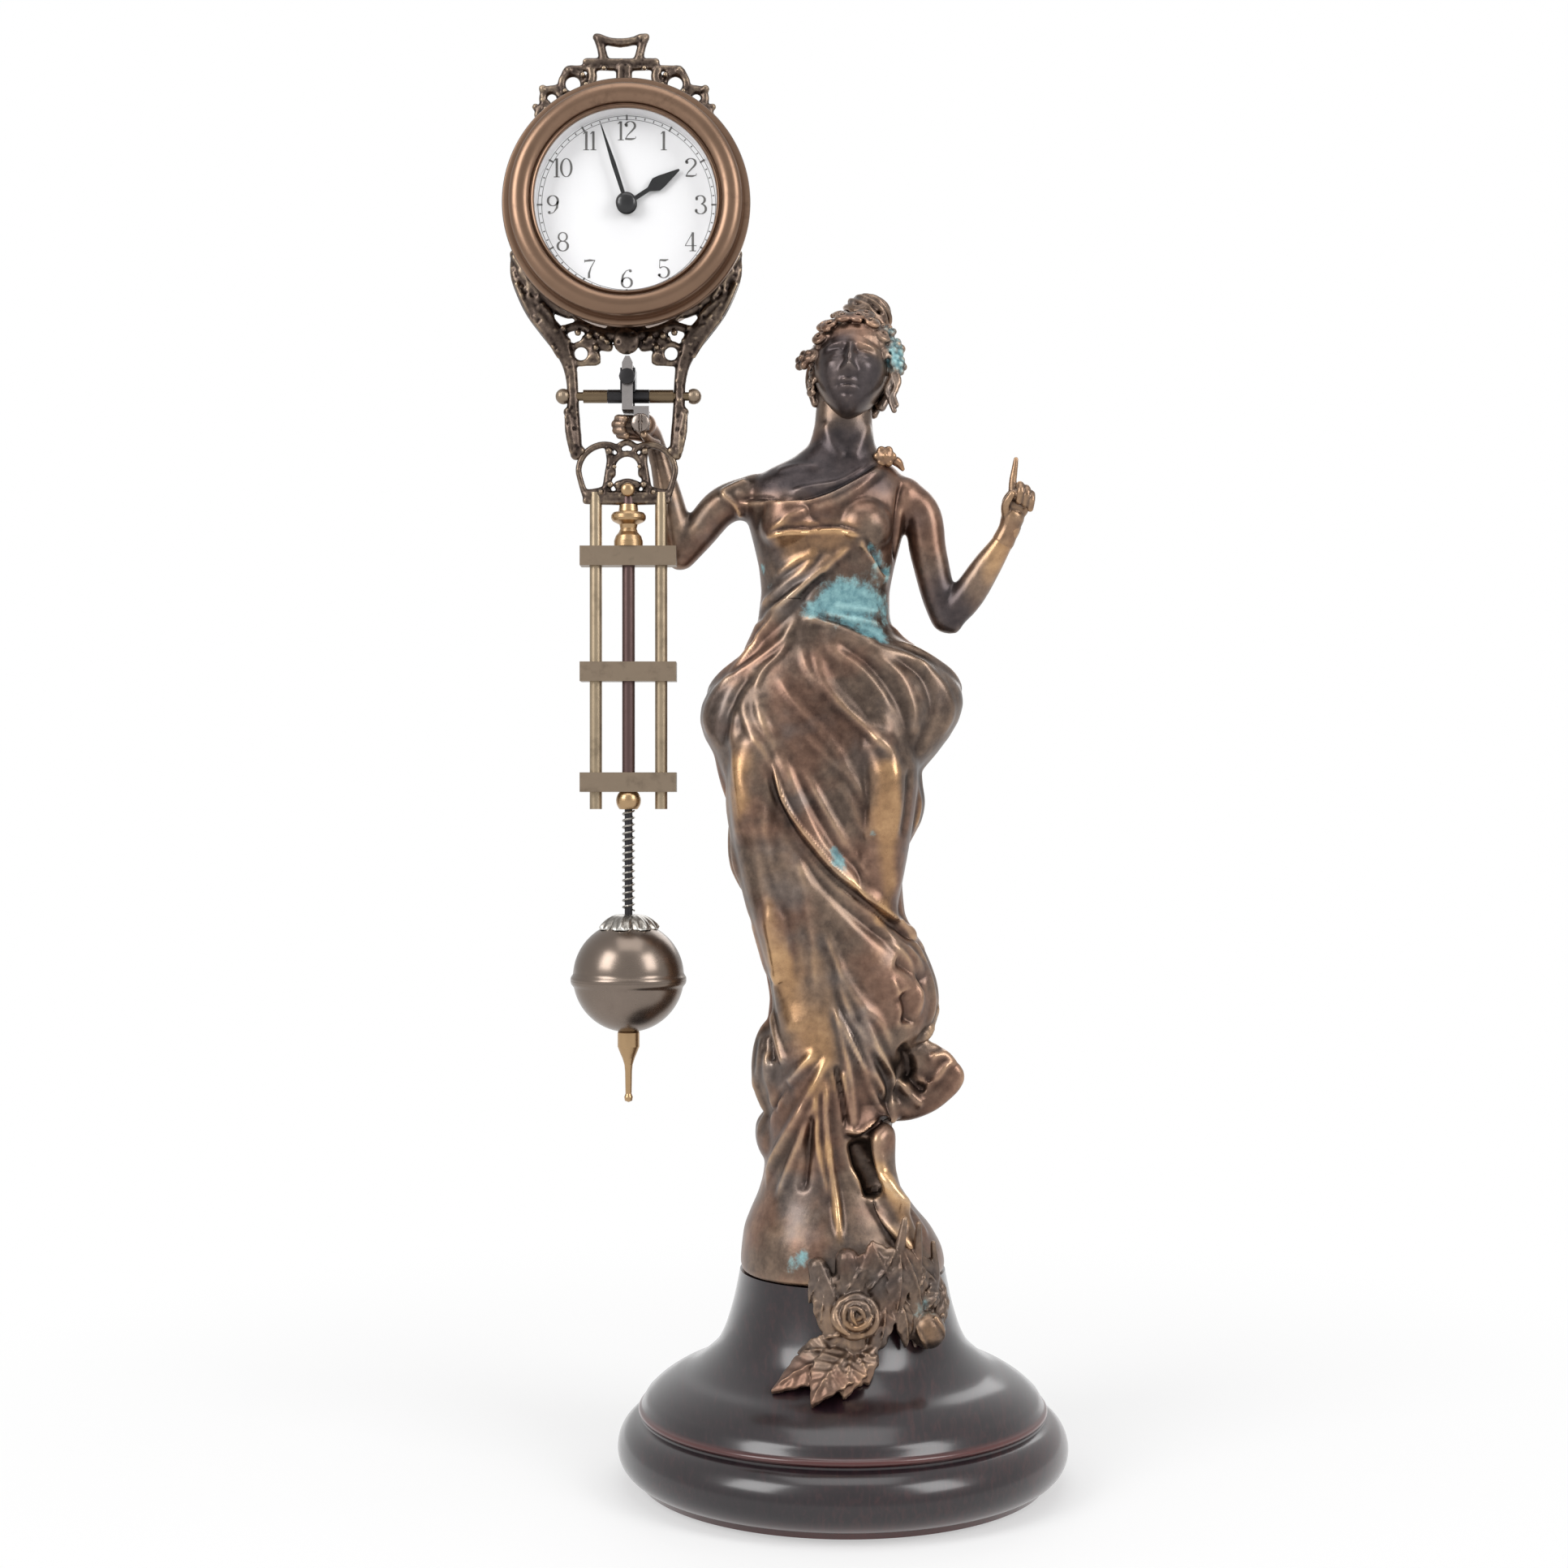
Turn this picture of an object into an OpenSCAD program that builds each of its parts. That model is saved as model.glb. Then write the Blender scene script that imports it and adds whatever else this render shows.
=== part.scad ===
// Swinging mystery clock: a draped standing figure on a turned wooden base holds up
// a steel fork, and a clock with a long rod and a heavy ball swings from it.
// Millimetres. Origin at the centre of the base's underside, +Z up, the figure faces -Y.

/* [Wooden base] */
// Greatest radius of the turned base
base_r = 55.2; // [54:0.2:57]
// Height of the wooden base's top face
base_top_z = 51.5; // [50:0.5:53]
// Radius of the top face, which carries the figure
base_top_r = 25.2; // [24.6:0.2:25.8]
// Thickness of the felt disc under the base
felt_t = 1.0; // [0.8:0.1:1.6]
// Radius of the felt disc
felt_r = 46; // [42:0.5:48]
// Radius of the fixing bolt's shank
bolt_r = 2.5; // [2:0.1:3]

/* [Figure] */
// Thickness of the figure's bronze foot plate
foot_t = 6; // [5.5:0.1:7]
// Height of the seam between the mound and the dress
mound_top_z = 72; // [70:0.5:74]
// Height of the seam between the dress and the bodice
waist_z = 215; // [214:0.5:217]
// Height of the seam at the neck
neck_z = 264; // [263:0.5:265]
// Depth of the drapery folds
fold_h = 1.0; // [0.4:0.1:1.4]
// Width of the seams between the castings of the figure
seam = 0.1; // [0.05:0.05:0.2]

/* [Pendulum] */
// Distance of the pendulum's axis to the side of the figure's axis
pend_off = 52; // [51.5:0.1:52.5]
// Distance of the pendulum's plane in front of the figure's axis
pend_fwd = 10; // [9.8:0.1:10.5]
// Height of the pivot pin
pivot_z = 268.6; // [268.2:0.1:269]
// Distance of the crossbar below the pivot pin
bar_drop = 4.4; // [4.2:0.1:4.8]
// Radius of the crossbar
bar_r = 1.6; // [1.5:0.05:1.7]
// Thickness of the castings that make up the frame
frame_t = 3.6; // [3.2:0.1:4]
// Half the width of the frame's window
window_w = 10.9; // [10.8:0.1:11.4]
// Width of each frame arm
arm_w = 3.7; // [3.4:0.1:4]
// Distance of each side rod from the axis
rod_off = 7.9; // [7.4:0.1:8.2]
// Radius of the side rods
rod_r = 1.5; // [1.3:0.05:1.6]
// Radius of the centre rod
mid_rod_r = 1.55; // [1.4:0.05:1.7]
// Half the width of the cross plates
plate_w = 11.6; // [11.2:0.1:12]
// Height of the cross plates
plate_h = 4.7; // [4.2:0.1:5]
// Depth of the cross plates
plate_d = 5.2; // [4.6:0.1:5.6]

/* [Bob] */
// Radius of the ball
ball_r = 13.4; // [13:0.1:13.8]
// Height of the ball's centre
ball_z = 123.9; // [123:0.1:125]
// How far the equator band stands out of the ball
band_out = 0.55; // [0.3:0.05:0.8]
// Wall of the ball's two shells
shell_t = 1.0; // [0.8:0.1:1.4]
// Radius of the threaded rod
screw_r = 0.95; // [0.8:0.05:1]
// Wire thickness of the spring
wire = 0.5; // [0.4:0.05:0.6]
// Turns of the spring
turns = 15; // [12:1:16]
// Height of the tip of the rating nut
tip_z = 93.5; // [92:0.5:95]

/* [Clock head] */
// Height of the dial's centre
head_z = 309; // [308.6:0.2:309.6]
// Overhang of the bezel round the case
bezel_over = 2.6; // [2.2:0.1:3]
// Radius of the bezel's opening
sight_r = 21.7; // [21.4:0.1:21.9]
// Outer radius of the case
case_r = 27; // [26.8:0.1:27.4]
// Wall of the case
case_t = 1.2; // [1:0.1:1.4]
// Length of the case from its front edge to its back edge
case_len = 17.5; // [17:0.1:18]
// Distance of the case's front edge in front of the pendulum's plane
case_fwd = 6.7; // [6.4:0.1:7.2]
// Depth of the bezel
bezel_d = 6; // [5.6:0.1:6.4]
// Thickness of the glass
glass_t = 1.2; // [1:0.1:1.4]
// Thickness of the dial
dial_t = 0.8; // [0.6:0.1:1]
// Length of the minute hand
minute_l = 19.6; // [18.5:0.1:20.2]
// Length of the hour hand
hour_l = 15; // [13.5:0.1:16]

/* [Movement] */
// Thickness of the two movement plates
mplate_t = 1.2; // [1:0.1:1.4]
// Space between the movement plates
mspace = 7; // [6.8:0.1:7.4]
// Radius of the back movement plate
back_plate_r = 21; // [20.5:0.1:21.5]
// Tooth size of the barrel, diameter over tooth count
barrel_mod = 0.3; // [0.3:0.005:0.31]
// Teeth of the barrel
barrel_teeth = 60; // [58:1:60]
// Leaves of the centre pinion
centre_leaves = 10; // [10:1:11]
// Tooth size of the centre wheel
centre_mod = 0.25; // [0.25:0.005:0.26]
// Teeth of the centre wheel
centre_teeth = 60; // [58:1:60]
// Leaves of the third pinion
third_leaves = 8; // [8:1:9]
// Tooth size of the third wheel
third_mod = 0.22; // [0.22:0.005:0.23]
// Teeth of the third wheel
third_teeth = 60; // [58:1:60]
// Leaves of the escape pinion
escape_leaves = 8; // [8:1:9]
// Radius of the escape wheel
escape_r = 4.6; // [4.4:0.1:4.7]
// Tooth size of the motion work
motion_mod = 0.25; // [0.25:0.005:0.26]
// Length of the inner pendulum
inner_l = 26; // [24:0.5:27]

/* [Hidden] */
$fn = 64;
// Small overlap for cuts
e = 0.01;
// Radial play of a shaft in its hole
fit = 0.05;
// Running gap between parts that turn past each other
run = 0.3;
// Play of a piece that is dropped into its seat
seat = 0.1;

// Heights and depths that follow
px = -pend_off;
py = -pend_fwd;
bar_z = pivot_z - bar_drop;
frame_y0 = py - frame_t/2;
frame_y1 = py + frame_t/2;
// Fork: thickness and width of the strap, and gap between its arms
strap_t = 0.9;
strap_w = 2.6;
fork_gap = 6.6;
pin_r = 0.6;
fork_top_z = pivot_z + 4.6;
fork_foot_z = bar_z - bar_r - 2.3;
hub_gap = 0.35;
// Frame casting
arm_x1 = window_w + arm_w;
foot_z = 249;
bar_neck_r = 0.95;
bar_end_r = 1.1;
sleeve_l = 10;
nut_r = 1.9;
// Casting below the arms
pal_top_z = 253.2;
pal_bot_z = 238;
// Rods and plates
plate_z = [225.5, 197.6, 170.9];
rod_end_z = 164.4;
nut_top_z = plate_z[2] - plate_h/2;
ball_nut_r = 3;
ball_nut_h = 4.2;
ball_nut_z = nut_top_z - ball_nut_h;
// Bob
cap_r = 7.7;
cap_h = 5.2;
cap_z = ball_z + sqrt(ball_r*ball_r - cap_r*cap_r) - 0.6;
spring_bot_z = cap_z + cap_h + 0.15;
spring_r = 1.6;
thread_end_z = 106.6;
bob_travel = 2;
rating_top_z = ball_z - ball_r + 0.3;
// Clock head
case_y0 = py - case_fwd;
case_y1 = case_y0 + case_len;
case_ri = case_r - case_t;
bezel_r = case_r + bezel_over;
bezel_y0 = case_y0 - bezel_d;
glass_y0 = bezel_y0 + 1.2;
glass_y1 = glass_y0 + glass_t;
dial_y0 = case_y0 + 1;
dial_y1 = dial_y0 + dial_t;
fplate_y0 = dial_y1 + 3;
fplate_y1 = fplate_y0 + mplate_t;
bplate_y0 = fplate_y1 + mspace;
bplate_y1 = bplate_y0 + mplate_t;
ledge_r = case_ri - 2;
// Wheels: centres in the dial's plane, as distances from the centre arbor
barrel_d = barrel_mod*(barrel_teeth + centre_leaves)/2;
third_d = centre_mod*(centre_teeth + third_leaves)/2;
escape_d = third_mod*(third_teeth + escape_leaves)/2;
barrel_a = 215;
third_a = 15;
escape_a = 105;
barrel_x = barrel_d*cos(barrel_a);
barrel_h = barrel_d*sin(barrel_a);
third_x = third_d*cos(third_a);
third_h = third_d*sin(third_a);
escape_x = third_x + escape_d*cos(escape_a);
escape_h = third_h + escape_d*sin(escape_a);
anchor_d = escape_r + 1.8;
anchor_a = 62;
anchor_x = escape_x + anchor_d*cos(anchor_a);
anchor_h = escape_h + anchor_d*sin(anchor_a);
// Motion work: cannon pinion drives the minute wheel, its pinion drives the hour wheel
cannon_n = 12;
mwheel_n = 36;
mpinion_n = 10;
hwheel_n = 40;
motion_d = motion_mod*(cannon_n + mwheel_n)/2;
motion_mod2 = 2*motion_d/(mpinion_n + hwheel_n);
motion_a = -75;
motion_x = motion_d*cos(motion_a);
motion_h = motion_d*sin(motion_a);
arbor_r = 0.6;
tube_r = 1.15;
pipe_r = 1.75;
pillar_r = 1.2;
pillar_d = 18.6;

// A flat shape drawn in X and Z, made solid from depth y0 to depth y1
module slab(y0, y1) { translate([0, y1, 0]) rotate([90, 0, 0]) linear_extrude(y1 - y0) children(); }
// A round bar along the depth
module bar_y(x, z, r, y0, y1, n = 64) {
    translate([x, y1, z]) rotate([90, 0, 0]) cylinder(h = y1 - y0, r = r, $fn = n);
}
// A round bar along the width
module bar_x(y, z, r, x0, x1) { translate([x0, y, z]) rotate([0, 90, 0]) cylinder(h = x1 - x0, r = r); }
// An upright round bar
module bar_z(x, y, r, z0, z1) { translate([x, y, z0]) cylinder(h = z1 - z0, r = r); }
// A turned part about the depth axis of the clock head: profile is [radius, depth]
module turned_y(x, z, pts) {
    translate([x, 0, z]) rotate([-90, 0, 0]) rotate_extrude($fn = 96) polygon(pts);
}
// An upright turned part on the pendulum's axis
module turned(pts) { translate([px, py, 0]) rotate_extrude($fn = 72) polygon(pts); }
// Points of a round arc in a flat shape
function arc(cx, cz, r, a0, a1, n = 12) =
    [for (i = [0:n]) [cx + r*cos(a0 + (a1 - a0)*i/n), cz + r*sin(a0 + (a1 - a0)*i/n)]];

// Outline of a toothed wheel, four corners to a tooth; off turns it by a part of a tooth
function gear(n, m, off = 0, add = 0.85, ded = 1.05) = [for (i = [0:n-1], k = [0:3])
    let (w = 360/n, a = w*(i + off) + w*[-0.30, -0.13, 0.13, 0.30][k],
         r = n*m/2 + m*[-ded, add, add, -ded][k]) [r*cos(a), r*sin(a)]];
module wheel_y(x, h, n, m, y0, y1, off = 0) {
    translate([px + x, 0, head_z + h]) slab(y0, y1) polygon(gear(n, m, off));
}
// Direction from one arbor to the next decides how the teeth line up
function mesh_off(n, a, gap) = a*n/360 + (gap ? 0.5 : 0);

// Turned wooden base
base_foot_r = base_r - 5.2;
bead_r = base_r - 4.3;
cove_r = base_top_r + 2.4;
module base_wood() {
    color("#3a2a30") difference() {
        rotate_extrude($fn = 128) polygon(concat(
            [[0, felt_t], [base_foot_r, felt_t], [base_foot_r + 2.6, felt_t + 1.0]],
            arc(base_r - 6.4, 8.6, 6.4, -60, 62, 14),
            [[bead_r, 15.2], [bead_r - 0.5, 15.8]],
            arc(bead_r - 0.9, 16.9, 0.95, -70, 75, 6),
            [[bead_r - 1.4, 17.9], [bead_r - 1.6, 18.4]],
            [[base_r - 5.6, 19.2], [base_r - 7.2, 21.2], [base_r - 9.6, 23.4], [base_r - 13.4, 25.9],
             [base_r - 18.6, 28.4], [cove_r + 5.8, 30.8], [cove_r + 3.2, 33.4], [cove_r + 1.4, 36.8],
             [cove_r + 0.1, 40.6], [base_top_r + 1.4, 44.6], [base_top_r + 0.6, 48.4],
             [base_top_r, base_top_z], [0, base_top_z]]));
        translate([0, 0, felt_t - e]) cylinder(h = washer_z - felt_t + e, r = washer_r + 1);
        cylinder(h = base_top_z + 1, r = bolt_r + fit);
    }
}
module base_felt() { color("#20262a") cylinder(h = felt_t, r = felt_r, $fn = 96); }

// Fixing bolt from below, with a hexagon head on a washer
washer_r = 7;
washer_t = 1.2;
washer_z = felt_t + 9;
head_h = 3.6;
module base_washer() {
    color("#b9b9b4") translate([0, 0, washer_z - washer_t]) difference() {
        cylinder(h = washer_t, r = washer_r);
        translate([0, 0, -e]) cylinder(h = washer_t + 2*e, r = bolt_r + fit);
    }
}
module base_bolt() {
    color("#a9a9a4") union() {
        translate([0, 0, washer_z - washer_t - head_h]) cylinder(h = head_h, r = bolt_r*1.8, $fn = 6);
        translate([0, 0, washer_z - washer_t - e])
            cylinder(h = base_top_z + foot_t - 1.5 - washer_z + washer_t, r = bolt_r);
    }
}

// Bronze foot plate of the figure, with the threaded hole for the bolt
foot_top_z = base_top_z + foot_t;
module figure_foot() {
    color("#6b5240") difference() {
        rotate_extrude($fn = 96) polygon([[0, base_top_z], [base_top_r + 0.1, base_top_z],
            [base_top_r + 0.6, base_top_z + 1.4], [base_top_r + 0.2, base_top_z + 3],
            [base_top_r - 0.6, foot_top_z], [0, foot_top_z]]);
        translate([0, 0, base_top_z - e]) cylinder(h = foot_t - 1, r = bolt_r + fit);
    }
}

// Smooth step between the rows of a table of sections
function mix(a, b, t) = a + (b - a)*t;
function row_at(T, z, i = 0) = z >= T[i + 1][0] && i < len(T) - 2 ? row_at(T, z, i + 1) :
    let (t0 = (z - T[i][0])/(T[i + 1][0] - T[i][0]), t1 = min(1, max(0, t0)), t = t1*t1*(3 - 2*t1)*0.35 + t1*0.65)
    [for (k = [1:len(T[0]) - 1]) mix(T[i][k], T[i + 1][k], t)];
// Table columns: height, left edge, right edge, front depth, back depth.
// The skin between rows is rippled by slanted folds that die away at both seams
function ring(T, z, n, amp, count, lean) = let (s = row_at(T, z), cx = (s[0] + s[1])/2, hw = (s[1] - s[0])/2)
    [for (j = [0:n-1]) let (a = 360*j/n, f = 1 + amp/hw*(sin(count*a + lean*z) - 0.4*sin((count - 4)*a - lean*z*0.6)))
        [cx + hw*f*cos(a), (sin(a) < 0 ? s[2] : s[3])*f*sin(a), z]];
module loft(T, z0, z1, steps, n, amp, count, lean) {
    pts = [for (i = [0:steps]) each ring(T, mix(z0, z1, i/steps), n, amp, count, lean)];
    polyhedron(points = pts, faces = concat([[for (j = [0:n-1]) j]],
        [for (i = [0:steps-1], j = [0:n-1]) let (a = i*n + j, b = i*n + (j + 1)%n) [a, a + n, b + n, b]],
        [[for (j = [n-1:-1:0]) steps*n + j]]), convexity = 6);
}
// A chain of balls joined by hulls, each ball as [x, y, z, radius]
module chain(P, n = 16) {
    for (i = [0:len(P) - 2]) hull() {
        translate([P[i][0], P[i][1], P[i][2]]) sphere(r = P[i][3], $fn = n);
        translate([P[i+1][0], P[i+1][1], P[i+1][2]]) sphere(r = P[i+1][3], $fn = n);
    }
}
module lump(p, s, n = 20) { translate(p) scale(s) sphere(r = 1, $fn = n); }

SKIRT = [[72, -19.6, 13, 17, 15], [78, -19.2, 12.6, 17, 14.6], [86, -20.6, 12.4, 17, 14.4], [94, -20.8, 15, 17.4, 14.6],
    [102, -20.6, 18, 17.8, 15], [110, -19.2, 19, 17.6, 15], [120, -18, 19, 17.2, 14.6], [130, -19.8, 16.8, 16.6, 14.2],
    [140, -22, 14, 16.4, 13.8], [150, -25.8, 14, 16.6, 13.6], [158, -26.6, 15.4, 17, 13.8], [166, -27, 18, 17.6, 14.2],
    [174, -28, 19, 18, 15], [182, -28.4, 20, 18, 15.6], [188, -28, 20.4, 17.4, 15.4], [194, -26, 19.6, 16, 14.2],
    [200, -23.6, 17, 13.8, 12.4], [206, -21.8, 13.4, 12, 11], [212, -21, 11.6, 11.4, 10.4], [218, -20.4, 11.8, 11.6, 10.4]];
BODICE = [[210, -21, 11.6, 11.4, 10.4], [218, -20.4, 11.8, 11.8, 10.4], [226, -21.6, 14.2, 13.6, 10.6],
    [234, -24.6, 17, 14.6, 11], [240, -27.4, 19, 13, 11], [244, -27.4, 18.6, 10.6, 10.2], [247.5, -21, 14.6, 8.6, 8.8],
    [251, -12.4, 9.6, 7.4, 7.4], [255, -8, 7.8, 6.6, 6.6], [261, -6.8, 7.4, 6.4, 6.2], [266, -6.4, 7.6, 6.4, 6.2]];
MOUND = [[55, -24.8, 24.6, 24.4, 24.4], [60, -24.4, 22.6, 24, 22.4], [64, -23.4, 19.4, 21.6, 20], [68, -21.4, 16.6, 19.4, 18],
    [72, -19.8, 14, 17.6, 15.6]];

// Rocky mound with the hem of the dress spread over it
module figure_mound() {
    color("#6a6f66") difference() {
        union() {
            loft(MOUND, foot_top_z - 1, mound_top_z + 1, 8, 48, fold_h, 9, 3);
            chain([[-21, -9, 68, 3.2], [-24, -5, 62, 2.4]]);
            chain([[-17, -15, 69, 3.4], [-19, -17, 61, 2.6]]);
            chain([[-9, -18, 69, 3.6], [-10.5, -21.4, 61, 2.8]]);
            chain([[1, -18, 69, 3.6], [0, -22, 61, 2.8]]);
            chain([[9, -15.6, 68, 3.4], [13, -18, 61, 2.6]]);
            chain([[13, -6, 68, 3], [19, -8, 61, 2.6]]);
            chain([[12, 8, 68, 3.2], [16, 12, 61, 2.8]]);
            chain([[-4, 15, 68, 3.4], [-4, 19, 61, 2.8]]);
        }
        translate([-40, -40, 0]) cube([80, 80, foot_top_z + seam]);
        translate([-40, -40, mound_top_z]) cube([80, 80, 20]);
    }
}

// Dress from the waist down, with cloth gathered at the hips and at the knee
module figure_dress() {
    color("#7d6249") difference() {
        union() {
            loft(SKIRT, mound_top_z - 1, waist_z + 1, 40, 54, fold_h, 11, 2.2);
            chain([[-20, 2, 194, 6.5], [-28, 1, 188, 7.4], [-28.6, -1, 181, 6.4]], 14);
            chain([[-28.6, -1, 181, 6.4], [-25, -2, 171, 5.4]], 14);
            chain([[15, 1, 197, 6], [22.6, 0, 191, 7.6], [20, -2, 183, 6.6]], 14);
            chain([[17, -3, 168, 4.4], [15.6, -5, 160, 3.8]], 14);
            chain([[-23, -2, 160, 4.6], [-23.6, -2, 150, 4]], 14);
            chain([[12, -8, 138, 4.6], [17, -7, 128, 5], [19, -5, 117, 4.6]], 14);
            chain([[19, -5, 117, 4.6], [20, -5, 106, 4], [24.6, -6, 98.6, 4.6], [20, -6, 91, 3.4]], 14);
            chain([[-17, -3, 104, 3.8], [-17.4, -4, 92, 3.8], [-16, -4, 82, 3.6]], 14);
        }
        translate([-60, -60, 0]) cube([120, 120, mound_top_z + seam]);
        translate([-60, -60, waist_z]) cube([120, 120, 60]);
    }
}

// Bodice, shoulders and neck, with a one-shoulder band of cloth
shoulder_l = -25.4;
shoulder_r = 16.8;
module figure_torso() {
    color("#8a6d4e") difference() {
        union() {
            loft(BODICE, waist_z - 1, neck_z + 1, 20, 44, fold_h*0.3, 7, 3);
            chain([[14.6, -3, 246, 2.8], [8, -10, 242, 2.4], [0, -13.6, 237, 2.2], [-10, -14.4, 233.4, 2.2],
                [-19, -11.4, 231, 2.2], [-23, -4, 231, 2]], 10);
            chain([[13, -6, 240, 2.4], [6, -13, 236, 2.2], [-4, -14.6, 230.6, 2.2], [-14, -12.4, 227, 2.2],
                [-20.6, -6, 225.6, 2]], 10);
            lump([11.4, -7.4, 248, ], [3.2, 2.4, 3.2]);
        }
        translate([-60, -60, 180]) cube([120, 120, waist_z + seam - 180]);
        translate([-60, -60, neck_z]) cube([120, 120, 30]);
        translate([shoulder_l - 20, -30, 220]) cube([20, 60, 40]);
        translate([shoulder_r, -30, 220]) cube([20, 60, 40]);
    }
}

// Head, tilted back, with the hair in a bun and small rosettes
module figure_head() {
    color("#5e4c40") difference() {
        union() {
            hull() { lump([2.4, -1.6, 276.5], [8.8, 9.6, 9.2], 26); lump([1.6, -6.2, 268.6], [4.4, 4.2, 4.4], 20); }
            chain([[0.4, 0, neck_z, 6.2], [1, 0, 270, 6]], 22);
            hull() { lump([4, 2.6, 282], [9.8, 9.6, 6.4], 26); lump([3.6, 4, 276], [10, 8.6, 7], 26); }
            chain([[6.4, 4, 288, 6.6], [6.2, 3.6, 290.4, 5.2]], 22);
            chain([[-4.6, 0, 277, 3], [-9.4, -1.4, 277.4, 2.8], [-9, -2.4, 273.6, 2.2]], 14);
            chain([[12.8, -1, 281.6, 3.2], [13.6, -1.6, 276, 3.2]], 14);
            chain([[13.6, -1.6, 276, 3.2], [13.2, 0, 269.4, 2.2]], 14);
            chain([[-6, -6.6, 283.6, 2], [0, -8.6, 286, 2.2], [6.6, -7.6, 286, 2.2], [11, -4, 283.6, 2.4]], 12);
        }
        translate([-60, -60, 240]) cube([120, 120, neck_z + seam - 240]);
    }
}

// Raised arm, which carries the clock
hand_x = px + 2.6;
hand_z = fork_foot_z - 3.0;
module figure_arm_raised() {
    color("#5b4a41") difference() {
        union() {
            chain([[-23.4, 0, 242.6, 5.4], [-29.6, 0, 239.4, 4.8], [-35.6, 0, 232.6, 4.4], [-40, -0.4, 227, 4]], 18);
            chain([[-40, -0.4, 227, 4], [-41.6, -0.4, 235, 3.9], [-43.4, -0.6, 244, 3.3], [-45.6, -1.4, 252.4, 2.5]], 18);
            chain([[-45.6, -1.4, 252.4, 2.5], [-47.4, -4, 256, 2.4], [hand_x, py + 2.4, hand_z, 2.2]], 16);
            chain([[-46.8, -2.4, 255, 2], [hand_x - 1.4, py - 0.6, hand_z + 0.4, 1.3], [hand_x - 5.4, py - 0.6, hand_z + 0.3, 1.1]], 14);
            chain([[hand_x, py + 1.6, hand_z, 1.6], [hand_x - 3, py - 2.2, hand_z - 0.9, 1.1], [hand_x - 5.6, py - 0.8, hand_z - 1.5, 0.9]], 14);
            translate([hand_x - 2.2, py - 1.6, hand_z - 1.6]) cube([4.4, 5.6, fork_foot_z - hand_z + 1.6]);
            translate([hand_x - 1.6, fork_tab_y1, hand_z - 1.8]) cube([3.6, 4, 3.8]);
        }
        translate([shoulder_l - seam, -30, 220]) cube([40, 60, 40]);
        translate([-70, -30, fork_foot_z]) cube([40, 60, 20]);
        translate([hand_x - 10, fork_tab_y1 - 10, hand_z - 8]) cube([20, 10, 20]);
        bar_y(screw_x, screw_z, fscrew_r + fit, fork_tab_y1 - 1, fork_tab_y1 + fscrew_l + 0.2, 32);
    }
}

// Arm on the other side, bent up with the first finger pointing
module figure_arm_pointing() {
    color("#5b4a41") difference() {
        union() {
            chain([[14.6, 0, 242.4, 5], [19.4, -0.4, 236, 4.8], [21.4, -1, 226, 4.5], [24.2, -1.6, 215, 4.3],
                [25.6, -2, 211.4, 4.1]], 18);
            chain([[25.6, -2, 211.4, 4.1], [30.4, -3.4, 217, 4.2], [36, -5.2, 225, 3.6], [40.4, -6.6, 231.6, 2.7]], 18);
            chain([[40.4, -6.6, 231.6, 2.7], [42, -7.4, 236.4, 3.2], [42.6, -7.6, 239.4, 2.9]], 16);
            chain([[43, -7.4, 240.6, 1.2], [43.2, -7.6, 245.6, 1], [42.8, -7.8, 249.6, 0.9]], 12);
            chain([[40.2, -8.6, 239.6, 1.3], [39, -10.4, 237, 1.1]], 12);
            chain([[44.6, -8.6, 239.2, 1.3], [46, -9, 235.6, 1]], 12);
        }
        translate([shoulder_r + seam - 40, -30, 200]) cube([40, 60, 60]);
    }
}

// Rose with leaves, which hangs over the front of the base; hooked behind the mound's rim
rose_y = -base_top_r;
module rose_spray() {
    color("#6d6a5c") difference() {
        union() {
            chain([[-9, rose_y + 1.6, 56.5, 1.6], [-4.6, rose_y - 1.6, 52, 1.8], [0, rose_y - 3.2, 48, 2]], 12);
            lump([2.4, rose_y - 5, 46], [6.2, 3.8, 5.8], 20);
            chain([[7, rose_y - 4.4, 48.4, 2.4], [8.6, rose_y - 3.8, 43.6, 2.4]], 12);
            chain([[0, rose_y - 8, 48.2, 1.6], [5, rose_y - 8.2, 46.4, 1.6]], 12);
            lump([18.4, rose_y + 1.4, 41.4], [4.8, 3.4, 5.2], 18);
            chain([[7, rose_y - 3.4, 42, 1.7], [13, rose_y - 1.2, 39.6, 1.5], [17.6, rose_y + 0.6, 36.6, 2]], 12);
            chain([[-1, rose_y - 3.6, 45, 2], [-8, rose_y - 3.8, 38, 2.4], [-13, rose_y - 8, 31.4, 1.6],
                [-17, rose_y - 12.4, 28, 0.7]], 12);
            chain([[0, rose_y - 4.6, 41.6, 2], [-2, rose_y - 7.6, 34.4, 2.2], [-5, rose_y - 13.4, 28.2, 1]], 12);
        }
        translate([-40, -60, foot_top_z]) cube([80, 80, 20]);
        rotate_extrude($fn = 96) polygon([[0, 0], [base_r, 0], [base_r, 18.4], [base_r - 5.1, 19.6],
            [base_r - 6.7, 21.7], [base_r - 9.1, 23.9], [base_r - 12.9, 26.4], [base_r - 18.1, 28.9],
            [cove_r + 6.2, 31.2], [cove_r + 3.6, 33.7], [cove_r + 1.8, 37.1], [cove_r + 0.5, 40.8],
            [base_top_r + 1.8, 44.8], [base_top_r + 1.0, 48.5], [base_top_r + 0.7, base_top_z],
            [base_top_r + 0.9, base_top_z + 1.4], [base_top_r + 0.5, base_top_z + 3.2],
            [base_top_r - 0.3, foot_top_z + 2], [0, foot_top_z + 2]]);
    }
}

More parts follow.
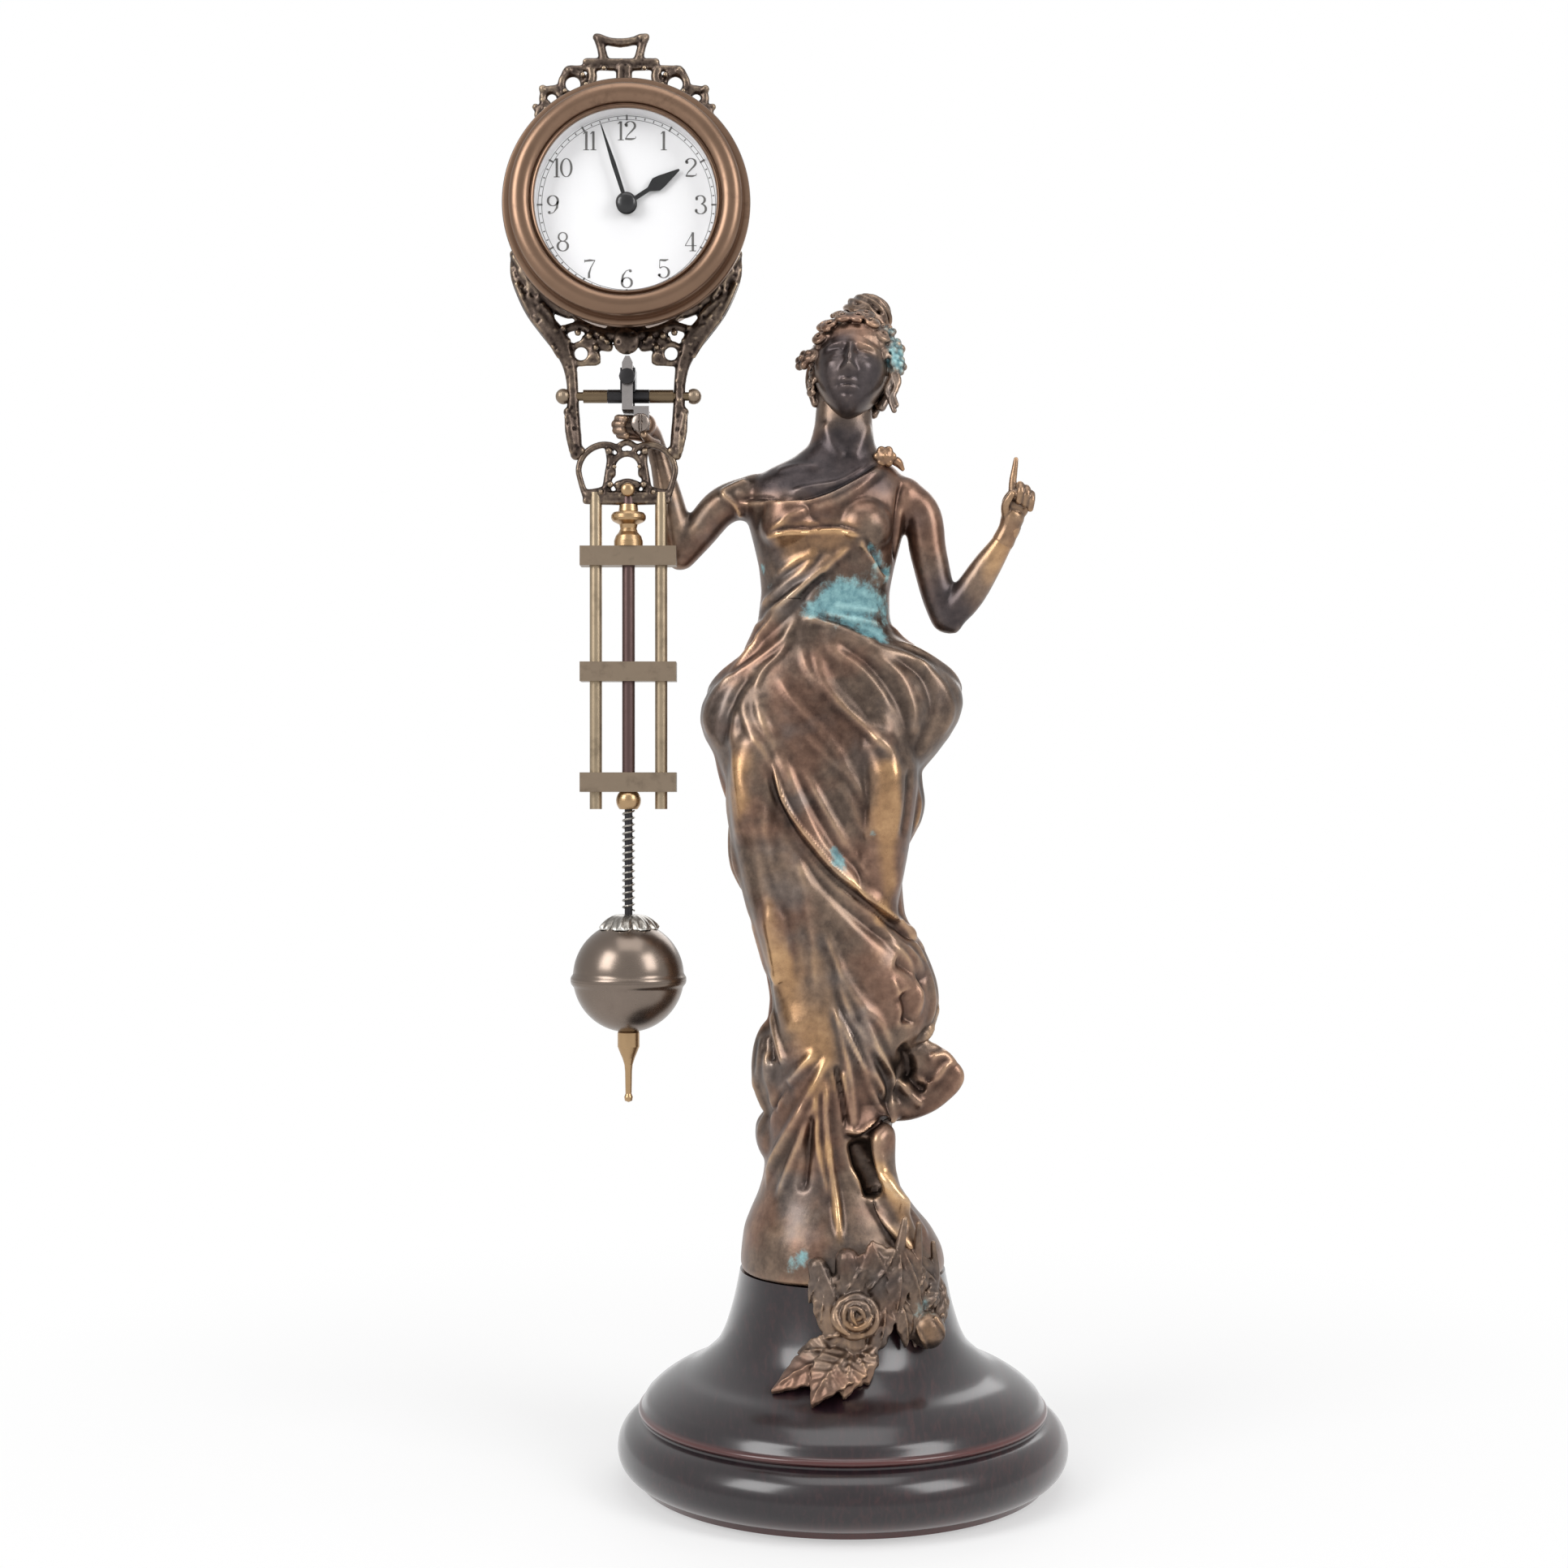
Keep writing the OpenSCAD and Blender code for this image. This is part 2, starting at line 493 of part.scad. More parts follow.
// Steel fork: a strap bent to a U with a hole in each arm for the pivot pin, and a tab
// that is screwed to the front of the hand
fork_y0 = py - fork_gap/2 - strap_t;
fork_y1 = py + fork_gap/2 + strap_t;
fork_tab_y1 = py - 3;
tab_x0 = px + 1.5;
tab_x1 = px + 5.2;
screw_x = hand_x + 0.6;
screw_z = hand_z - 0.2;
fscrew_r = 0.8;
fscrew_l = 3.6;
module fork_arm(y0) {
    slab(y0, y0 + strap_t) polygon([[px - strap_w/2, fork_foot_z], [px + strap_w/2, fork_foot_z],
        [px + strap_w/2, fork_top_z - 1.6], [px + 0.5, fork_top_z], [px - 0.5, fork_top_z],
        [px - strap_w/2, fork_top_z - 1.6]]);
}
module suspension_fork() {
    color("#c4c2bd") difference() {
        union() {
            fork_arm(fork_y0);
            fork_arm(fork_y1 - strap_t);
            translate([px - strap_w/2, fork_y0, fork_foot_z]) cube([strap_w, fork_y1 - fork_y0, strap_t]);
            translate([px, fork_tab_y1 - strap_t, fork_foot_z])
                cube([tab_x1 - px, strap_t + 4, strap_t]);
            translate([tab_x0, fork_tab_y1 - strap_t, screw_z - 1.6])
                cube([tab_x1 - tab_x0, strap_t, fork_foot_z + strap_t - screw_z + 1.6]);
        }
        bar_y(px, pivot_z, pin_r + fit, fork_y0 - 1, fork_y1 + 1, 32);
        bar_y(screw_x, screw_z, fscrew_r + fit, fork_tab_y1 - strap_t - 1, fork_tab_y1 + 1, 32);
    }
}
module fork_screw() {
    color("#cfcdc8") difference() {
        union() {
            bar_y(screw_x, screw_z, fscrew_r, fork_tab_y1 - strap_t - 0.1, fork_tab_y1 + fscrew_l, 32);
            bar_y(screw_x, screw_z, 1.75, fork_tab_y1 - strap_t - 1.1, fork_tab_y1 - strap_t, 48);
        }
        translate([screw_x - 0.25, fork_tab_y1 - strap_t - 1.2, screw_z - 3]) cube([0.5, 0.7, 6]);
    }
}

// Gimbal: a sleeve on the crossbar with a block that the pivot pin goes through
hub_y0 = fork_y0 + strap_t + hub_gap;
hub_y1 = fork_y1 - strap_t - hub_gap;
module gimbal_hub() {
    color("#3c3a3c") difference() {
        union() {
            bar_x(py, bar_z, bar_r + 0.05, px - sleeve_l/2, px + sleeve_l/2);
            translate([px - 1.8, hub_y0, bar_z]) cube([3.6, hub_y1 - hub_y0, bar_drop + 2.0]);
        }
        bar_x(py, bar_z, bar_neck_r + fit, px - sleeve_l/2 - 1, px + sleeve_l/2 + 1);
        bar_y(px, pivot_z, pin_r + 0.01, hub_y0 - 1, hub_y1 + 1, 32);
        translate([px - 3, hub_y0 - 1, bar_z - 4]) cube([6, py - bar_r - 0.05 - hub_y0 + 1, 4.6]);
        translate([px - 3, py + bar_r + 0.05, bar_z - 4]) cube([6, 6, 4.6]);
    }
}
module pivot_pin() { color("#b0aeaa") bar_y(px, pivot_z, pin_r, fork_y0 - 0.3, fork_y1 + 0.3, 32); }

// Crossbar: thin in the middle, where the gimbal turns on it, and thin at both ends
module crossbar() {
    color("#7c6a5c") union() {
        bar_x(py, bar_z, bar_neck_r, px - sleeve_l/2 - 0.2, px + sleeve_l/2 + 0.2);
        for (s = [-1, 1]) {
            x0 = s > 0 ? px + sleeve_l/2 + 0.1 : px - window_w;
            bar_x(py, bar_z, bar_r, x0, x0 + window_w - sleeve_l/2 - 0.1);
            x1 = s > 0 ? px + window_w - 0.1 : px - arm_x1 - 1.9;
            bar_x(py, bar_z, bar_end_r - 0.05, x1, x1 + arm_w + 2);
        }
    }
}
// Round nut with a domed end
module end_nut(s) {
    color("#8b7a68") translate([px + s*arm_x1, py, bar_z]) rotate([0, s*90, 0]) difference() {
        rotate_extrude($fn = 48) polygon(concat([[0, 0], [nut_r*0.8, 0]], arc(0, 1.15, nut_r, -30, 90, 10)));
        translate([0, 0, -1]) cylinder(h = 3.0, r = bar_end_r);
    }
}
module crossbar_nut_l() { end_nut(-1); }
module crossbar_nut_r() { end_nut(1); }

// Outline of the frame: half of it, from the horn beside the bezel down to the foot of
// the arm and back along the window, is mirrored to the other side
cradle_r = case_r + fit;
function both(P) = concat(P, [for (i = [len(P) - 2:-1:1]) [-P[i][0], P[i][1]]]);
module frame_shape() {
    polygon(both(concat(
        arc(0, head_z, cradle_r, -90, -22, 18),
        [[30.0, head_z - 10.7], [30.6, head_z - 13.2], [29.8, head_z - 16.6], [27.6, head_z - 20], [24.2, head_z - 23.8],
         [20.6, head_z - 28], [17.8, head_z - 32.2], [16.4, head_z - 36.4], [15.6, bar_z + 6], [arm_x1 + 0.2, bar_z + 3],
         [arm_x1, bar_z], [arm_x1 + 0.3, bar_z - 4], [arm_x1 + 0.2, bar_z - 8], [arm_x1 - 0.6, foot_z], [window_w - 0.1, foot_z],
         [window_w, bar_z - 8], [window_w, bar_z + 3.6]],
        arc(window_w - 1.7, bar_z + 6, 1.7, -30, 150, 8),
        [[window_w - 3.6, bar_z + 8.2], [6.9, bar_z + 7.4], [5.6, bar_z + 9], [3.6, bar_z + 10], [2.2, bar_z + 9.6], [0, bar_z + 9]])));
}
module lyre_frame() {
    color("#6f5f57") difference() {
        translate([px, 0, 0]) slab(frame_y0, frame_y1) difference() {
            frame_shape();
            for (s = [-1, 1]) {
                translate([s*13.2, head_z - 27.8]) rotate(s*32) square([3.6, 1.5], center = true);
                translate([s*11.3, bar_z + 10.6]) circle(r = 1.2, $fn = 24);
            }
        }
        bar_x(py, bar_z, bar_end_r, px - arm_x1 - 3, px + arm_x1 + 3);
        for (s = [-1, 1]) translate([s > 0 ? px + arm_x1 : px - arm_x1 - 3, py - 3, bar_z - 3]) cube([3, 6, 6]);
    }
    color("#8a7a70") translate([px, 0, 0]) slab(frame_y0 - 1, frame_y0) polygon([[0, bar_z + 9.8], [2.6, bar_z + 11.6],
        [3.3, bar_z + 14], [2.4, bar_z + 16.2], [0, bar_z + 16.8], [-2.4, bar_z + 16.2], [-3.3, bar_z + 14], [-2.6, bar_z + 11.6]]);
}

// Crest on top of the case, pierced, with a small handle
module crest_shape() {
    polygon(both(concat(arc(0, head_z, cradle_r, 90, 48, 10),
        [[22.4, head_z + 21.7], [22.9, head_z + 23.6], [22.2, head_z + 25.2], [21.4, head_z + 26.4], [21.2, head_z + 29],
         [19.2, head_z + 30.4], [16.8, head_z + 31], [15.4, head_z + 33], [12.6, head_z + 33.6], [9, head_z + 33.8],
         [9.2, head_z + 36.6], [7.4, head_z + 37.2], [6.4, head_z + 39], [7.5, head_z + 41.4], [7, head_z + 42.9],
         [4.4, head_z + 42.6], [0, head_z + 41.6]])));
}
module crown() {
    color("#75645b") translate([px, 0, 0]) slab(frame_y0 + 0.3, frame_y1 - 0.3) difference() {
        crest_shape();
        translate([-4.2, head_z + 37.2]) square([8.4, 2.8]);
        for (s = [-1, 1]) {
            translate([s*3.9, head_z + 32.4]) circle(r = 1.7, $fn = 32);
            translate([s*12.2, head_z + 30.2]) circle(r = 1.7, $fn = 32);
            translate([s*17.6, head_z + 27.2]) circle(r = 0.9, $fn = 24);
        }
    }
}

// Pierced casting between the feet of the arms, which carries the rods
module palmette_shape() {
    polygon(both([[0, pal_top_z], [3.4, pal_top_z - 0.4], [6, pal_top_z - 1.8], [8.6, pal_top_z - 1.2], [window_w - 0.2, pal_top_z - 1.6],
        [window_w - 0.2, foot_z - 0.05], [plate_w + 0.4, foot_z - 0.05], [plate_w + 0.6, foot_z - 3], [plate_w, foot_z - 5.4],
        [plate_w - 0.6, pal_bot_z + 3.4], [plate_w - 0.8, pal_bot_z], [0, pal_bot_z]]));
}
module palmette() {
    color("#6b5b52") difference() {
        translate([px, 0, 0]) slab(frame_y0, frame_y1) difference() {
            palmette_shape();
            polygon(arc(0, pal_bot_z + 6.2, 3.3, 0, 180, 24));
            for (s = [-1, 1]) intersection() {
                translate([s*8 - s*2.4, pal_bot_z + 8.4]) circle(r = 4.6, $fn = 48);
                translate([s*8 + s*2.4, pal_bot_z + 8.4]) circle(r = 4.6, $fn = 48);
            }
        }
        for (s = [-1, 1]) bar_z(px + s*rod_off, py, rod_r + fit, pal_bot_z - 1, pal_bot_z + 3);
        bar_z(px, py, mid_rod_r + fit, pal_bot_z - 1, pal_bot_z + 3);
        bar_y(px, pal_bot_z + 3.3, stud_pin_r, frame_y0 - 1, frame_y0 + 1.2, 24);
    }
}
stud_pin_r = 0.7;
module palmette_stud() {
    color("#9a8468") union() {
        bar_y(px, pal_bot_z + 3.3, 1.7, frame_y0 - 1.1, frame_y0, 40);
        bar_y(px, pal_bot_z + 3.3, stud_pin_r, frame_y0 - 0.5, frame_y0 + 1, 24);
    }
}

// Turned collar on the centre rod
collar_b = mid_rod_r + fit;
module vase_collar() {
    color("#b08d5b") turned([[collar_b, plate_z[0] + plate_h/2], [3.5, plate_z[0] + plate_h/2], [3.5, 229.2], [3.1, 230.4],
        [2.3, 231.4], [2.0, 232.2], [2.2, 233.2], [3.8, 234], [4.2, 234.6], [4.2, 235.4], [3.8, 236], [2.4, 236.4],
        [2.2, pal_bot_z - 0.05], [collar_b, pal_bot_z - 0.05]]);
}

// Rods and the three cross plates
module side_rod(s) { color("#8c7c60") bar_z(px + s*rod_off, py, rod_r, rod_end_z, pal_bot_z + 2.9); }
module side_rod_l() { side_rod(-1); }
module side_rod_r() { side_rod(1); }
module centre_rod() {
    color("#4b3438") bar_z(px, py, mid_rod_r, nut_top_z + 0.05, pal_bot_z + 2.5);
}
module cross_plate(z) {
    color("#857a5c") difference() {
        translate([px - plate_w, py - plate_d/2, z - plate_h/2]) cube([2*plate_w, plate_d, plate_h]);
        for (s = [-1, 1]) bar_z(px + s*rod_off, py, rod_r + fit, z - plate_h, z + plate_h);
        bar_z(px, py, mid_rod_r + fit, z - plate_h, z + plate_h);
    }
}
module cross_plate_top() { cross_plate(plate_z[0]); }
module cross_plate_mid() { cross_plate(plate_z[1]); }
module cross_plate_low() { cross_plate(plate_z[2]); }

// Round nut under the lowest plate, with the threaded rod below it
module ball_nut() {
    color("#b98a55") turned(concat([[screw_r + fit, ball_nut_z], [1.8, ball_nut_z]],
        arc(0, ball_nut_z + ball_nut_h/2, ball_nut_r, -44, 44, 10),
        [[1.8, nut_top_z], [screw_r + fit, nut_top_z]]));
}
module threaded_rod() { color("#9a948a") bar_z(px, py, screw_r, thread_end_z, nut_top_z); }
// Compression spring around the threaded rod
spring_top_z = ball_nut_z - 0.1;
module spring() {
    n = 12;
    k = 6;
    steps = turns*n;
    z0 = spring_bot_z + wire/2;
    z1 = spring_top_z - wire/2;
    pts = [for (i = [0:steps]) let (a = 360*i/n, t = i/steps) for (j = [0:k-1])
        let (b = -360*j/k, r = spring_r - wire/2 + wire/2*cos(b))
            [px + r*cos(a), py + r*sin(a), mix(z0, z1, t) + wire/2*sin(b)]];
    color("#c9c8c4") polyhedron(points = pts, faces = concat([[for (j = [0:k-1]) j]],
        [for (i = [0:steps-1], j = [0:k-1]) let (a = i*k + j, b = i*k + (j + 1)%k) [a, a + k, b + k, b]],
        [[for (j = [k-1:-1:0]) steps*k + j]]), convexity = 20);
}

// Bob: two half shells on a heavy core, an equator band and a leaf cap
bob_bore = screw_r + 0.1;
core_r = ball_r - shell_t - 0.02;
module shell(s) {
    color("#5f5d5a") difference() {
        translate([px, py, ball_z]) rotate_extrude($fn = 96) polygon(concat(
            s > 0 ? arc(0, 0, ball_r, 90, 3, 24) : arc(0, 0, ball_r, -90, -3, 24),
            [[ball_r + band_out, s*0.7], [ball_r + band_out, s*0.02], [core_r + 0.02, s*0.02]],
            s > 0 ? arc(0, 0, core_r + 0.02, 0, 90, 24) : arc(0, 0, core_r + 0.02, 0, -90, 24)));
        bar_z(px, py, bob_bore, ball_z - ball_r - 1, ball_z + ball_r + 1);
        if (s < 0) bar_z(px, py, rating_r + 0.25, ball_z - ball_r - 1, ball_z - ball_r + 0.7);
    }
}
module bob_upper() { shell(1); }
module bob_lower() { shell(-1); }
module bob_core() {
    color("#4a4a4c") difference() {
        translate([px, py, ball_z]) sphere(r = core_r, $fn = 96);
        bar_z(px, py, bob_bore, ball_z - ball_r - 1, ball_z + ball_r + 1);
    }
}
// Leaf cap on top of the ball: a bell that follows the ball
module bob_cap() {
    color("#c0bfba") difference() {
        turned(concat([[0, cap_z + cap_h], [2.4, cap_z + cap_h], [2.6, cap_z + cap_h - 1.4], [4.6, cap_z + cap_h - 2.6],
            [6.6, cap_z + 1.8], [cap_r, cap_z + 0.4], [cap_r, cap_z - 0.2]], [[0, cap_z - 0.2]]));
        translate([px, py, ball_z]) sphere(r = ball_r + 0.02, $fn = 96);
        bar_z(px, py, bob_bore, cap_z - 2, cap_z + cap_h + 1);
    }
}
// Rating nut: a barrel with a long slender point
rating_r = 2.65;
module rating_nut() {
    color("#a9875a") difference() {
        turned([[0, rating_top_z], [rating_r - 0.3, rating_top_z], [rating_r, rating_top_z - 0.4], [rating_r, thread_end_z + 0.4],
            [2.1, thread_end_z - 1], [1.5, thread_end_z - 2.4], [1.0, thread_end_z - 4], [0.85, thread_end_z - 5.6],
            [0.8, tip_z + 4.5], [0.75, tip_z + 2.1], [1.05, tip_z + 1.3],
            [0.9, tip_z + 0.4], [0, tip_z]]);
        bar_z(px, py, screw_r + fit, thread_end_z - bob_travel - 0.3, rating_top_z + 1);
    }
}

// Case: a drum with a ledge inside for the front movement plate
module case_drum() {
    color("#6e5d52") turned_y(px, head_z, [[case_r, case_y0], [case_r, case_y1], [ledge_r, case_y1],
        [ledge_r, case_y1 - 1], [case_ri, case_y1 - 1], [case_ri, fplate_y1 + 1], [ledge_r, fplate_y1 + 1],
        [ledge_r, fplate_y1], [case_ri, fplate_y1], [case_ri, case_y0]]);
}
// Bezel: a broad rounded ring, hollow behind, with a stepped inner edge
module bezel() {
    b = sight_r + 0.75;
    color("#a08778") turned_y(px, head_z, [[sight_r, bezel_y0 + 0.5], [sight_r + 0.6, bezel_y0 + 0.1], [sight_r + 1.8, bezel_y0],
        [bezel_r - 4.4, bezel_y0 + 0.6], [bezel_r - 2.4, bezel_y0 + 1.5], [bezel_r - 0.9, bezel_y0 + 2.9], [bezel_r - 0.2, bezel_y0 + 4.2],
        [bezel_r, bezel_y0 + 5.2], [bezel_r - 0.2, case_y0],
        [case_ri - 0.4, case_y0], [case_ri - 0.4, bezel_y0 + 2], [b + 0.8, bezel_y0 + 2], [b + 0.8, case_y0], [b, case_y0], [b, glass_y0], [sight_r, glass_y0 - 0.2]]);
}
module sight_ring() {
    color("#8d7767") turned_y(px, head_z, [[sight_r + 0.7, glass_y1 + 0.05], [sight_r + 0.7, dial_y0 - 0.05],
        [sight_r - 0.1, dial_y0 - 0.05], [sight_r - 0.1, glass_y1 + 0.05]]);
}
module glass() {
    color("#dfeef2", 0.3) bar_y(px, head_z, sight_r + 0.7, glass_y0 + 0.02, glass_y1, 96);
}
// Dial with two feet that reach the front plate
module dial() {
    color("#f2efe6") difference() {
        union() {
            bar_y(px, head_z, case_ri - seat, dial_y0, dial_y1, 96);
            for (s = [-1, 1]) bar_y(px + s*17, head_z, 0.8, dial_y1 - 0.1, fplate_y0, 24);
        }
        bar_y(px, head_z, pipe_r + run, dial_y0 - 1, dial_y1 + 1);
    }
}

// Hands
hour_hand_y = dial_y0 - 1;
minute_hand_y = hour_hand_y - 1;
hand_t = 0.35;
module hand_at(a, y) { translate([px, 0, head_z]) rotate([0, -a, 0]) slab(y, y + hand_t) children(); }
minute_a = -18;
hour_a = -57;
module minute_hand() {
    color("#151518") difference() {
        hand_at(-minute_a, minute_hand_y) union() {
            circle(r = 2.2, $fn = 40);
            polygon([[-0.45, 0], [0.45, 0], [0.55, minute_l*0.5], [0.12, minute_l], [-0.12, minute_l], [-0.55, minute_l*0.5]]);
        }
        bar_y(px, head_z, arbor_r + 0.01, minute_hand_y - 1, minute_hand_y + 1, 32);
    }
}
module hour_hand() {
    color("#151518") difference() {
        hand_at(hour_a, hour_hand_y) union() {
            circle(r = 2.5, $fn = 40);
            polygon([[-0.5, 0], [0.5, 0], [0.5, hour_l*0.42], [1.7, hour_l*0.56], [1.5, hour_l*0.66], [0.2, hour_l],
                [-0.2, hour_l], [-1.5, hour_l*0.66], [-1.7, hour_l*0.56], [-0.5, hour_l*0.42]]);
        }
        bar_y(px, head_z, tube_r + fit, hour_hand_y - 1, hour_hand_y + 1, 32);
    }
}

// Motion work
hwheel_y = dial_y1 + 0.5;
module hour_wheel() {
    color("#b79a5f") difference() {
        union() {
            bar_y(px, head_z, pipe_r, hour_hand_y + hand_t, hwheel_y + 0.1, 48);
            wheel_y(0, 0, hwheel_n, motion_mod2, hwheel_y, hwheel_y + 0.8, mesh_off(hwheel_n, motion_a, true));
        }
        bar_y(px, head_z, tube_r + fit, hour_hand_y - 1, hwheel_y + 2, 32);
    }
}
module minute_wheel() {
    y0 = hwheel_y + 1.1;
    color("#b79a5f") difference() {
        union() {
            wheel_y(motion_x, motion_h, mwheel_n, motion_mod, y0, y0 + 0.7, mesh_off(mwheel_n, motion_a + 180, true));
            wheel_y(motion_x, motion_h, mpinion_n, motion_mod2, hwheel_y, y0 + 0.1, mesh_off(mpinion_n, motion_a + 180, false));
        }
        bar_y(px + motion_x, head_z + motion_h, arbor_r + fit, hwheel_y - 1, y0 + 1, 32);
    }
}
module cannon_pinion() {
    y0 = hwheel_y + 1.1;
    color("#b79a5f") difference() {
        union() {
            bar_y(px, head_z, tube_r, minute_hand_y + hand_t + 0.05, fplate_y0 - 0.1, 48);
            wheel_y(0, 0, cannon_n, motion_mod, y0 - 0.1, y0 + 0.8, mesh_off(cannon_n, motion_a, false));
        }
        bar_y(px, head_z, arbor_r + 0.01, minute_hand_y - 1, fplate_y0 + 1, 32);
    }
}

// Movement plates, with a bearing hole for each arbor
barrel_arbor_r = 1.3;
pivot_r = 0.4;
module plate_holes(y0, y1) {
    bar_y(px, head_z, arbor_r + fit, y0 - 1, y1 + 1, 32);
    bar_y(px + barrel_x, head_z + barrel_h, barrel_arbor_r + fit, y0 - 1, y1 + 1, 32);
    for (p = [[third_x, third_h], [escape_x, escape_h], [anchor_x, anchor_h]])
        bar_y(px + p[0], head_z + p[1], pivot_r + fit, y0 - 1, y1 + 1, 24);
}
module front_plate() {
    color("#c8a866") difference() {
        union() {
            bar_y(px, head_z, case_ri - seat, fplate_y0, fplate_y1, 96);
            bar_y(px + motion_x, head_z + motion_h, arbor_r, hwheel_y - 0.1, fplate_y0 + 0.1, 32);
        }
        plate_holes(fplate_y0, fplate_y1);
    }
}
module back_plate() {
    color("#c8a866") difference() {
        bar_y(px, head_z, back_plate_r, bplate_y0, bplate_y1, 96);
        plate_holes(bplate_y0, bplate_y1);
    }
}
pillar_a = [145, 270, 350, 95];
module pillars() {
    color("#b8954f") for (a = pillar_a)
        turned_y(px + pillar_d*cos(a), head_z + pillar_d*sin(a), [[0, fplate_y1], [pillar_r, fplate_y1],
            [pillar_r, fplate_y1 + 0.9], [pillar_r*0.75, fplate_y1 + 1.3], [pillar_r*0.75, bplate_y0 - 1.3],
            [pillar_r, bplate_y0 - 0.9], [pillar_r, bplate_y0], [0, bplate_y0]]);
}

// Going train: barrel, centre wheel, third wheel and escape wheel
module barrel() {
    y0 = fplate_y1 + 0.5;
    color("#c5a25c") difference() {
        union() {
            bar_y(px + barrel_x, head_z + barrel_h, barrel_mod*barrel_teeth/2 - 0.9, y0, y0 + 3.4, 96);
            wheel_y(barrel_x, barrel_h, barrel_teeth, barrel_mod, y0, y0 + 0.7, mesh_off(barrel_teeth, barrel_a + 180, true));
        }
        bar_y(px + barrel_x, head_z + barrel_h, barrel_arbor_r + fit, y0 - 1, y0 + 5, 40);
    }
}
// The winding arbor ends in a square behind the back plate
module winding_arbor() {
    color("#8f8d88") union() {
        bar_y(px + barrel_x, head_z + barrel_h, barrel_arbor_r, fplate_y0 + 0.1, bplate_y1 + 0.1, 40);
        translate([px + barrel_x, bplate_y1, head_z + barrel_h]) rotate([-90, 0, 0])
            translate([-0.9, -0.9, 0]) cube([1.8, 1.8, case_y1 - bplate_y1 - 0.3]);
        bar_y(px + barrel_x, head_z + barrel_h, barrel_arbor_r + 0.5, fplate_y1 + 4.0, fplate_y1 + 4.3, 40);
    }
}
knob_y0 = case_y1 + 0.4;
module centre_wheel() {
    color("#c5a25c") union() {
        bar_y(px, head_z, arbor_r, minute_hand_y - 0.3, knob_y0 + 1.6, 32);
        wheel_y(0, 0, centre_leaves, barrel_mod, fplate_y1 + 0.4, fplate_y1 + 1.4, mesh_off(centre_leaves, barrel_a, false));
        wheel_y(0, 0, centre_teeth, centre_mod, fplate_y1 + 4.6, fplate_y1 + 5.1, mesh_off(centre_teeth, third_a, true));
        bar_y(px, head_z, 1.2, fplate_y1 + 4.3, fplate_y1 + 5.6, 40);
    }
}
module third_wheel() {
    color("#c5a25c") union() {
        bar_y(px + third_x, head_z + third_h, pivot_r, fplate_y0 + 0.1, bplate_y1 - 0.1, 24);
        wheel_y(third_x, third_h, third_leaves, centre_mod, fplate_y1 + 4.3, fplate_y1 + 5.4,
            mesh_off(third_leaves, third_a + 180, false));
        wheel_y(third_x, third_h, third_teeth, third_mod, fplate_y1 + 2.6, fplate_y1 + 3.1,
            mesh_off(third_teeth, escape_a, true));
        bar_y(px + third_x, head_z + third_h, 0.65, fplate_y1 + 2.2, fplate_y1 + 4.4, 32);
    }
}
escape_teeth = 30;
module escape_wheel() {
    y0 = fplate_y1 + 0.9;
    color("#c5a25c") union() {
        bar_y(px + escape_x, head_z + escape_h, pivot_r, fplate_y0 + 0.1, bplate_y1 - 0.1, 24);
        wheel_y(escape_x, escape_h, escape_leaves, third_mod, fplate_y1 + 2.4, fplate_y1 + 3.3,
            mesh_off(escape_leaves, escape_a + 180, false));
        translate([px + escape_x, 0, head_z + escape_h]) slab(y0, y0 + 0.4)
            polygon([for (i = [0:escape_teeth-1], k = [0:2]) let (a = 360*(i + [0, 0.12, 0.85][k])/escape_teeth,
                r = [escape_r, escape_r, escape_r - 0.7][k]) [r*cos(a), r*sin(a)]]);
        bar_y(px + escape_x, head_z + escape_h, 0.6, y0 - 0.2, fplate_y1 + 2.5, 32);
    }
}
// Anchor with its two pallets, and the small pendulum that hangs behind the back plate
module inner_pendulum() {
    y0 = fplate_y1 + 0.9;
    ph = head_z + anchor_h;
    color("#a78c55") union() {
        bar_y(px + anchor_x, ph, pivot_r, fplate_y0 + 0.1, bplate_y1 + 1.2, 24);
        translate([px + anchor_x, 0, ph]) rotate([0, -(anchor_a + 180), 0]) slab(y0, y0 + 0.5) difference() {
            union() {
                circle(r = 0.9, $fn = 32);
                polygon([[-0.5, 4.3], [0.6, 4.3], [1.2, 0.4], [1.2, -0.4], [0.6, -4.3], [-0.5, -4.3], [-0.7, 0]]);
                for (s = [-1, 1]) polygon([[0.2, s*3.6], [0.2, s*4.3], [2.2, s*4.3], [2.2, s*3.9]]);
            }
            translate([anchor_d, 0]) circle(r = escape_r + 0.45, $fn = 64);
        }
        translate([px + anchor_x - 0.35, 0, ph - inner_l])
            slab(bplate_y1 + 0.7, bplate_y1 + 1.1) square([0.7, inner_l]);
        bar_y(px + anchor_x, ph - inner_l, 3.2, bplate_y1 + 0.5, bplate_y1 + 1.5, 64);
    }
}

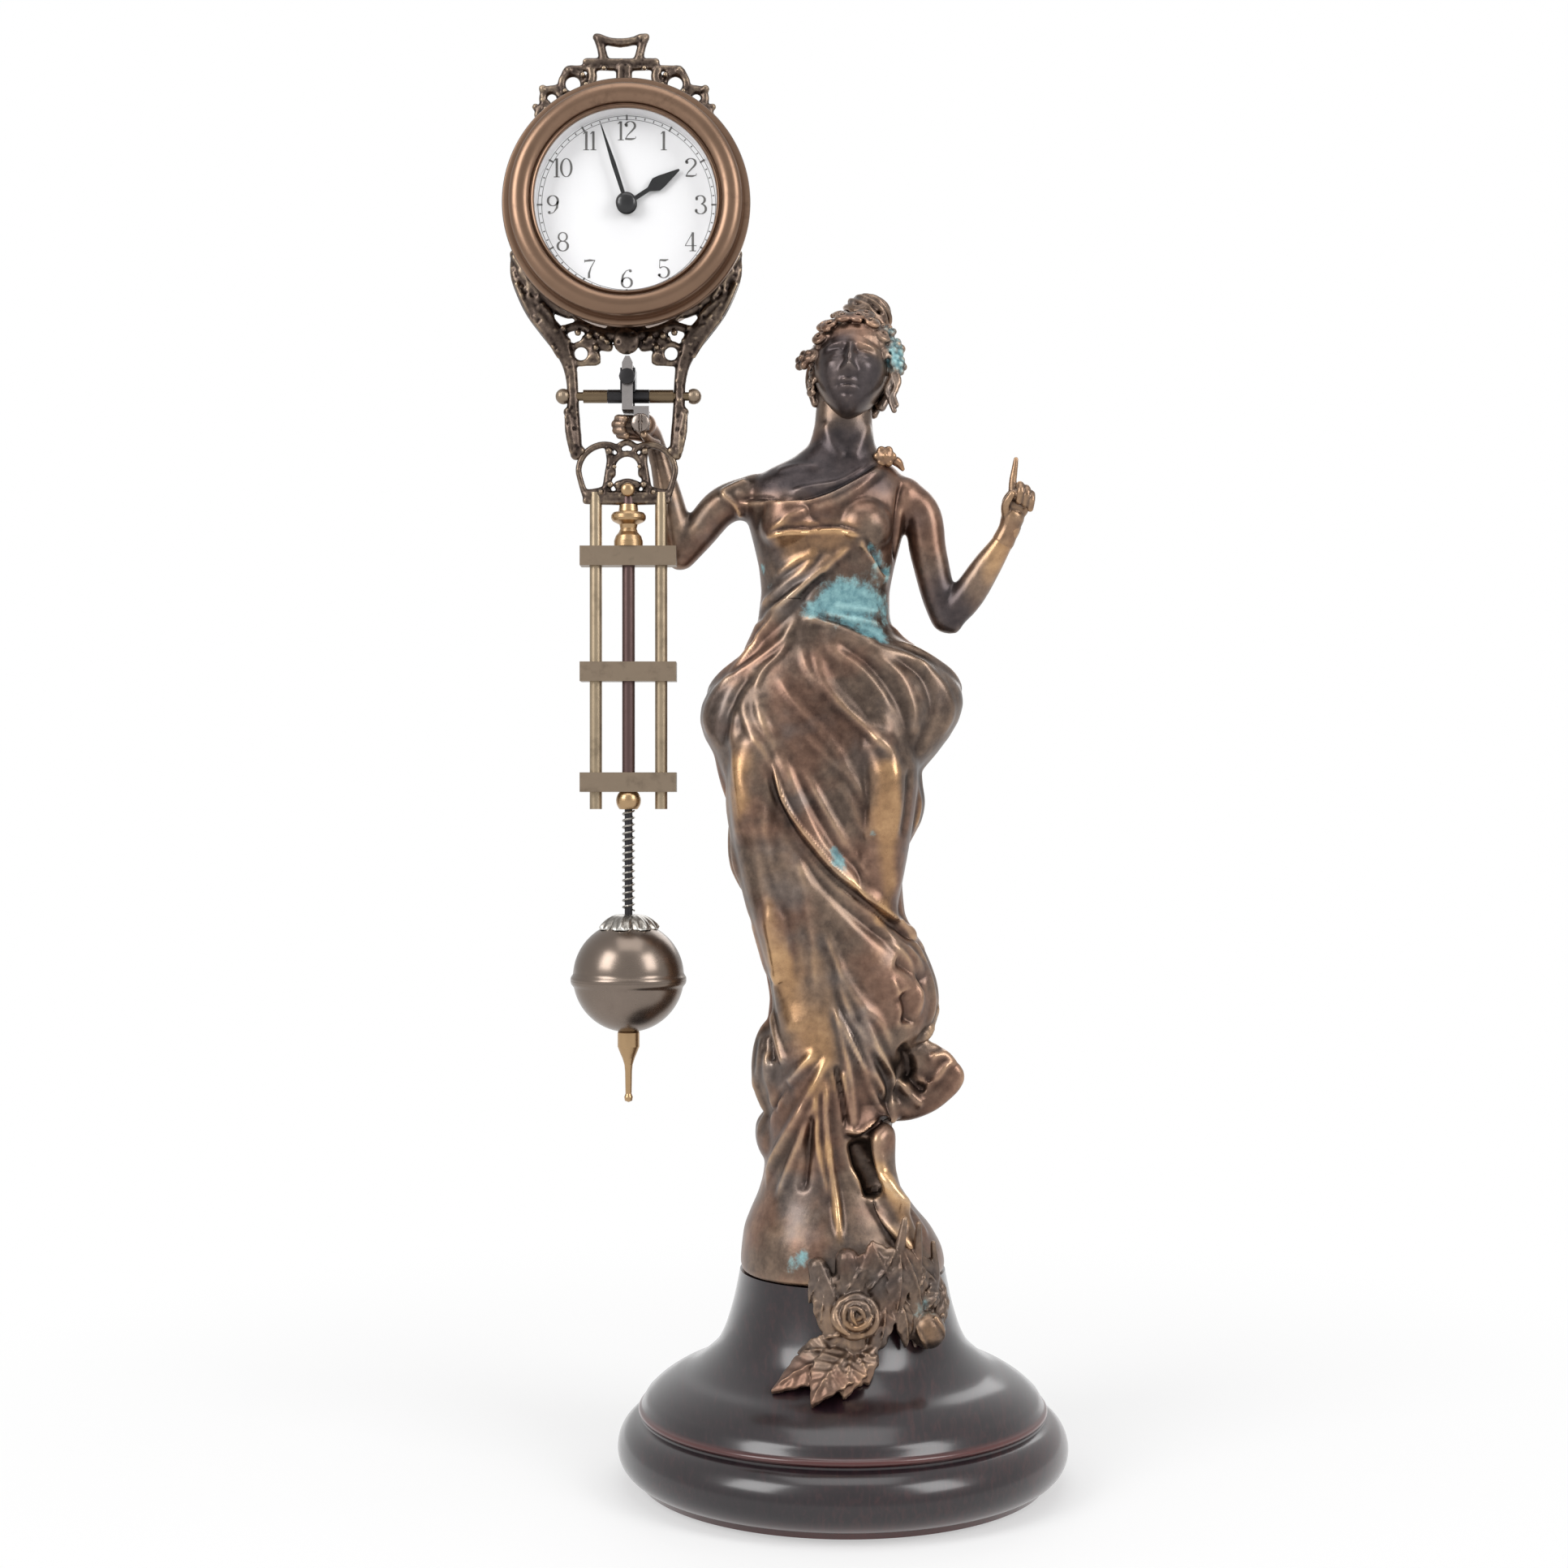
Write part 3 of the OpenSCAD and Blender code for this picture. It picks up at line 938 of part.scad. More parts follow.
// Back cover with a hole for the setting knob and one for the winding key
module back_cover() {
    color("#8a6f55") difference() {
        turned_y(px, head_z, [[0, case_y1 - 1], [ledge_r - seat, case_y1 - 1], [ledge_r - seat, case_y1],
            [case_r - 0.8, case_y1], [case_r - 1.4, case_y1 + 0.8], [0, case_y1 + 0.8]]);
        bar_y(px, head_z, knob_r + 0.6, case_y1 - 2, case_y1 + 2);
        bar_y(px + barrel_x, head_z + barrel_h, 2.4, case_y1 - 2, case_y1 + 2);
    }
}
knob_r = 3.2;
module setting_knob() {
    color("#b08d5b") difference() {
        turned_y(px, head_z, [[0, knob_y0], [knob_r, knob_y0], [knob_r, knob_y0 + 1.6], [knob_r - 0.4, knob_y0 + 2],
            [0, knob_y0 + 2]]);
        bar_y(px, head_z, arbor_r + 0.01, knob_y0 - 1, knob_y0 + 1.7, 32);
    }
}

base_wood();
base_felt();
base_bolt();
base_washer();
figure_foot();
figure_mound();
figure_dress();
figure_torso();
figure_head();
figure_arm_raised();
figure_arm_pointing();
rose_spray();
suspension_fork();
fork_screw();
gimbal_hub();
pivot_pin();
crossbar();
crossbar_nut_l();
crossbar_nut_r();
lyre_frame();
crown();
palmette();
palmette_stud();
vase_collar();
side_rod_l();
side_rod_r();
centre_rod();
cross_plate_top();
cross_plate_mid();
cross_plate_low();
ball_nut();
threaded_rod();
spring();
bob_cap();
bob_upper();
bob_lower();
bob_core();
rating_nut();
case_drum();
bezel();
sight_ring();
glass();
dial();
minute_hand();
hour_hand();
cannon_pinion();
hour_wheel();
minute_wheel();
front_plate();
back_plate();
pillars();
barrel();
winding_arbor();
centre_wheel();
third_wheel();
escape_wheel();
inner_pendulum();
back_cover();
setting_knob();
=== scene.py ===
# %% [markdown]
# # A swinging mystery clock
# This lesson dresses a finished clockwork model: a bronze lady on a turned wooden base
# holds a fork in her raised hand, and from the fork hangs a whole clock with a long rod
# and a heavy ball. All parts that must fit are already exact and are only given a finish.
# What is modelled here is what a drawing can't give: the cast figure, the ornament, the
# printed dial and the surfaces. Lengths are written in millimetres and turned to metres.

# %% Load the exact parts
import bpy
import math
import numpy as np
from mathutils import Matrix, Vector
from mathutils.bvhtree import BVHTree
from mathutils.kdtree import KDTree


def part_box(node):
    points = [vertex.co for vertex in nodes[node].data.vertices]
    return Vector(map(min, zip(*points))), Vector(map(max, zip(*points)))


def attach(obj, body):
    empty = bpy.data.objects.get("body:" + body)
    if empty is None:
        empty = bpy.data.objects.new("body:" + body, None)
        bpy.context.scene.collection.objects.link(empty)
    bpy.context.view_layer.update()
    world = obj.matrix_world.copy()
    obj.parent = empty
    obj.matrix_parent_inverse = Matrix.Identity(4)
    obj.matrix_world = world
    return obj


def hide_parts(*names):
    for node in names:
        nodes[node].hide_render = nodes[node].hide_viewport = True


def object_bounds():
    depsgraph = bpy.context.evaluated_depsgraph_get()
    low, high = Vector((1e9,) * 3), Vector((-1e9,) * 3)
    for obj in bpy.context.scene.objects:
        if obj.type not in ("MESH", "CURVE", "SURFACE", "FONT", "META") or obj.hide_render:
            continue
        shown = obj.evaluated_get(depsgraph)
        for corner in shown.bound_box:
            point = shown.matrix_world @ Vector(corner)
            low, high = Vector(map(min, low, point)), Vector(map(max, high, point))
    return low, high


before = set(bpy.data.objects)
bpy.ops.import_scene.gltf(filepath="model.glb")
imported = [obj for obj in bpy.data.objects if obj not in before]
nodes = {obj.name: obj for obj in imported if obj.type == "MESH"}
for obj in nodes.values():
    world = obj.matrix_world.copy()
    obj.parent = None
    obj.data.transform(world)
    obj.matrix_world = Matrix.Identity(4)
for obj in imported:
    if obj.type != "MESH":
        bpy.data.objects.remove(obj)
cad_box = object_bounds()
MM = 0.001
print("exact parts:", len(nodes), "box:", [[round(v, 4) for v in c] for c in cad_box])

# %% [markdown]
# The pendulum hangs beside the figure. Its axis, the pivot and the dial's centre are read
# from the exact parts, so that everything new lands on them.

# %% Places that are used again
def middle(node):
    low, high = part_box(node)
    return (low + high)/2/MM

AX, AY = middle("centre_rod").x, middle("centre_rod").y
HEAD_Z = middle("bezel").z
DIAL_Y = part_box("dial")[0].y/MM
BALL_Z = (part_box("bob_core")[0].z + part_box("bob_core")[1].z)/2/MM
BASE_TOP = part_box("base_wood")[1].z/MM
print("axis", round(AX, 2), round(AY, 2), "dial centre", round(HEAD_Z, 2), "ball", round(BALL_Z, 2))

# %% [markdown]
# A studio for a dark, glossy object: a white floor, two tall soft lamps in front that draw
# long highlights on the ball and the base, a wide one above, and a weak one behind for the
# edges. The camera looks straight ahead and its picture is shifted, so upright lines stay
# upright.

# %% Camera
# the eye in millimetres; the picture's width, focal length and middle in its own points
EYE = np.array([-14.4, -540.0, 163.8])
PICTURE, FOCAL, MID_X, MID_Y = 1932, 2700, 966, 1000
cam_data = bpy.data.cameras.new("camera")
cam_data.sensor_width = 36
cam_data.lens = 36*FOCAL/PICTURE
cam_data.shift_y = (MID_Y - MID_X)/PICTURE
cam_data.clip_start = 0.01
cam = bpy.data.objects.new("camera", cam_data)
bpy.context.scene.collection.objects.link(cam)
cam.location = Vector(EYE*MM)
cam.rotation_euler = (math.radians(90), 0, 0)
bpy.context.scene.camera = cam
print("camera", tuple(round(v, 3) for v in cam.location), "lens", round(cam_data.lens, 1))

# %% Lamps
def lamp(name, place, size, size_y, power, aim=(-10, 0, 170)):
    data = bpy.data.lights.new(name, "AREA")
    data.shape, data.size, data.size_y, data.energy = "RECTANGLE", size*MM, size_y*MM, power
    obj = bpy.data.objects.new(name, data)
    bpy.context.scene.collection.objects.link(obj)
    obj.location = Vector(place)*MM
    obj.rotation_euler = (Vector(aim) - Vector(place)).to_track_quat("-Z", "Y").to_euler()
    return obj

lamp("lamp_left", (-500, -420, 520), 320, 420, 2.5)
lamp("lamp_right", (500, -400, 520), 300, 420, 2.1)
lamp("lamp_top", (0, -160, 800), 520, 420, 1.1)
lamp("lamp_back", (60, 520, 420), 520, 320, 0.9)

# %% [markdown]
# Shader nodes are written as sums. A `Sock` wraps one output of a node, so that
# `0.3 + noise*0.2` adds the Math nodes by itself; a `Paint` is one material. Any other
# node comes from `node()`, with its settings first and its sockets by name or number.

# %% Sockets that add up
class Sock:
    def __init__(self, paint, socket):
        self.paint, self.socket = paint, socket

    def math(self, op, *others, first=False):
        args = list(others) + [self] if first else [self] + list(others)
        return self.paint.node("Math", {"operation": op}, dict(enumerate(args)))

    def __add__(self, v): return self.math("ADD", v)
    def __radd__(self, v): return self.math("ADD", v, first=True)
    def __sub__(self, v): return self.math("SUBTRACT", v)
    def __rsub__(self, v): return self.math("SUBTRACT", v, first=True)
    def __mul__(self, v): return self.math("MULTIPLY", v)
    def __rmul__(self, v): return self.math("MULTIPLY", v, first=True)
    def __truediv__(self, v): return self.math("DIVIDE", v)
    def __rtruediv__(self, v): return self.math("DIVIDE", v, first=True)
    def __pow__(self, v): return self.math("POWER", v)
    def __rpow__(self, v): return self.math("POWER", v, first=True)
    def __neg__(self): return self.math("MULTIPLY", -1.0)

    def step(self, low, high):
        return self.paint.node("MapRange", {"interpolation_type": "SMOOTHSTEP"}, {0: self, 1: low, 2: high})


class Paint:
    def __init__(self, name):
        self.mat = bpy.data.materials.new(name)
        self.mat.use_nodes = True
        self.tree = self.mat.node_tree
        self.tree.nodes.clear()
        self.end = self.tree.nodes.new("ShaderNodeOutputMaterial")

    def put(self, socket, value):
        if isinstance(value, Sock):
            self.tree.links.new(value.socket, socket)
        elif socket.type == "RGBA":
            socket.default_value = (*value[:3], 1.0)
        else:
            socket.default_value = value

    def node(self, kind, settings=None, inputs=None, out=0):
        n = self.tree.nodes.new("ShaderNode" + kind)
        for key, value in (settings or {}).items():
            if key == "stops":
                ramp = n.color_ramp
                while len(ramp.elements) < len(value):
                    ramp.elements.new(0.5)
                for e, (pos, col) in zip(ramp.elements, value):
                    e.position, e.color = pos, (*col, 1.0)
            else:
                setattr(n, key, value)
        for key, value in (inputs or {}).items():
            self.put(n.inputs[key], value)
        return Sock(self, n.outputs[out])

    def place(self, scale=(1, 1, 1), turn=(0, 0, 0), shift=(0, 0, 0)):
        obj = self.node("TexCoord", out="Object")
        return self.node("Mapping", None, {"Vector": obj, "Scale": scale, "Rotation": turn,
            "Location": shift})

    def noise(self, scale, detail=3.0, rough=0.55, at=None):
        at = at or self.place()
        return self.node("TexNoise", None, {"Vector": at, "Scale": scale, "Detail": detail,
            "Roughness": rough})

    def mix(self, amount, a, b, way="MIX"):
        return self.node("Mix", {"data_type": "RGBA", "blend_type": way}, {0: amount, 6: a, 7: b}, out=2)

    def ramp(self, value, stops):
        return self.node("ValToRGB", {"stops": stops}, {0: value})

    def bump(self, height, distance, strength=1.0, under=None):
        ins = {"Height": height, "Distance": distance*MM, "Strength": strength}
        if under:
            ins["Normal"] = under
        return self.node("Bump", None, ins)

    def finish(self, **sockets):
        shader = self.node("BsdfPrincipled", None, {k.replace("_", " "): v for k, v in sockets.items()},
            out="BSDF")
        self.tree.links.new(shader.socket, self.end.inputs["Surface"])
        return self.mat

# %% [markdown]
# The figure is cast bronze. Its colour lives on the relief: the raised folds are rubbed
# to gold brown, the valleys keep a nearly black brown, and verdigris sits where the mould
# maker brushed it on. A few golden streaks on the thighs and along a rolled edge are
# painted highlights. The relief, the brushed places and these golden places are stored
# on the mesh as attributes, so the finish follows the cloth and not the camera.

# %% Cast bronze
def bronze(name, shine=0.0):
    p = Paint(name)
    relief = p.node("Attribute", {"attribute_name": "relief"}, out="Fac")
    verdigris = p.node("Attribute", {"attribute_name": "verdigris"}, out="Fac")
    warm = p.node("Attribute", {"attribute_name": "warm"}, out="Fac")
    broad, fine, grit = p.noise(45, 4, 0.6), p.noise(430, 4, 0.65), p.noise(1700, 2, 0.5)
    tone = relief*0.54 + 0.14 + (broad - 0.5)*0.75 + (fine - 0.5)*0.45
    colour = p.ramp(tone, [(0.05, (0.035, 0.024, 0.02)), (0.3, (0.115, 0.082, 0.064)),
        (0.52, (0.25, 0.175, 0.128)),
                           (0.75, (0.43, 0.3, 0.205)), (0.95, (0.66, 0.49, 0.34))])
    # clouds of copper red and of dull grey brown, about two centimetres across
    red = p.noise(48, 3, 0.55, p.place(shift=(0.31, 0.12, 0.73))).step(0.44, 0.62)
    dull = p.noise(56, 3, 0.55, p.place(shift=(0.92, 0.41, 0.24))).step(0.5, 0.66)
    copper = p.ramp(tone, [(0.05, (0.06, 0.03, 0.022)), (0.45, (0.24, 0.125, 0.085)),
        (0.8, (0.52, 0.31, 0.21))])
    grey = p.ramp(tone, [(0.05, (0.04, 0.034, 0.033)), (0.45, (0.15, 0.128, 0.12)),
        (0.8, (0.4, 0.35, 0.32))])
    colour = p.mix(dull*0.6, p.mix(red*0.6, colour, copper), grey)
    # gold mask: rubbed high places, plus painted highlights down the thighs and along a rolled edge, carried
    # by the warm attribute
    rubbed_and_highlit = (warm + (broad - 0.5)*1.3 + (relief - 0.45)*0.8).step(0.2, 1.2)
    golden = p.ramp(tone, [(0.1, (0.13, 0.08, 0.05)), (0.42, (0.4, 0.23, 0.115)), (0.7, (0.65, 0.4, 0.2)),
        (0.95, (0.88, 0.68, 0.44))])
    colour = p.mix(rubbed_and_highlit*0.85, colour, golden)
    dark = ((broad - 0.5)*0.5 - warm).step(0.15, 0.75)
    skin = p.ramp(tone, [(0.1, (0.02, 0.018, 0.021)), (0.5, (0.065, 0.055, 0.06)),
        (0.8, (0.15, 0.125, 0.12)), (1.0, (0.4, 0.33, 0.28))])
    colour = p.mix(dark*0.85, colour, skin)
    blotch = p.noise(170, 5, 0.7)
    edge = (verdigris + (fine - 0.5)*1.3 + (blotch - 0.5)*2.2).step(0.25, 1.0)*verdigris.step(0.06, 0.3)
    green = p.ramp(fine*0.8 + relief*0.45, [(0.3, (0.05, 0.13, 0.15)), (0.5, (0.11, 0.29, 0.33)),
        (0.85, (0.36, 0.66, 0.68))])
    colour = p.mix(edge*0.78, colour, green)
    height = fine*0.6 + grit*0.25
    return p.finish(Base_Color=colour, Metallic=0.85 - edge*0.7, Normal=p.bump(height, 0.1, 0.55),
                    Roughness=0.34 - shine + (fine - 0.5)*0.2 + edge*0.3 - rubbed_and_highlit*0.05)

FIGURE = bronze("bronze_casting")
LEAF = bronze("bronze_leaf", -0.04)
print("bronze finishes", FIGURE.name, LEAF.name)

# %% [markdown]
# The base is turned mahogany under a thick gloss lacquer, so dark that the grain only
# shows in the light. The grain runs across the block, and a coat lies on top.

# %% Lacquered wood
def mahogany():
    p = Paint("mahogany")
    at = p.place(scale=(1, 0.12, 0.6))
    warp = p.noise(30, 3, 0.5, at)
    grain = p.node("TexNoise", None, {"Vector": p.place(scale=(3.2, 0.16, 1.6)), "Scale": 240.0,
        "Detail": 5.0, "Distortion": 0.6})
    pores = p.noise(1400, 2, 0.6, p.place(scale=(1.8, 0.1, 1)))
    colour = p.ramp(grain*0.6 + warp*0.5, [(0.3, (0.004, 0.0018, 0.0034)), (0.55, (0.011, 0.004, 0.0066)),
        (0.8, (0.042, 0.011, 0.012))])
    colour = p.mix(pores.step(0.6, 0.75)*0.5, colour, (0.004, 0.002, 0.003))
    # the lacquer is worn to red on the lip over the groove and round the foot
    z = p.node("SeparateXYZ", None, {"Vector": p.place()}, out=2)*1000.0
    lip = (1 - ((z - 17.9)*0.7).math("ABSOLUTE")).step(0.0, 1.0)*0.8 + (1 - z*0.12).step(0.2, 0.9)*0.6
    colour = p.mix(lip*(0.4 + warp), colour, (0.11, 0.02, 0.016))
    return p.finish(Base_Color=colour, Roughness=0.34 + (grain - 0.5)*0.1, Coat_Weight=1.0,
        Coat_Roughness=0.18, Specular_IOR_Level=0.28,
                    Normal=p.bump(grain*0.4 + pores*0.3, 0.05, 0.35))

# %% Plain and brushed metals
def metal(name, colour, rough, dirt=0.3, brush=None, grime=(0.02, 0.014, 0.01), scale=300, bump=0.04):
    p = Paint(name)
    cloud = p.noise(scale*0.2, 4, 0.6)
    spots = p.noise(scale, 4, 0.6)
    lines = p.noise(1800, 3, 0.6, p.place(scale=brush)) if brush else spots
    tint = p.mix(cloud*0.5, [c*0.82 for c in colour], [min(1, c*1.18) for c in colour])
    tint = p.mix((spots*0.6 + cloud*0.5).step(0.52, 0.8)*dirt, tint, grime)
    return p.finish(Base_Color=tint, Metallic=1.0, Roughness=rough + (spots - 0.5)*0.16 + (lines - 0.5)*0.14,
                    Normal=p.bump(lines*0.7 + spots*0.3, bump, 0.5))

def turned_metal(name, colour, rough, centre, axis, dirt=0.25, grime=(0.03, 0.018, 0.012), pitch=9000,
        grain=1.0):
    p = Paint(name)
    at = p.place(shift=tuple(-c*MM for c in centre))
    sep = [p.node("SeparateXYZ", None, {"Vector": at}, out=i) for i in range(3)]
    a, b = [sep[i] for i in range(3) if i != axis]
    radius = (a*a + b*b).math("SQRT")
    ring = p.node("CombineXYZ", None, {0: radius, 1: sep[axis]})
    lines = p.node("TexNoise", None, {"Vector": ring, "Scale": float(pitch)/4, "Detail": 3.0})
    cloud, spots = p.noise(70, 4, 0.6), p.noise(500, 4, 0.6)
    tint = p.mix(cloud, [c*0.75 for c in colour], [min(1, c*1.2) for c in colour])
    tint = p.mix((spots*0.5 + cloud*0.55).step(0.55, 0.8)*dirt, tint, grime)
    return p.finish(Base_Color=tint, Metallic=1.0, Roughness=rough + (lines - 0.5)*0.16*grain
                    + (spots - 0.5)*0.12*grain + (cloud - 0.5)*0.1,
                    Normal=p.bump(lines, 0.02*grain, 0.5))

WOOD = mahogany()
BAR = metal("bar_brass", (0.2, 0.145, 0.09), 0.34, dirt=0.45, brush=(0.05, 4, 4))
BEZEL = turned_metal("antique_copper", (0.235, 0.148, 0.1), 0.33, (AX, AY, HEAD_Z), 1, dirt=0.5,
    grime=(0.07, 0.042, 0.03))

def chased(name, low, middle, high, rough, dirty=0.6):
    # a casting whose hollows stay dark and whose raised places are rubbed bright
    p = Paint(name)
    relief = p.node("Attribute", {"attribute_name": "relief"}, out="Fac")
    fine, broad = p.noise(900, 4, 0.65), p.noise(120, 3, 0.6)
    tone = relief*0.8 + (fine - 0.5)*0.5 + (broad - 0.5)*dirty
    colour = p.ramp(tone, [(0.12, low), (0.42, middle), (0.85, high)])
    return p.finish(Base_Color=colour, Metallic=0.95, Roughness=rough + (fine - 0.5)*0.25,
        Normal=p.bump(fine, 0.08, 0.5))

ORNAMENT = chased("chased_bronze", (0.022, 0.015, 0.013), (0.115, 0.085, 0.068), (0.42, 0.32, 0.22), 0.34)
CHASED_SILVER = chased("chased_silver", (0.045, 0.038, 0.033), (0.27, 0.25, 0.225), (0.66, 0.64, 0.6), 0.28,
    0.4)
CAST = metal("antique_casting", (0.19, 0.135, 0.11), 0.36, dirt=0.45, scale=420, bump=0.1)
RODS = metal("rod_brass", (0.42, 0.33, 0.225), 0.36, dirt=0.45, brush=(4, 4, 0.05))
PLATES = metal("plate_brass", (0.31, 0.24, 0.175), 0.4, dirt=0.5, brush=(0.05, 4, 4))
PLUM = metal("plum_rod", (0.14, 0.09, 0.085), 0.34, dirt=0.2, brush=(4, 4, 0.05))
WARM = turned_metal("warm_brass", (0.45, 0.3, 0.165), 0.3, (AX, AY, 0), 2)
BALL = turned_metal("pewter_brown", (0.22, 0.175, 0.145), 0.27, (AX, AY, 0), 2, dirt=0.12, grain=0.25)
SPRING = metal("spring_steel", (0.34, 0.32, 0.29), 0.3, dirt=0.4, grime=(0.05, 0.045, 0.04), scale=700)
SILVER = metal("old_silver", (0.62, 0.6, 0.57), 0.3, dirt=0.55, grime=(0.06, 0.05, 0.045), scale=700)
STEEL = metal("fork_steel", (0.42, 0.39, 0.38), 0.28, dirt=0.25, scale=600)
SCREW = metal("screw_steel", (0.3, 0.25, 0.22), 0.26, scale=600)
BLACK_STEEL = metal("blackened_steel", (0.05, 0.048, 0.05), 0.4, dirt=0.2)
BRASS = metal("movement_brass", (0.72, 0.52, 0.24), 0.28, dirt=0.12, grime=(0.3, 0.2, 0.1), scale=500)
print("metals ready")

# %% [markdown]
# The last finishes are plain ones: white card-like enamel for the dial, black lacquer for
# the hands, grey ink for the print, thin clear glass, and felt under the base.

# %% Dial, print, glass and felt
def flat_finish(name, colour, rough, vary=0.04, scale=900, bump=0.02, coat=0.0):
    p = Paint(name)
    n = p.noise(scale, 3, 0.6)
    tint = p.mix(n, [c*(1 - vary) for c in colour], [min(1, c*(1 + vary)) for c in colour])
    return p.finish(Base_Color=tint, Roughness=rough + (n - 0.5)*0.1, Coat_Weight=coat, Coat_Roughness=0.1,
                    Normal=p.bump(n, bump, 0.4))

def clear_glass():
    p = Paint("clear_glass")
    n = p.noise(60, 2, 0.5)
    glass = p.node("BsdfPrincipled", None, {"Base Color": (0.02, 0.02, 0.02), "Roughness": 0.02 + n*0.03,
        "IOR": 1.45,
                                            "Metallic": 0.0, "Alpha": 0.045, "Specular IOR Level": 0.5},
                                            out="BSDF")
    p.tree.links.new(glass.socket, p.end.inputs["Surface"])
    return p.mat

def felt():
    p = Paint("felt")
    fuzz = p.noise(2500, 4, 0.7)
    tint = p.mix(fuzz, (0.008, 0.014, 0.012), (0.03, 0.045, 0.04))
    return p.finish(Base_Color=tint, Roughness=0.95, Sheen_Weight=0.3, Normal=p.bump(fuzz, 0.2, 0.8))

ENAMEL = flat_finish("dial_enamel", (0.97, 0.97, 0.98), 0.4, 0.01)
WALL = flat_finish("silvered_wall", (0.82, 0.81, 0.82), 0.35, 0.03)
GREY_INK = flat_finish("dial_grey_ink", (0.16, 0.155, 0.15), 0.5, 0.2)
HANDS = flat_finish("black_lacquer", (0.008, 0.008, 0.009), 0.3, 0.3, coat=0.4)
GLASS, FELT = clear_glass(), felt()
print("finishes", len(bpy.data.materials))

# %% [markdown]
# The floor is a wide plane that turns up behind the object. It is nearly white, and what
# the camera, mirrors and glass see of it is partly its own glow, so it reads as white
# paper while the shadow under the base stays.

# %% Floor
def paper():
    p = Paint("paper_floor")
    ray = p.node("LightPath", out="Is Camera Ray")
    glossy = p.node("LightPath", out="Is Glossy Ray")
    through = p.node("LightPath", out="Is Transmission Ray")
    seen = (ray + glossy + through).math("MINIMUM", 1.0)
    soft = p.noise(8, 2, 0.5)
    paperwhite = p.mix(soft, (0.86, 0.86, 0.86), (0.88, 0.88, 0.88))
    dull = p.node("BsdfDiffuse", None, {"Color": paperwhite}, out="BSDF")
    glow = p.node("Emission", None, {"Color": (1, 1, 1), "Strength": 1.0}, out="Emission")
    x, y = [p.node("SeparateXYZ", None, {"Vector": p.place()}, out=k) for k in (0, 1)]
    far = (x*x + y*y).math("SQRT").step(0.06, 0.32)
    both = p.node("MixShader", None, {0: seen*(0.5 + far*0.5), 1: dull, 2: glow}, out=0)
    p.tree.links.new(both.socket, p.end.inputs["Surface"])
    return p.mat

bpy.ops.object.select_all(action="DESELECT")
bpy.ops.mesh.primitive_plane_add(size=60.0, location=(0, 0, 0))
floor = bpy.context.object
floor.name = "floor"
floor.data.materials.append(paper())

world = bpy.data.worlds.new("world")
bpy.context.scene.world = world
world.use_nodes = True
wt = world.node_tree
sky = wt.nodes["Background"]
sky.inputs["Color"].default_value = (1, 1, 1, 1)
path = wt.nodes.new("ShaderNodeLightPath")
level = 0.5
for ray, extra in (("Is Camera Ray", 0.5), ("Is Transmission Ray", 0.5), ("Is Glossy Ray", 0.2)):
    add = wt.nodes.new("ShaderNodeMath")
    add.operation = "MULTIPLY_ADD"
    wt.links.new(path.outputs[ray], add.inputs[0])
    add.inputs[1].default_value = extra
    if isinstance(level, float):
        add.inputs[2].default_value = level
    else:
        wt.links.new(level, add.inputs[2])
    level = add.outputs[0]
wt.links.new(level, sky.inputs["Strength"])
bpy.context.scene.view_settings.view_transform = "Standard"
print("studio ready")

# %% [markdown]
# The cast figure is built up as a modeller builds a clay sketch: simple closed forms for
# the body, the limbs and the billows of cloth are pushed into each other, a voxel remesh
# makes one skin of them, and the folds are then pressed into that skin. This keeps every
# joint between the forms soft, as in a casting, which single swept shapes can't do.

# %% Mesh helpers, all in millimetres until a piece is finished
def make(name, verts, faces):
    mesh = bpy.data.meshes.new(name)
    mesh.from_pydata([tuple(map(float, v)) for v in verts], [], [tuple(map(int, f)) for f in faces])
    obj = bpy.data.objects.new(name, mesh)
    bpy.context.scene.collection.objects.link(obj)
    return obj

def only(obj):
    bpy.ops.object.select_all(action="DESELECT")
    obj.select_set(True)
    bpy.context.view_layer.objects.active = obj

def outward(obj):
    # every face is turned to the outside
    only(obj)
    bpy.ops.object.mode_set(mode="EDIT")
    bpy.ops.mesh.select_all(action="SELECT")
    bpy.ops.mesh.normals_make_consistent(inside=False)
    bpy.ops.object.mode_set(mode="OBJECT")

def skin(name, rings):
    rows, n = len(rings), len(rings[0])
    verts = [p for ring in rings for p in ring]
    faces = [(i*n + j, i*n + (j + 1) % n, (i + 1)*n + (j + 1) % n, (i + 1)*n + j)
             for i in range(rows - 1) for j in range(n)]
    faces += [tuple(range(n))[::-1], tuple((rows - 1)*n + j for j in range(n))]
    return make(name, verts, faces)

def smooth_path(points, count):
    p = np.array(points, float)
    seg = np.r_[0, np.cumsum(np.linalg.norm(np.diff(p[:, :3], axis=0), axis=1))]
    t = np.linspace(0, seg[-1], count)
    m = np.gradient(p, seg, axis=0) if len(p) > 2 else np.tile((p[1] - p[0])/seg[-1], (2, 1))
    k = np.clip(np.searchsorted(seg, t, side="right") - 1, 0, len(p) - 2)
    h = (seg[k + 1] - seg[k])[:, None]
    u = (t[:, None] - seg[k][:, None])/h
    return ((2*u**3 - 3*u**2 + 1)*p[k] + (u**3 - 2*u**2 + u)*h*m[k]
            + (3*u**2 - 2*u**3)*p[k + 1] + (u**3 - u**2)*h*m[k + 1])

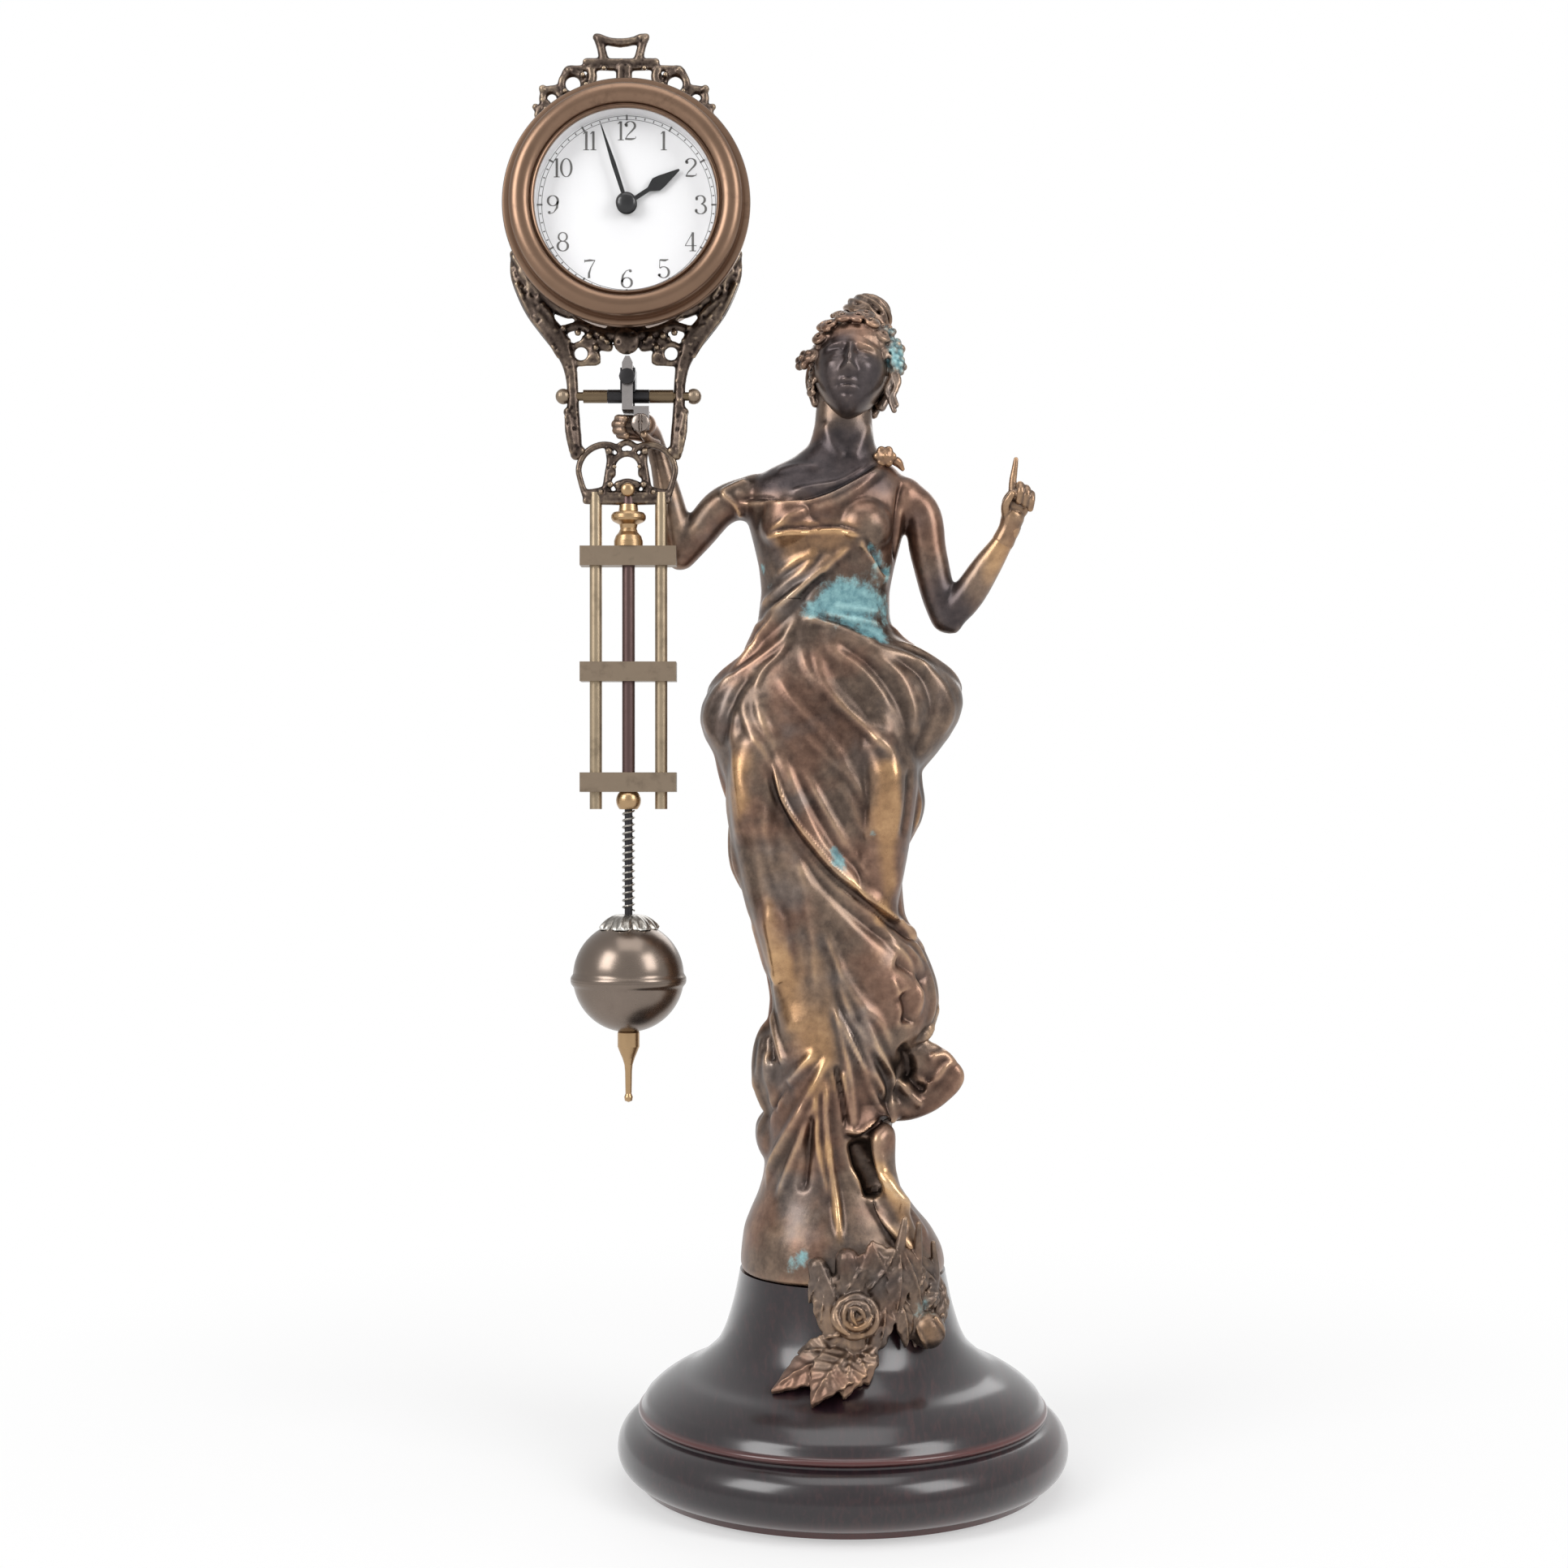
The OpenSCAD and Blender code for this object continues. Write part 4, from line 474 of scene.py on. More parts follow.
def limb(name, points, count=24, n=20, flat=1.0, flat_dir=(0, 1, 0), round_ends=True):
    # points are x, y, z, radius; the tube is closed by shrinking rings at both ends
    p = smooth_path(points, count)
    c, r = p[:, :3], np.maximum(p[:, 3], 0.05)
    d = np.gradient(c, axis=0)
    d /= np.linalg.norm(d, axis=1)[:, None]
    if round_ends:
        ends = [0.35, 0.72, 0.94]
        head = [(c[0] - d[0]*r[0]*math.sqrt(1 - e*e), r[0]*e, d[0]) for e in ends]
        tail = [(c[-1] + d[-1]*r[-1]*math.sqrt(1 - e*e), r[-1]*e, d[-1]) for e in ends[::-1]]
    else:
        head = tail = []
    rings, side = [], None
    for centre, radius, way in head + list(zip(c, r, d)) + tail:
        ref = np.array(flat_dir, float)
        a = ref - way*ref.dot(way)
        if np.linalg.norm(a) < 0.2:
            a = side if side is not None else np.cross(way, (1, 0, 0))
            a = a - way*a.dot(way)
        a /= np.linalg.norm(a)
        b = np.cross(way, a)
        side = a
        ring = [centre + radius*(flat*a*math.cos(t) + b*math.sin(t)) for t in np.linspace(0, 2*math.pi, n,
            endpoint=False)]
        rings.append(ring)
    return skin(name, rings)

def ball(name, place, radii, turn=(0, 0, 0), segments=28):
    bpy.ops.object.select_all(action="DESELECT")
    bpy.ops.mesh.primitive_uv_sphere_add(segments=segments, ring_count=segments//2, radius=1.0,
        location=place)
    obj = bpy.context.object
    obj.name = name
    obj.scale, obj.rotation_euler = radii, [math.radians(a) for a in turn]
    bpy.ops.object.transform_apply(location=True, rotation=True, scale=True)
    return obj

def fuse(name, parts, voxel, rounds=2):
    bpy.ops.object.select_all(action="DESELECT")
    for o in parts:
        o.select_set(True)
    bpy.context.view_layer.objects.active = parts[0]
    bpy.ops.object.join()
    obj = bpy.context.object
    obj.name = obj.data.name = name
    outward(obj)
    mod = obj.modifiers.new("skin", "REMESH")
    mod.mode, mod.voxel_size = "VOXEL", voxel
    bpy.ops.object.modifier_apply(modifier="skin")
    even(obj, rounds)
    return obj

def points_of(obj):
    out = np.empty(len(obj.data.vertices)*3)
    obj.data.vertices.foreach_get("co", out)
    return out.reshape(-1, 3)

def normals_of(obj):
    obj.data.update()
    out = np.empty(len(obj.data.vertices)*3)
    obj.data.vertices.foreach_get("normal", out)
    return out.reshape(-1, 3)

def set_points(obj, p):
    obj.data.vertices.foreach_set("co", np.ascontiguousarray(p, dtype=float).ravel())
    obj.data.update()

def neighbours(obj):
    e = np.empty(len(obj.data.edges)*2, dtype=int)
    obj.data.edges.foreach_get("vertices", e)
    e = e.reshape(-1, 2)
    a, b = np.r_[e[:, 0], e[:, 1]], np.r_[e[:, 1], e[:, 0]]
    count = np.maximum(np.bincount(a, minlength=len(obj.data.vertices)), 1)
    return a, b, count

def averaged(p, links, rounds, share=0.6):
    a, b, count = links
    p = p.copy()
    for _ in range(rounds):
        near = np.stack([np.bincount(a, weights=p[b, k], minlength=len(p)) for k in range(p.shape[1])],
            axis=1)/count[:, None]
        p += share*(near - p)
    return p

def even(obj, rounds, share=0.6):
    if rounds:
        set_points(obj, averaged(points_of(obj), neighbours(obj), rounds, share))

def attribute(obj, name, values):
    layer = obj.data.attributes.get(name) or obj.data.attributes.new(name, "FLOAT", "POINT")
    layer.data.foreach_set("value", np.ascontiguousarray(values, dtype=float))

def relief_of(obj, reach=12, gain=2.4, offset=0.42):
    # how far each point stands out of its own averaged neighbourhood
    p, n, links = points_of(obj), normals_of(obj), neighbours(obj)
    wide = ((p - averaged(p, links, reach))*n).sum(axis=1)
    close = ((p - averaged(p, links, max(2, reach//5)))*n).sum(axis=1)
    value = offset + gain*(wide + 1.6*close)
    attribute(obj, "relief", np.clip(averaged(value[:, None], links, 1)[:, 0], 0, 1))

def settle(obj, body, material, *replaced, angle=70):
    # millimetres to metres, smooth shading, finish, body and the parts it stands for
    set_points(obj, points_of(obj)*MM)
    only(obj)
    bpy.ops.object.shade_smooth_by_angle(angle=math.radians(angle))
    obj.data.materials.clear()
    obj.data.materials.append(material)
    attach(obj, body)
    if replaced:
        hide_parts(*replaced)
    return obj

print("helpers ready")

# %% [markdown]
# A fold is a curve on the skin with a width and a height. Its course is given in the
# picture's own units and thrown onto the skin along the line of sight, so that each fold
# falls where the eye sees it on the real figure; the back has its own folds, thrown on
# from behind. A fold is steeper on one side than on the other, which reads as cloth.

# %% Folds
def sight(px, py, depth=-EYE[1]):
    return EYE + np.array([(px - MID_X)/FOCAL, 1.0, (MID_Y - py)/FOCAL])*depth

VIEWS = {   # where a curve is thrown from: its start, and the way it flies
    "back": (lambda a, b: Vector((a, 120, b)), Vector((0, -1, 0))),
    "left": (lambda a, b: Vector((-120, a, b)), Vector((1, 0, 0))),
    "right": (lambda a, b: Vector((120, a, b)), Vector((-1, 0, 0)))}

def thrown(tree, curve, step=0.7, view="front"):
    # curve: picture points for the front, millimetre points for the other views
    flat = np.array(curve, float)
    scale = 0.196 if view == "front" else 1.0
    count = max(6, int(np.linalg.norm(np.diff(flat, axis=0), axis=1).sum()*scale/step))
    line = smooth_path(np.c_[flat, np.zeros(len(flat))], count)[:, :2]
    hits = []
    for a, b in line:
        if view == "front":
            start = Vector(EYE)
            way = (Vector(sight(a, b)) - start).normalized()
        else:
            start, way = VIEWS[view][0](a, b), VIEWS[view][1]
        place = tree.ray_cast(start, way)[0]
        if place is not None:
            hits.append(place)
    if len(hits) < 2:
        near = tree.find_nearest(Vector(sight(*flat[0],
            532)) if view == "front" else VIEWS[view][0](*flat[0]))[0]
        hits = [near, near + Vector((0, 0, 0.1))]
    return np.array(hits)

def full(curve, width, height, lean=0, kind="ridge"):
    # most folds are ridges, and many fall as steeply on one side as on the other
    return curve, width, height, lean, kind

def press(obj, folds, view="front"):
    # folds: (curve, width, height, lean, kind); lean > 0 is steeper on the right of its course
    p, n = points_of(obj), normals_of(obj)
    tree = BVHTree.FromObject(obj, bpy.context.evaluated_depsgraph_get())
    toward = {"front": -n[:, 1], "back": n[:, 1], "left": -n[:, 0], "right": n[:, 0]}[view]
    total = np.zeros(len(p))
    for curve, width, height, lean, kind in (full(*fold) for fold in folds):
        line = thrown(tree, curve, view=view)
        reach = width*(4.5 if kind == "hem" else 2.6)*(1 + abs(lean))
        low, high = line.min(axis=0) - reach, line.max(axis=0) + reach
        pick = np.nonzero(np.all((p > low) & (p < high), axis=1))[0]
        if not len(pick):
            continue
        q, a, d = p[pick], line[:-1], np.diff(line, axis=0)
        length = np.maximum((d*d).sum(axis=1), 1e-9)
        best = np.full(len(q), 1e9)
        along, side = np.zeros(len(q)), np.zeros(len(q))
        for k in range(len(a)):
            if length[k] > 9:
                continue        # the curve jumps over a gap between two forms
            rel = q - a[k]
            t = np.clip(rel.dot(d[k])/length[k], 0, 1)
            off = rel - t[:, None]*d[k]
            dist = (off*off).sum(axis=1)
            new = dist < best
            best = np.where(new, dist, best)
            along = np.where(new, (k + t)/len(a), along)
            side = np.where(new, (np.cross(d[k], n[pick])*off).sum(axis=1), side)
        dist = np.sqrt(best)
        w = 1.15*width*np.where(side > 0, 1 - lean*0.55, 1 + lean*0.75)
        ends = np.clip(along/0.16, 0, 1)*np.clip((1 - along)/0.16, 0, 1)
        ends = ends*ends*(3 - 2*ends)
        if kind == "hem":
            signed = np.where(side > 0, dist, -dist)
            shape = (0.5 - 0.5*np.tanh(signed/(0.42*width)))*np.exp(-(dist/(3.4*width))**2)
            shape = (shape + 0.45*np.exp(-((signed + 0.6*width)/(0.7*width))**2)
                     - 0.4*np.exp(-((signed - 0.9*width)/(0.8*width))**2))
        elif kind == "flat":
            shape = np.exp(-(dist/w)**4)
        else:
            shape = np.exp(-(dist/w)**2)
        facing = np.clip(0.12 + toward[pick]*1.8, 0, 1)
        total[pick] += height*shape*ends*facing
    set_points(obj, p + n*total[:, None])
    return total

print("fold tools ready")

# %% [markdown]
# The lady's core is one closed form from the bronze foot to the neck. Each row gives the
# height, the left and right edge as the eye sees them, and the depth to the front and to
# the back. Billows at the hips, the knee and the hem, the bust and the arms are added to
# it as balls and limbs.

# %% Core of the figure
ROWS = [(51.6, -24.9, 24.9, 24.9, 24.9), (54, -25.1, 25.1, 25, 24.9), (57.5, -24.8, 24.2, 24.4, 24),
    (62, -24.2, 21.6, 22.8, 21.4),
        (66, -22.6, 18.0, 20.4, 19.2), (70, -20.8, 15.2, 18.8, 17), (74, -19.6, 12.8, 17.8, 15.6),
        (80, -18.8, 12.0, 17.2, 14.8),
        (87, -18.6, 11.6, 17.0, 14.2), (94, -18.4, 12.4, 16.8, 14.0), (102, -18.2, 14.6, 16.6, 14),
        (106, -18.2, 18.6, 16.6, 14), (110, -17.8, 21.2, 16.6, 14),
        (114, -17.2, 22.4, 16.6, 14), (118, -16.8, 22.8, 16.6, 14), (122, -17.4, 22.2, 16.4, 14),
        (126, -18.2, 20.8, 16.4, 13.8),
        (130, -19, 19, 16.2, 13.6), (134, -19.8, 16.4, 16.2, 13.6), (138, -20.6, 14.4, 16.2, 13.6),
        (142, -21.8, 13.9, 16.2, 13.6),
        (146, -24.6, 13.6, 16.4, 13.6), (150, -26.6, 13.8, 16.4, 13.6), (154, -27.2, 14.2, 16.6, 13.6),
        (158, -27.2, 16.4, 16.8, 13.8),
        (162, -26.8, 18.6, 17, 14), (166, -27.2, 19.4, 17.2, 14.2), (170, -28.8, 18.8, 17.2, 14.6),
        (174, -30.2, 18.8, 17.2, 15), (178, -31.4, 22.8, 17, 15.4),
        (182, -34.0, 26.2, 16.6, 15.6), (186, -35.2, 28.6, 16.2, 15.6), (190, -34.8, 29.8, 15.6, 15.2),
        (194, -32.8, 29.4, 14.8, 14.4), (198, -29.2, 26.6, 14, 13.4),
        (202, -24.4, 21.4, 13.2, 12.4), (206, -22.2, 14.4, 12.4, 11.4), (209, -21.2, 12.2, 12.0, 11.0),
        (212, -20.7, 11.6, 11.6, 10.6), (218, -20.0, 11.6, 11.8, 10.4), (224, -20.6, 12.8, 12.2, 10.4),
        (230, -22, 14.4, 12.4, 10.6),
        (236, -23.6, 16.0, 12.2, 10.8), (241, -24.4, 16.8, 11.2, 10.6), (245, -23.0, 15.8, 9.8, 9.8),
        (248, -18.2, 13.4, 8.6, 8.8),
        (250.6, -12.6, 10.2, 7.6, 7.8), (254, -8.2, 8.0, 6.8, 7.0), (259, -6.9, 7.4, 6.5, 6.6),
        (265, -6.4, 7.4, 6.4, 6.4), (271, -5.6, 7.0, 6, 6)]

def core_ring(z, n=72, blunt=2.25):
    s = [float(np.interp(z, [r[0] for r in ROWS], [r[k] for r in ROWS])) for k in range(1, 5)]
    cx, hw = (s[0] + s[1])/2, (s[1] - s[0])/2
    ring = []
    for a in np.linspace(0, 2*math.pi, n, endpoint=False):
        c, d = math.cos(a), math.sin(a)
        x = math.copysign(abs(c)**(2/blunt), c)*hw
        y = math.copysign(abs(d)**(2/blunt), d)*(s[3] if d > 0 else s[2])
        ring.append((cx + x, y, z))
    return ring

core = skin("core", [core_ring(z) for z in np.linspace(51.6, 270, 160)])
clay = [core,
        limb("thigh_left", [(-18.5, -6.5, 184, 9), (-19.5, -7.4, 168, 8.6), (-17, -7, 148, 7.6),
        (-12, -6, 128, 7)]),
        limb("thigh_right", [(7, -6.6, 188, 9.4), (9.2, -8.6, 172, 9), (8.4, -9.2, 156, 7.6),
        (5, -7.6, 136, 7)]),
        limb("hem_bundle", [(14, -4, 104.4, 4.4), (20.4, -4.8, 102.4, 4.6), (25.6, -5.2, 99.2, 3.5)]),
        limb("hem_bundle_low", [(25.0, -5.2, 97.8, 3.3), (20.6, -5.2, 94.6, 3.9), (15, -5.6, 92.4, 4.0),
        (9, -6.4, 92.4, 4)]),
        ball("hem_bundle_core", (14.5, -4.2, 98), (6.8, 5.6, 6)),
        ball("hem_left", (-16.2, 0, 101), (5.3, 7.6, 11.6)),
        ball("hem_left_low", (-16.6, 0.6, 83.6), (4.6, 7.6, 6.4)),
        limb("leg", [(9.2, -13.2, 86, 3.4), (9.4, -14, 78, 3.2), (11.4, -16, 70, 3.4), (15, -19, 61, 3.2)]),
        ball("seat", (-4, 8.6, 184), (17, 8.6, 14)),
        ball("bust_left", (-13.0, -7.0, 233.4), (7.4, 7.2, 7.2)),
        ball("bust_right", (4.8, -7.4, 233.0), (7.4, 7.2, 7.2)),
        ball("shoulder_left", (-23.6, 0, 240.8), (6.2, 5.6, 5.4)),
        ball("shoulder_right", (14.6, -0.4, 240.4), (6.0, 5.6, 6.0)),
        limb("upper_arm_left", [(-21, 0, 242, 5.2), (-29.6, 0, 239, 4.8), (-35.4, -0.2, 232.4, 4.4),
        (-39.6, -0.4, 227.2, 3.9)]),
        limb("forearm_left", [(-39.9, -0.4, 226.9, 3.9), (-41.0, -0.4, 232, 4.2), (-42.6, -0.5, 240, 3.7),
        (-44.4, -1.0, 248, 2.8), (-45.6, -1.4, 252.6, 2.4)]),
        limb("upper_arm_right", [(13, 0, 242, 5), (18.4, -0.3, 238.4, 5), (21.2, -1, 227, 4.6),
        (24.0, -1.6, 215.6, 4.2), (25.4, -2, 211.6, 4.0)]),
        limb("forearm_right", [(25.6, -2, 211.3, 3.9), (29.6, -3.2, 215.6, 4.2), (35, -5, 223.6, 3.7),
        (40.0, -6.6, 231.4, 2.6), (40.9, -6.9, 233, 2.6)])]
figure = fuse("figure", clay, 0.51, rounds=10)
print("figure skin", len(figure.data.vertices), "points")

# %% [markdown]
# The folds of the skirt start at the waist, wrap the thighs and fall over the hem; the
# sweep of the upper cloth ends in a rolled edge that runs down to the bundle at the side.

# %% Folds seen from the front
# The skirt's first three curves are in the picture's own points. All others were read off
# four enlarged windows of it. Each window gives its left and top edge in the picture and
# its enlargement.
WINDOWS = {"bodice": (820, 320, 3.136), "hips": (840, 640, 3.733),
           "knees": (860, 940, 3.267), "train": (880, 1240, 4.356)}

def seen(window, curve):
    left, top, scale = WINDOWS[window]
    return [(round(left + a/scale), round(top + b/scale)) for a, b in curve]

SKIRT_FOLDS = [
    ([(1100, 925), (1100, 985), (1097, 1050), (1098, 1115)], 3.4, 2.1),
    ([(922, 895), (914, 960), (922, 1045)], 3.6, 1.8),
    ([(948, 1110), (964, 1200), (992, 1290)], 4.2, 1.9),
    (seen("hips", [(600, 560), (640, 700), (760, 880), (900, 1010), (1010, 1130)]), 1.3, 1.3, 0.4),
    (seen("hips", [(655, 520), (700, 600), (800, 660), (900, 760), (1000, 900), (1060, 1060)]), 1.6, 1.2,
    0.3),
    (seen("hips", [(540, 560), (580, 680), (640, 770), (740, 870), (870, 980), (960, 1100)]), 1.1, 0.9,
    0.4),
    (seen("hips", [(430, 700), (520, 840), (620, 950), (740, 1110), (800, 1210)]), 1, 0.8, 0.4),
    (seen("hips", [(560, 980), (690, 1110), (790, 1210), (850, 1330)]), 0.9, 0.7, 0.4),
    (seen("hips", [(330, 760), (370, 930), (440, 1080), (530, 1300), (620, 1480), (700, 1600)]), 1.2, 1.1,
    0.4),
    (seen("hips", [(270, 780), (300, 940), (390, 1090), (460, 1280), (540, 1440), (640, 1568)]), 1, 0.9,
    0.4),
    (seen("hips", [(540, 1120), (600, 1220), (680, 1380), (760, 1540)]), 0.9, 0.8, 0.4),
    (seen("hips", [(230, 830), (240, 1000), (270, 1200), (300, 1400)]), 1.5, 0.9, 0.2),
    (seen("hips", [(640, 150), (560, 230), (460, 310), (380, 390), (345, 460)]), 0.9, 0.7, -0.3),
    (seen("hips", [(720, 190), (620, 260), (500, 370), (400, 450), (330, 560), (250, 670)]), 1, 0.9, -0.3),
    (seen("hips", [(560, 330), (460, 440), (380, 530), (300, 640), (200, 720)]), 1, 0.8, -0.3),
    (seen("hips", [(540, 440), (460, 560), (360, 640), (240, 720), (150, 800)]), 1, 0.9, -0.3),
    (seen("hips", [(520, 520), (450, 620), (380, 690), (330, 790)]), 0.9, 0.8, -0.3),
    (seen("hips", [(330, 690), (250, 800), (200, 950), (170, 1060)]), 1.5, -1.5),
    (seen("hips", [(250, 700), (150, 800), (110, 920), (140, 1020)]), 1.4, 0.9),
    (seen("hips", [(620, 490), (760, 540), (900, 590), (1050, 640), (1180, 700)]), 1.4, 1.2),
    (seen("hips", [(600, 440), (720, 470), (830, 520), (960, 575)]), 0.8, -1),
    (seen("hips", [(700, 560), (850, 660), (960, 800), (1030, 950), (1080, 1080)]), 1.6, -1.6),
    (seen("hips", [(850, 600), (1000, 720), (1060, 860), (1060, 1030)]), 1.3, 1.2, 0.3),
    (seen("hips", [(960, 620), (1100, 720), (1150, 860), (1100, 1020), (1060, 1120)]), 1.4, -1.3),
    (seen("hips", [(1060, 640), (1200, 760), (1240, 880), (1180, 1010)]), 1.5, 1),
    (seen("hips", [(880, 960), (930, 1120), (935, 1300), (905, 1500)]), 3.2, 1, 0, "flat"),
    (seen("hips", [(1040, 1130), (1030, 1300), (1000, 1480)]), 1, -1.1),
    (seen("knees", [(280, -40), (350, 170), (450, 330), (560, 455), (680, 550), (800, 655), (890, 745),
    (940, 860), (955, 960), (915, 1080), (845, 1150)]), 1, 1.7, 0, "hem"),
    (seen("knees", [(330, -60), (420, 160), (530, 360), (640, 480), (760, 575), (860, 660)]), 0.8, 0.8,
    0.3),
    (seen("knees", [(430, 60), (540, 230), (640, 390), (720, 480)]), 0.9, 0.8, 0.3),
    (seen("knees", [(560, 60), (640, 220), (700, 340)]), 1, 0.6, 0.3),
    (seen("knees", [(300, 140), (400, 330), (500, 480), (620, 600), (740, 700), (830, 770)]), 1.6, -1.7),
    (seen("knees", [(690, 620), (790, 710), (880, 780), (915, 860)]), 0.9, 0.9),
    (seen("knees", [(740, 700), (830, 770), (880, 850), (900, 950), (870, 1050)]), 0.9, 1.1),
    (seen("knees", [(790, 790), (870, 840), (920, 900)]), 1.6, -2.2),
    (seen("knees", [(820, 920), (850, 990), (840, 1060)]), 1.8, -2.8),
    (seen("knees", [(780, 860), (820, 980), (800, 1080)]), 0.8, 0.8),
    (seen("knees", [(500, 640), (560, 800), (640, 950), (740, 1060), (790, 1180)]), 1.1, 1.3, 0.4),
    (seen("knees", [(520, 760), (590, 980), (680, 1180), (760, 1390)]), 1, 1.1, 0.4),
    (seen("knees", [(545, 960), (590, 1150), (620, 1330), (630, 1480)]), 0.8, 1, 0.3),
    (seen("knees", [(590, 1050), (660, 1220), (710, 1350), (750, 1440)]), 0.8, 1, 0.3),
    (seen("knees", [(640, 960), (720, 1130), (770, 1290), (775, 1420)]), 1, 1, 0.3),
    (seen("knees", [(530, 760), (570, 930), (640, 1120), (700, 1260)]), 0.8, -1),
    (seen("knees", [(330, 820), (360, 960), (400, 1100)]), 2.4, 0.9),
    (seen("knees", [(290, 480), (300, 700), (330, 900), (350, 1120)]), 1.4, 0.9, 0.3),
    (seen("knees", [(200, 40), (240, 300), (270, 560), (300, 760)]), 1.6, 0.9, 0.2),
    (seen("knees", [(400, 340), (440, 560), (470, 760), (480, 950)]), 1.4, 0.9, 0.4),
    (seen("knees", [(250, 140), (280, 330), (330, 500), (400, 640)]), 1.1, 0.8, 0.3),
    (seen("knees", [(350, 480), (380, 700), (410, 900)]), 1.2, -0.8),
    (seen("train", [(640, 240), (540, 420), (440, 600), (340, 780), (250, 980)]), 1.1, 1.2, -0.3),
    (seen("train", [(610, 330), (540, 520), (470, 700), (390, 900), (330, 1060)]), 1, 1.1, -0.3),
    (seen("train", [(600, 360), (600, 600), (620, 800), (655, 1040), (680, 1280)]), 0.8, 1.6),
    (seen("train", [(560, 460), (555, 700), (590, 900), (620, 1040)]), 0.8, 1),
    (seen("train", [(520, 560), (500, 780), (475, 1010)]), 1, -1.5),
    (seen("train", [(560, 240), (470, 330), (390, 430), (330, 560)]), 1.1, 1, -0.3),
    (seen("train", [(420, 400), (340, 500), (280, 600)]), 1, -1.2),
    (seen("train", [(500, 520), (410, 700), (320, 860), (270, 980)]), 0.9, 0.9, -0.3),
    (seen("train", [(690, 20), (730, 180), (830, 350), (910, 500)]), 1, 1.1, 0.3),
    (seen("train", [(680, 330), (710, 520), (735, 660)]), 0.8, 1, 0.2),
    (seen("train", [(760, 60), (840, 200), (930, 330), (945, 460)]), 1.1, 1.1, 0.3),
    (seen("train", [(650, 300), (690, 480), (720, 660)]), 0.7, -1.3),
    (seen("train", [(330, 20), (350, 200), (380, 330)]), 1, 1),
    (seen("train", [(310, 150), (322, 310)]), 0.8, -1.5),
    (seen("train", [(270, 100), (240, 300), (240, 470), (290, 560)]), 1, 0.8),
    (seen("train", [(690, 670), (760, 690), (830, 640), (930, 600), (1000, 600)]), 0.9, 1.8, 0, "hem"),
    (seen("train", [(765, 700), (795, 830), (840, 950), (880, 1030)]), 2, -4.2, 0, "flat"),
    (seen("train", [(880, 640), (880, 800), (900, 900), (960, 1000), (1060, 1110)]), 1.6, 1.3),
    (seen("train", [(730, 850), (820, 990), (920, 1150), (1040, 1290), (1130, 1420)]), 1.1, 1.4, 0.2),
    (seen("train", [(900, 880), (970, 1000), (1080, 1130), (1150, 1250)]), 1.3, 1),
    (seen("train", [(1150, 280), (1220, 265), (1280, 330)]), 0.9, 1),
    (seen("train", [(1080, 370), (1150, 420), (1210, 360), (1260, 290)]), 0.9, 1.1),
    (seen("train", [(1040, 330), (1090, 420), (1140, 450)]), 1, -1.4),
    (seen("train", [(980, 370), (1060, 480), (1130, 540)]), 1, 1.1),
    (seen("train", [(1000, 200), (1040, 300), (1010, 420)]), 1.2, -1.6),
]
BODICE_FOLDS = [
    (seen("bodice", [(860, 770), (740, 850), (620, 910), (500, 940), (360, 935), (250, 930)]), 0.8, 1.1, 0,
    "hem"),
    (seen("bodice", [(800, 790), (680, 860), (560, 880), (470, 900)]), 0.8, 0.7),
    (seen("bodice", [(850, 800), (740, 890), (640, 945), (540, 970)]), 0.9, 0.8),
    (seen("bodice", [(560, 965), (480, 990), (420, 1040), (380, 1080)]), 0.8, 0.6),
    (seen("bodice", [(210, 900), (270, 950), (300, 1010), (330, 1070)]), 0.7, 0.9),
    (seen("bodice", [(320, 850), (260, 875), (205, 905)]), 0.8, 0.7),
    (seen("bodice", [(770, 1065), (680, 1040), (560, 1045), (430, 1055), (380, 1075)]), 0.7, 0.8, 0, "hem"),
    (seen("bodice", [(905, 1195), (850, 1220), (800, 1150), (760, 1070)]), 0.7, 0.8, 0, "hem"),
    (seen("bodice", [(730, 1090), (620, 1190), (500, 1290), (380, 1380)]), 0.9, 0.8, -0.3),
    (seen("bodice", [(660, 1130), (540, 1220), (420, 1310), (370, 1350)]), 0.8, 0.7, -0.3),
    (seen("bodice", [(600, 1120), (500, 1170), (420, 1230)]), 0.8, 0.5, -0.3),
    (seen("bodice", [(560, 1245), (460, 1340), (380, 1440), (340, 1500)]), 0.9, 0.9, -0.3),
    (seen("bodice", [(620, 1210), (560, 1260), (520, 1320)]), 0.8, -0.6),
    (seen("bodice", [(520, 1380), (600, 1395), (700, 1420), (790, 1460), (870, 1470)]), 0.9, 0.8),
    (seen("bodice", [(640, 1330), (740, 1350), (850, 1360)]), 0.8, 0.4),
    (seen("bodice", [(600, 1370), (720, 1385), (840, 1410)]), 0.6, 0.5),
    (seen("bodice", [(915, 850), (900, 950), (890, 1080), (885, 1190)]), 0.8, -1.1),
    (seen("bodice", [(600, 800), (500, 800), (420, 820)]), 1, 0.4),
    (seen("bodice", [(610, 620), (640, 700), (690, 770)]), 1.2, 0.5),
    (seen("bodice", [(800, 620), (760, 700), (720, 770)]), 1.2, 0.5),
    (seen("bodice", [(580, 1010), (560, 1040)]), 2, 0.4),
]

def softened(folds, by=0.62):
    # over the body the cloth lies in low folds, and those of the hem stand out
    out = []
    for curve, width, height, lean, kind in (full(*fold) for fold in folds):
        body = kind == "ridge" and 790 < np.mean([y for _, y in curve]) < 1250
        out.append((curve, width, height*(by if body else 1), lean, kind))
    return out

pressed = press(figure, softened(SKIRT_FOLDS) + BODICE_FOLDS)
print("front folds", len(SKIRT_FOLDS) + len(BODICE_FOLDS), "deepest", round(float(pressed.min()), 2),
    "highest", round(float(pressed.max()), 2))

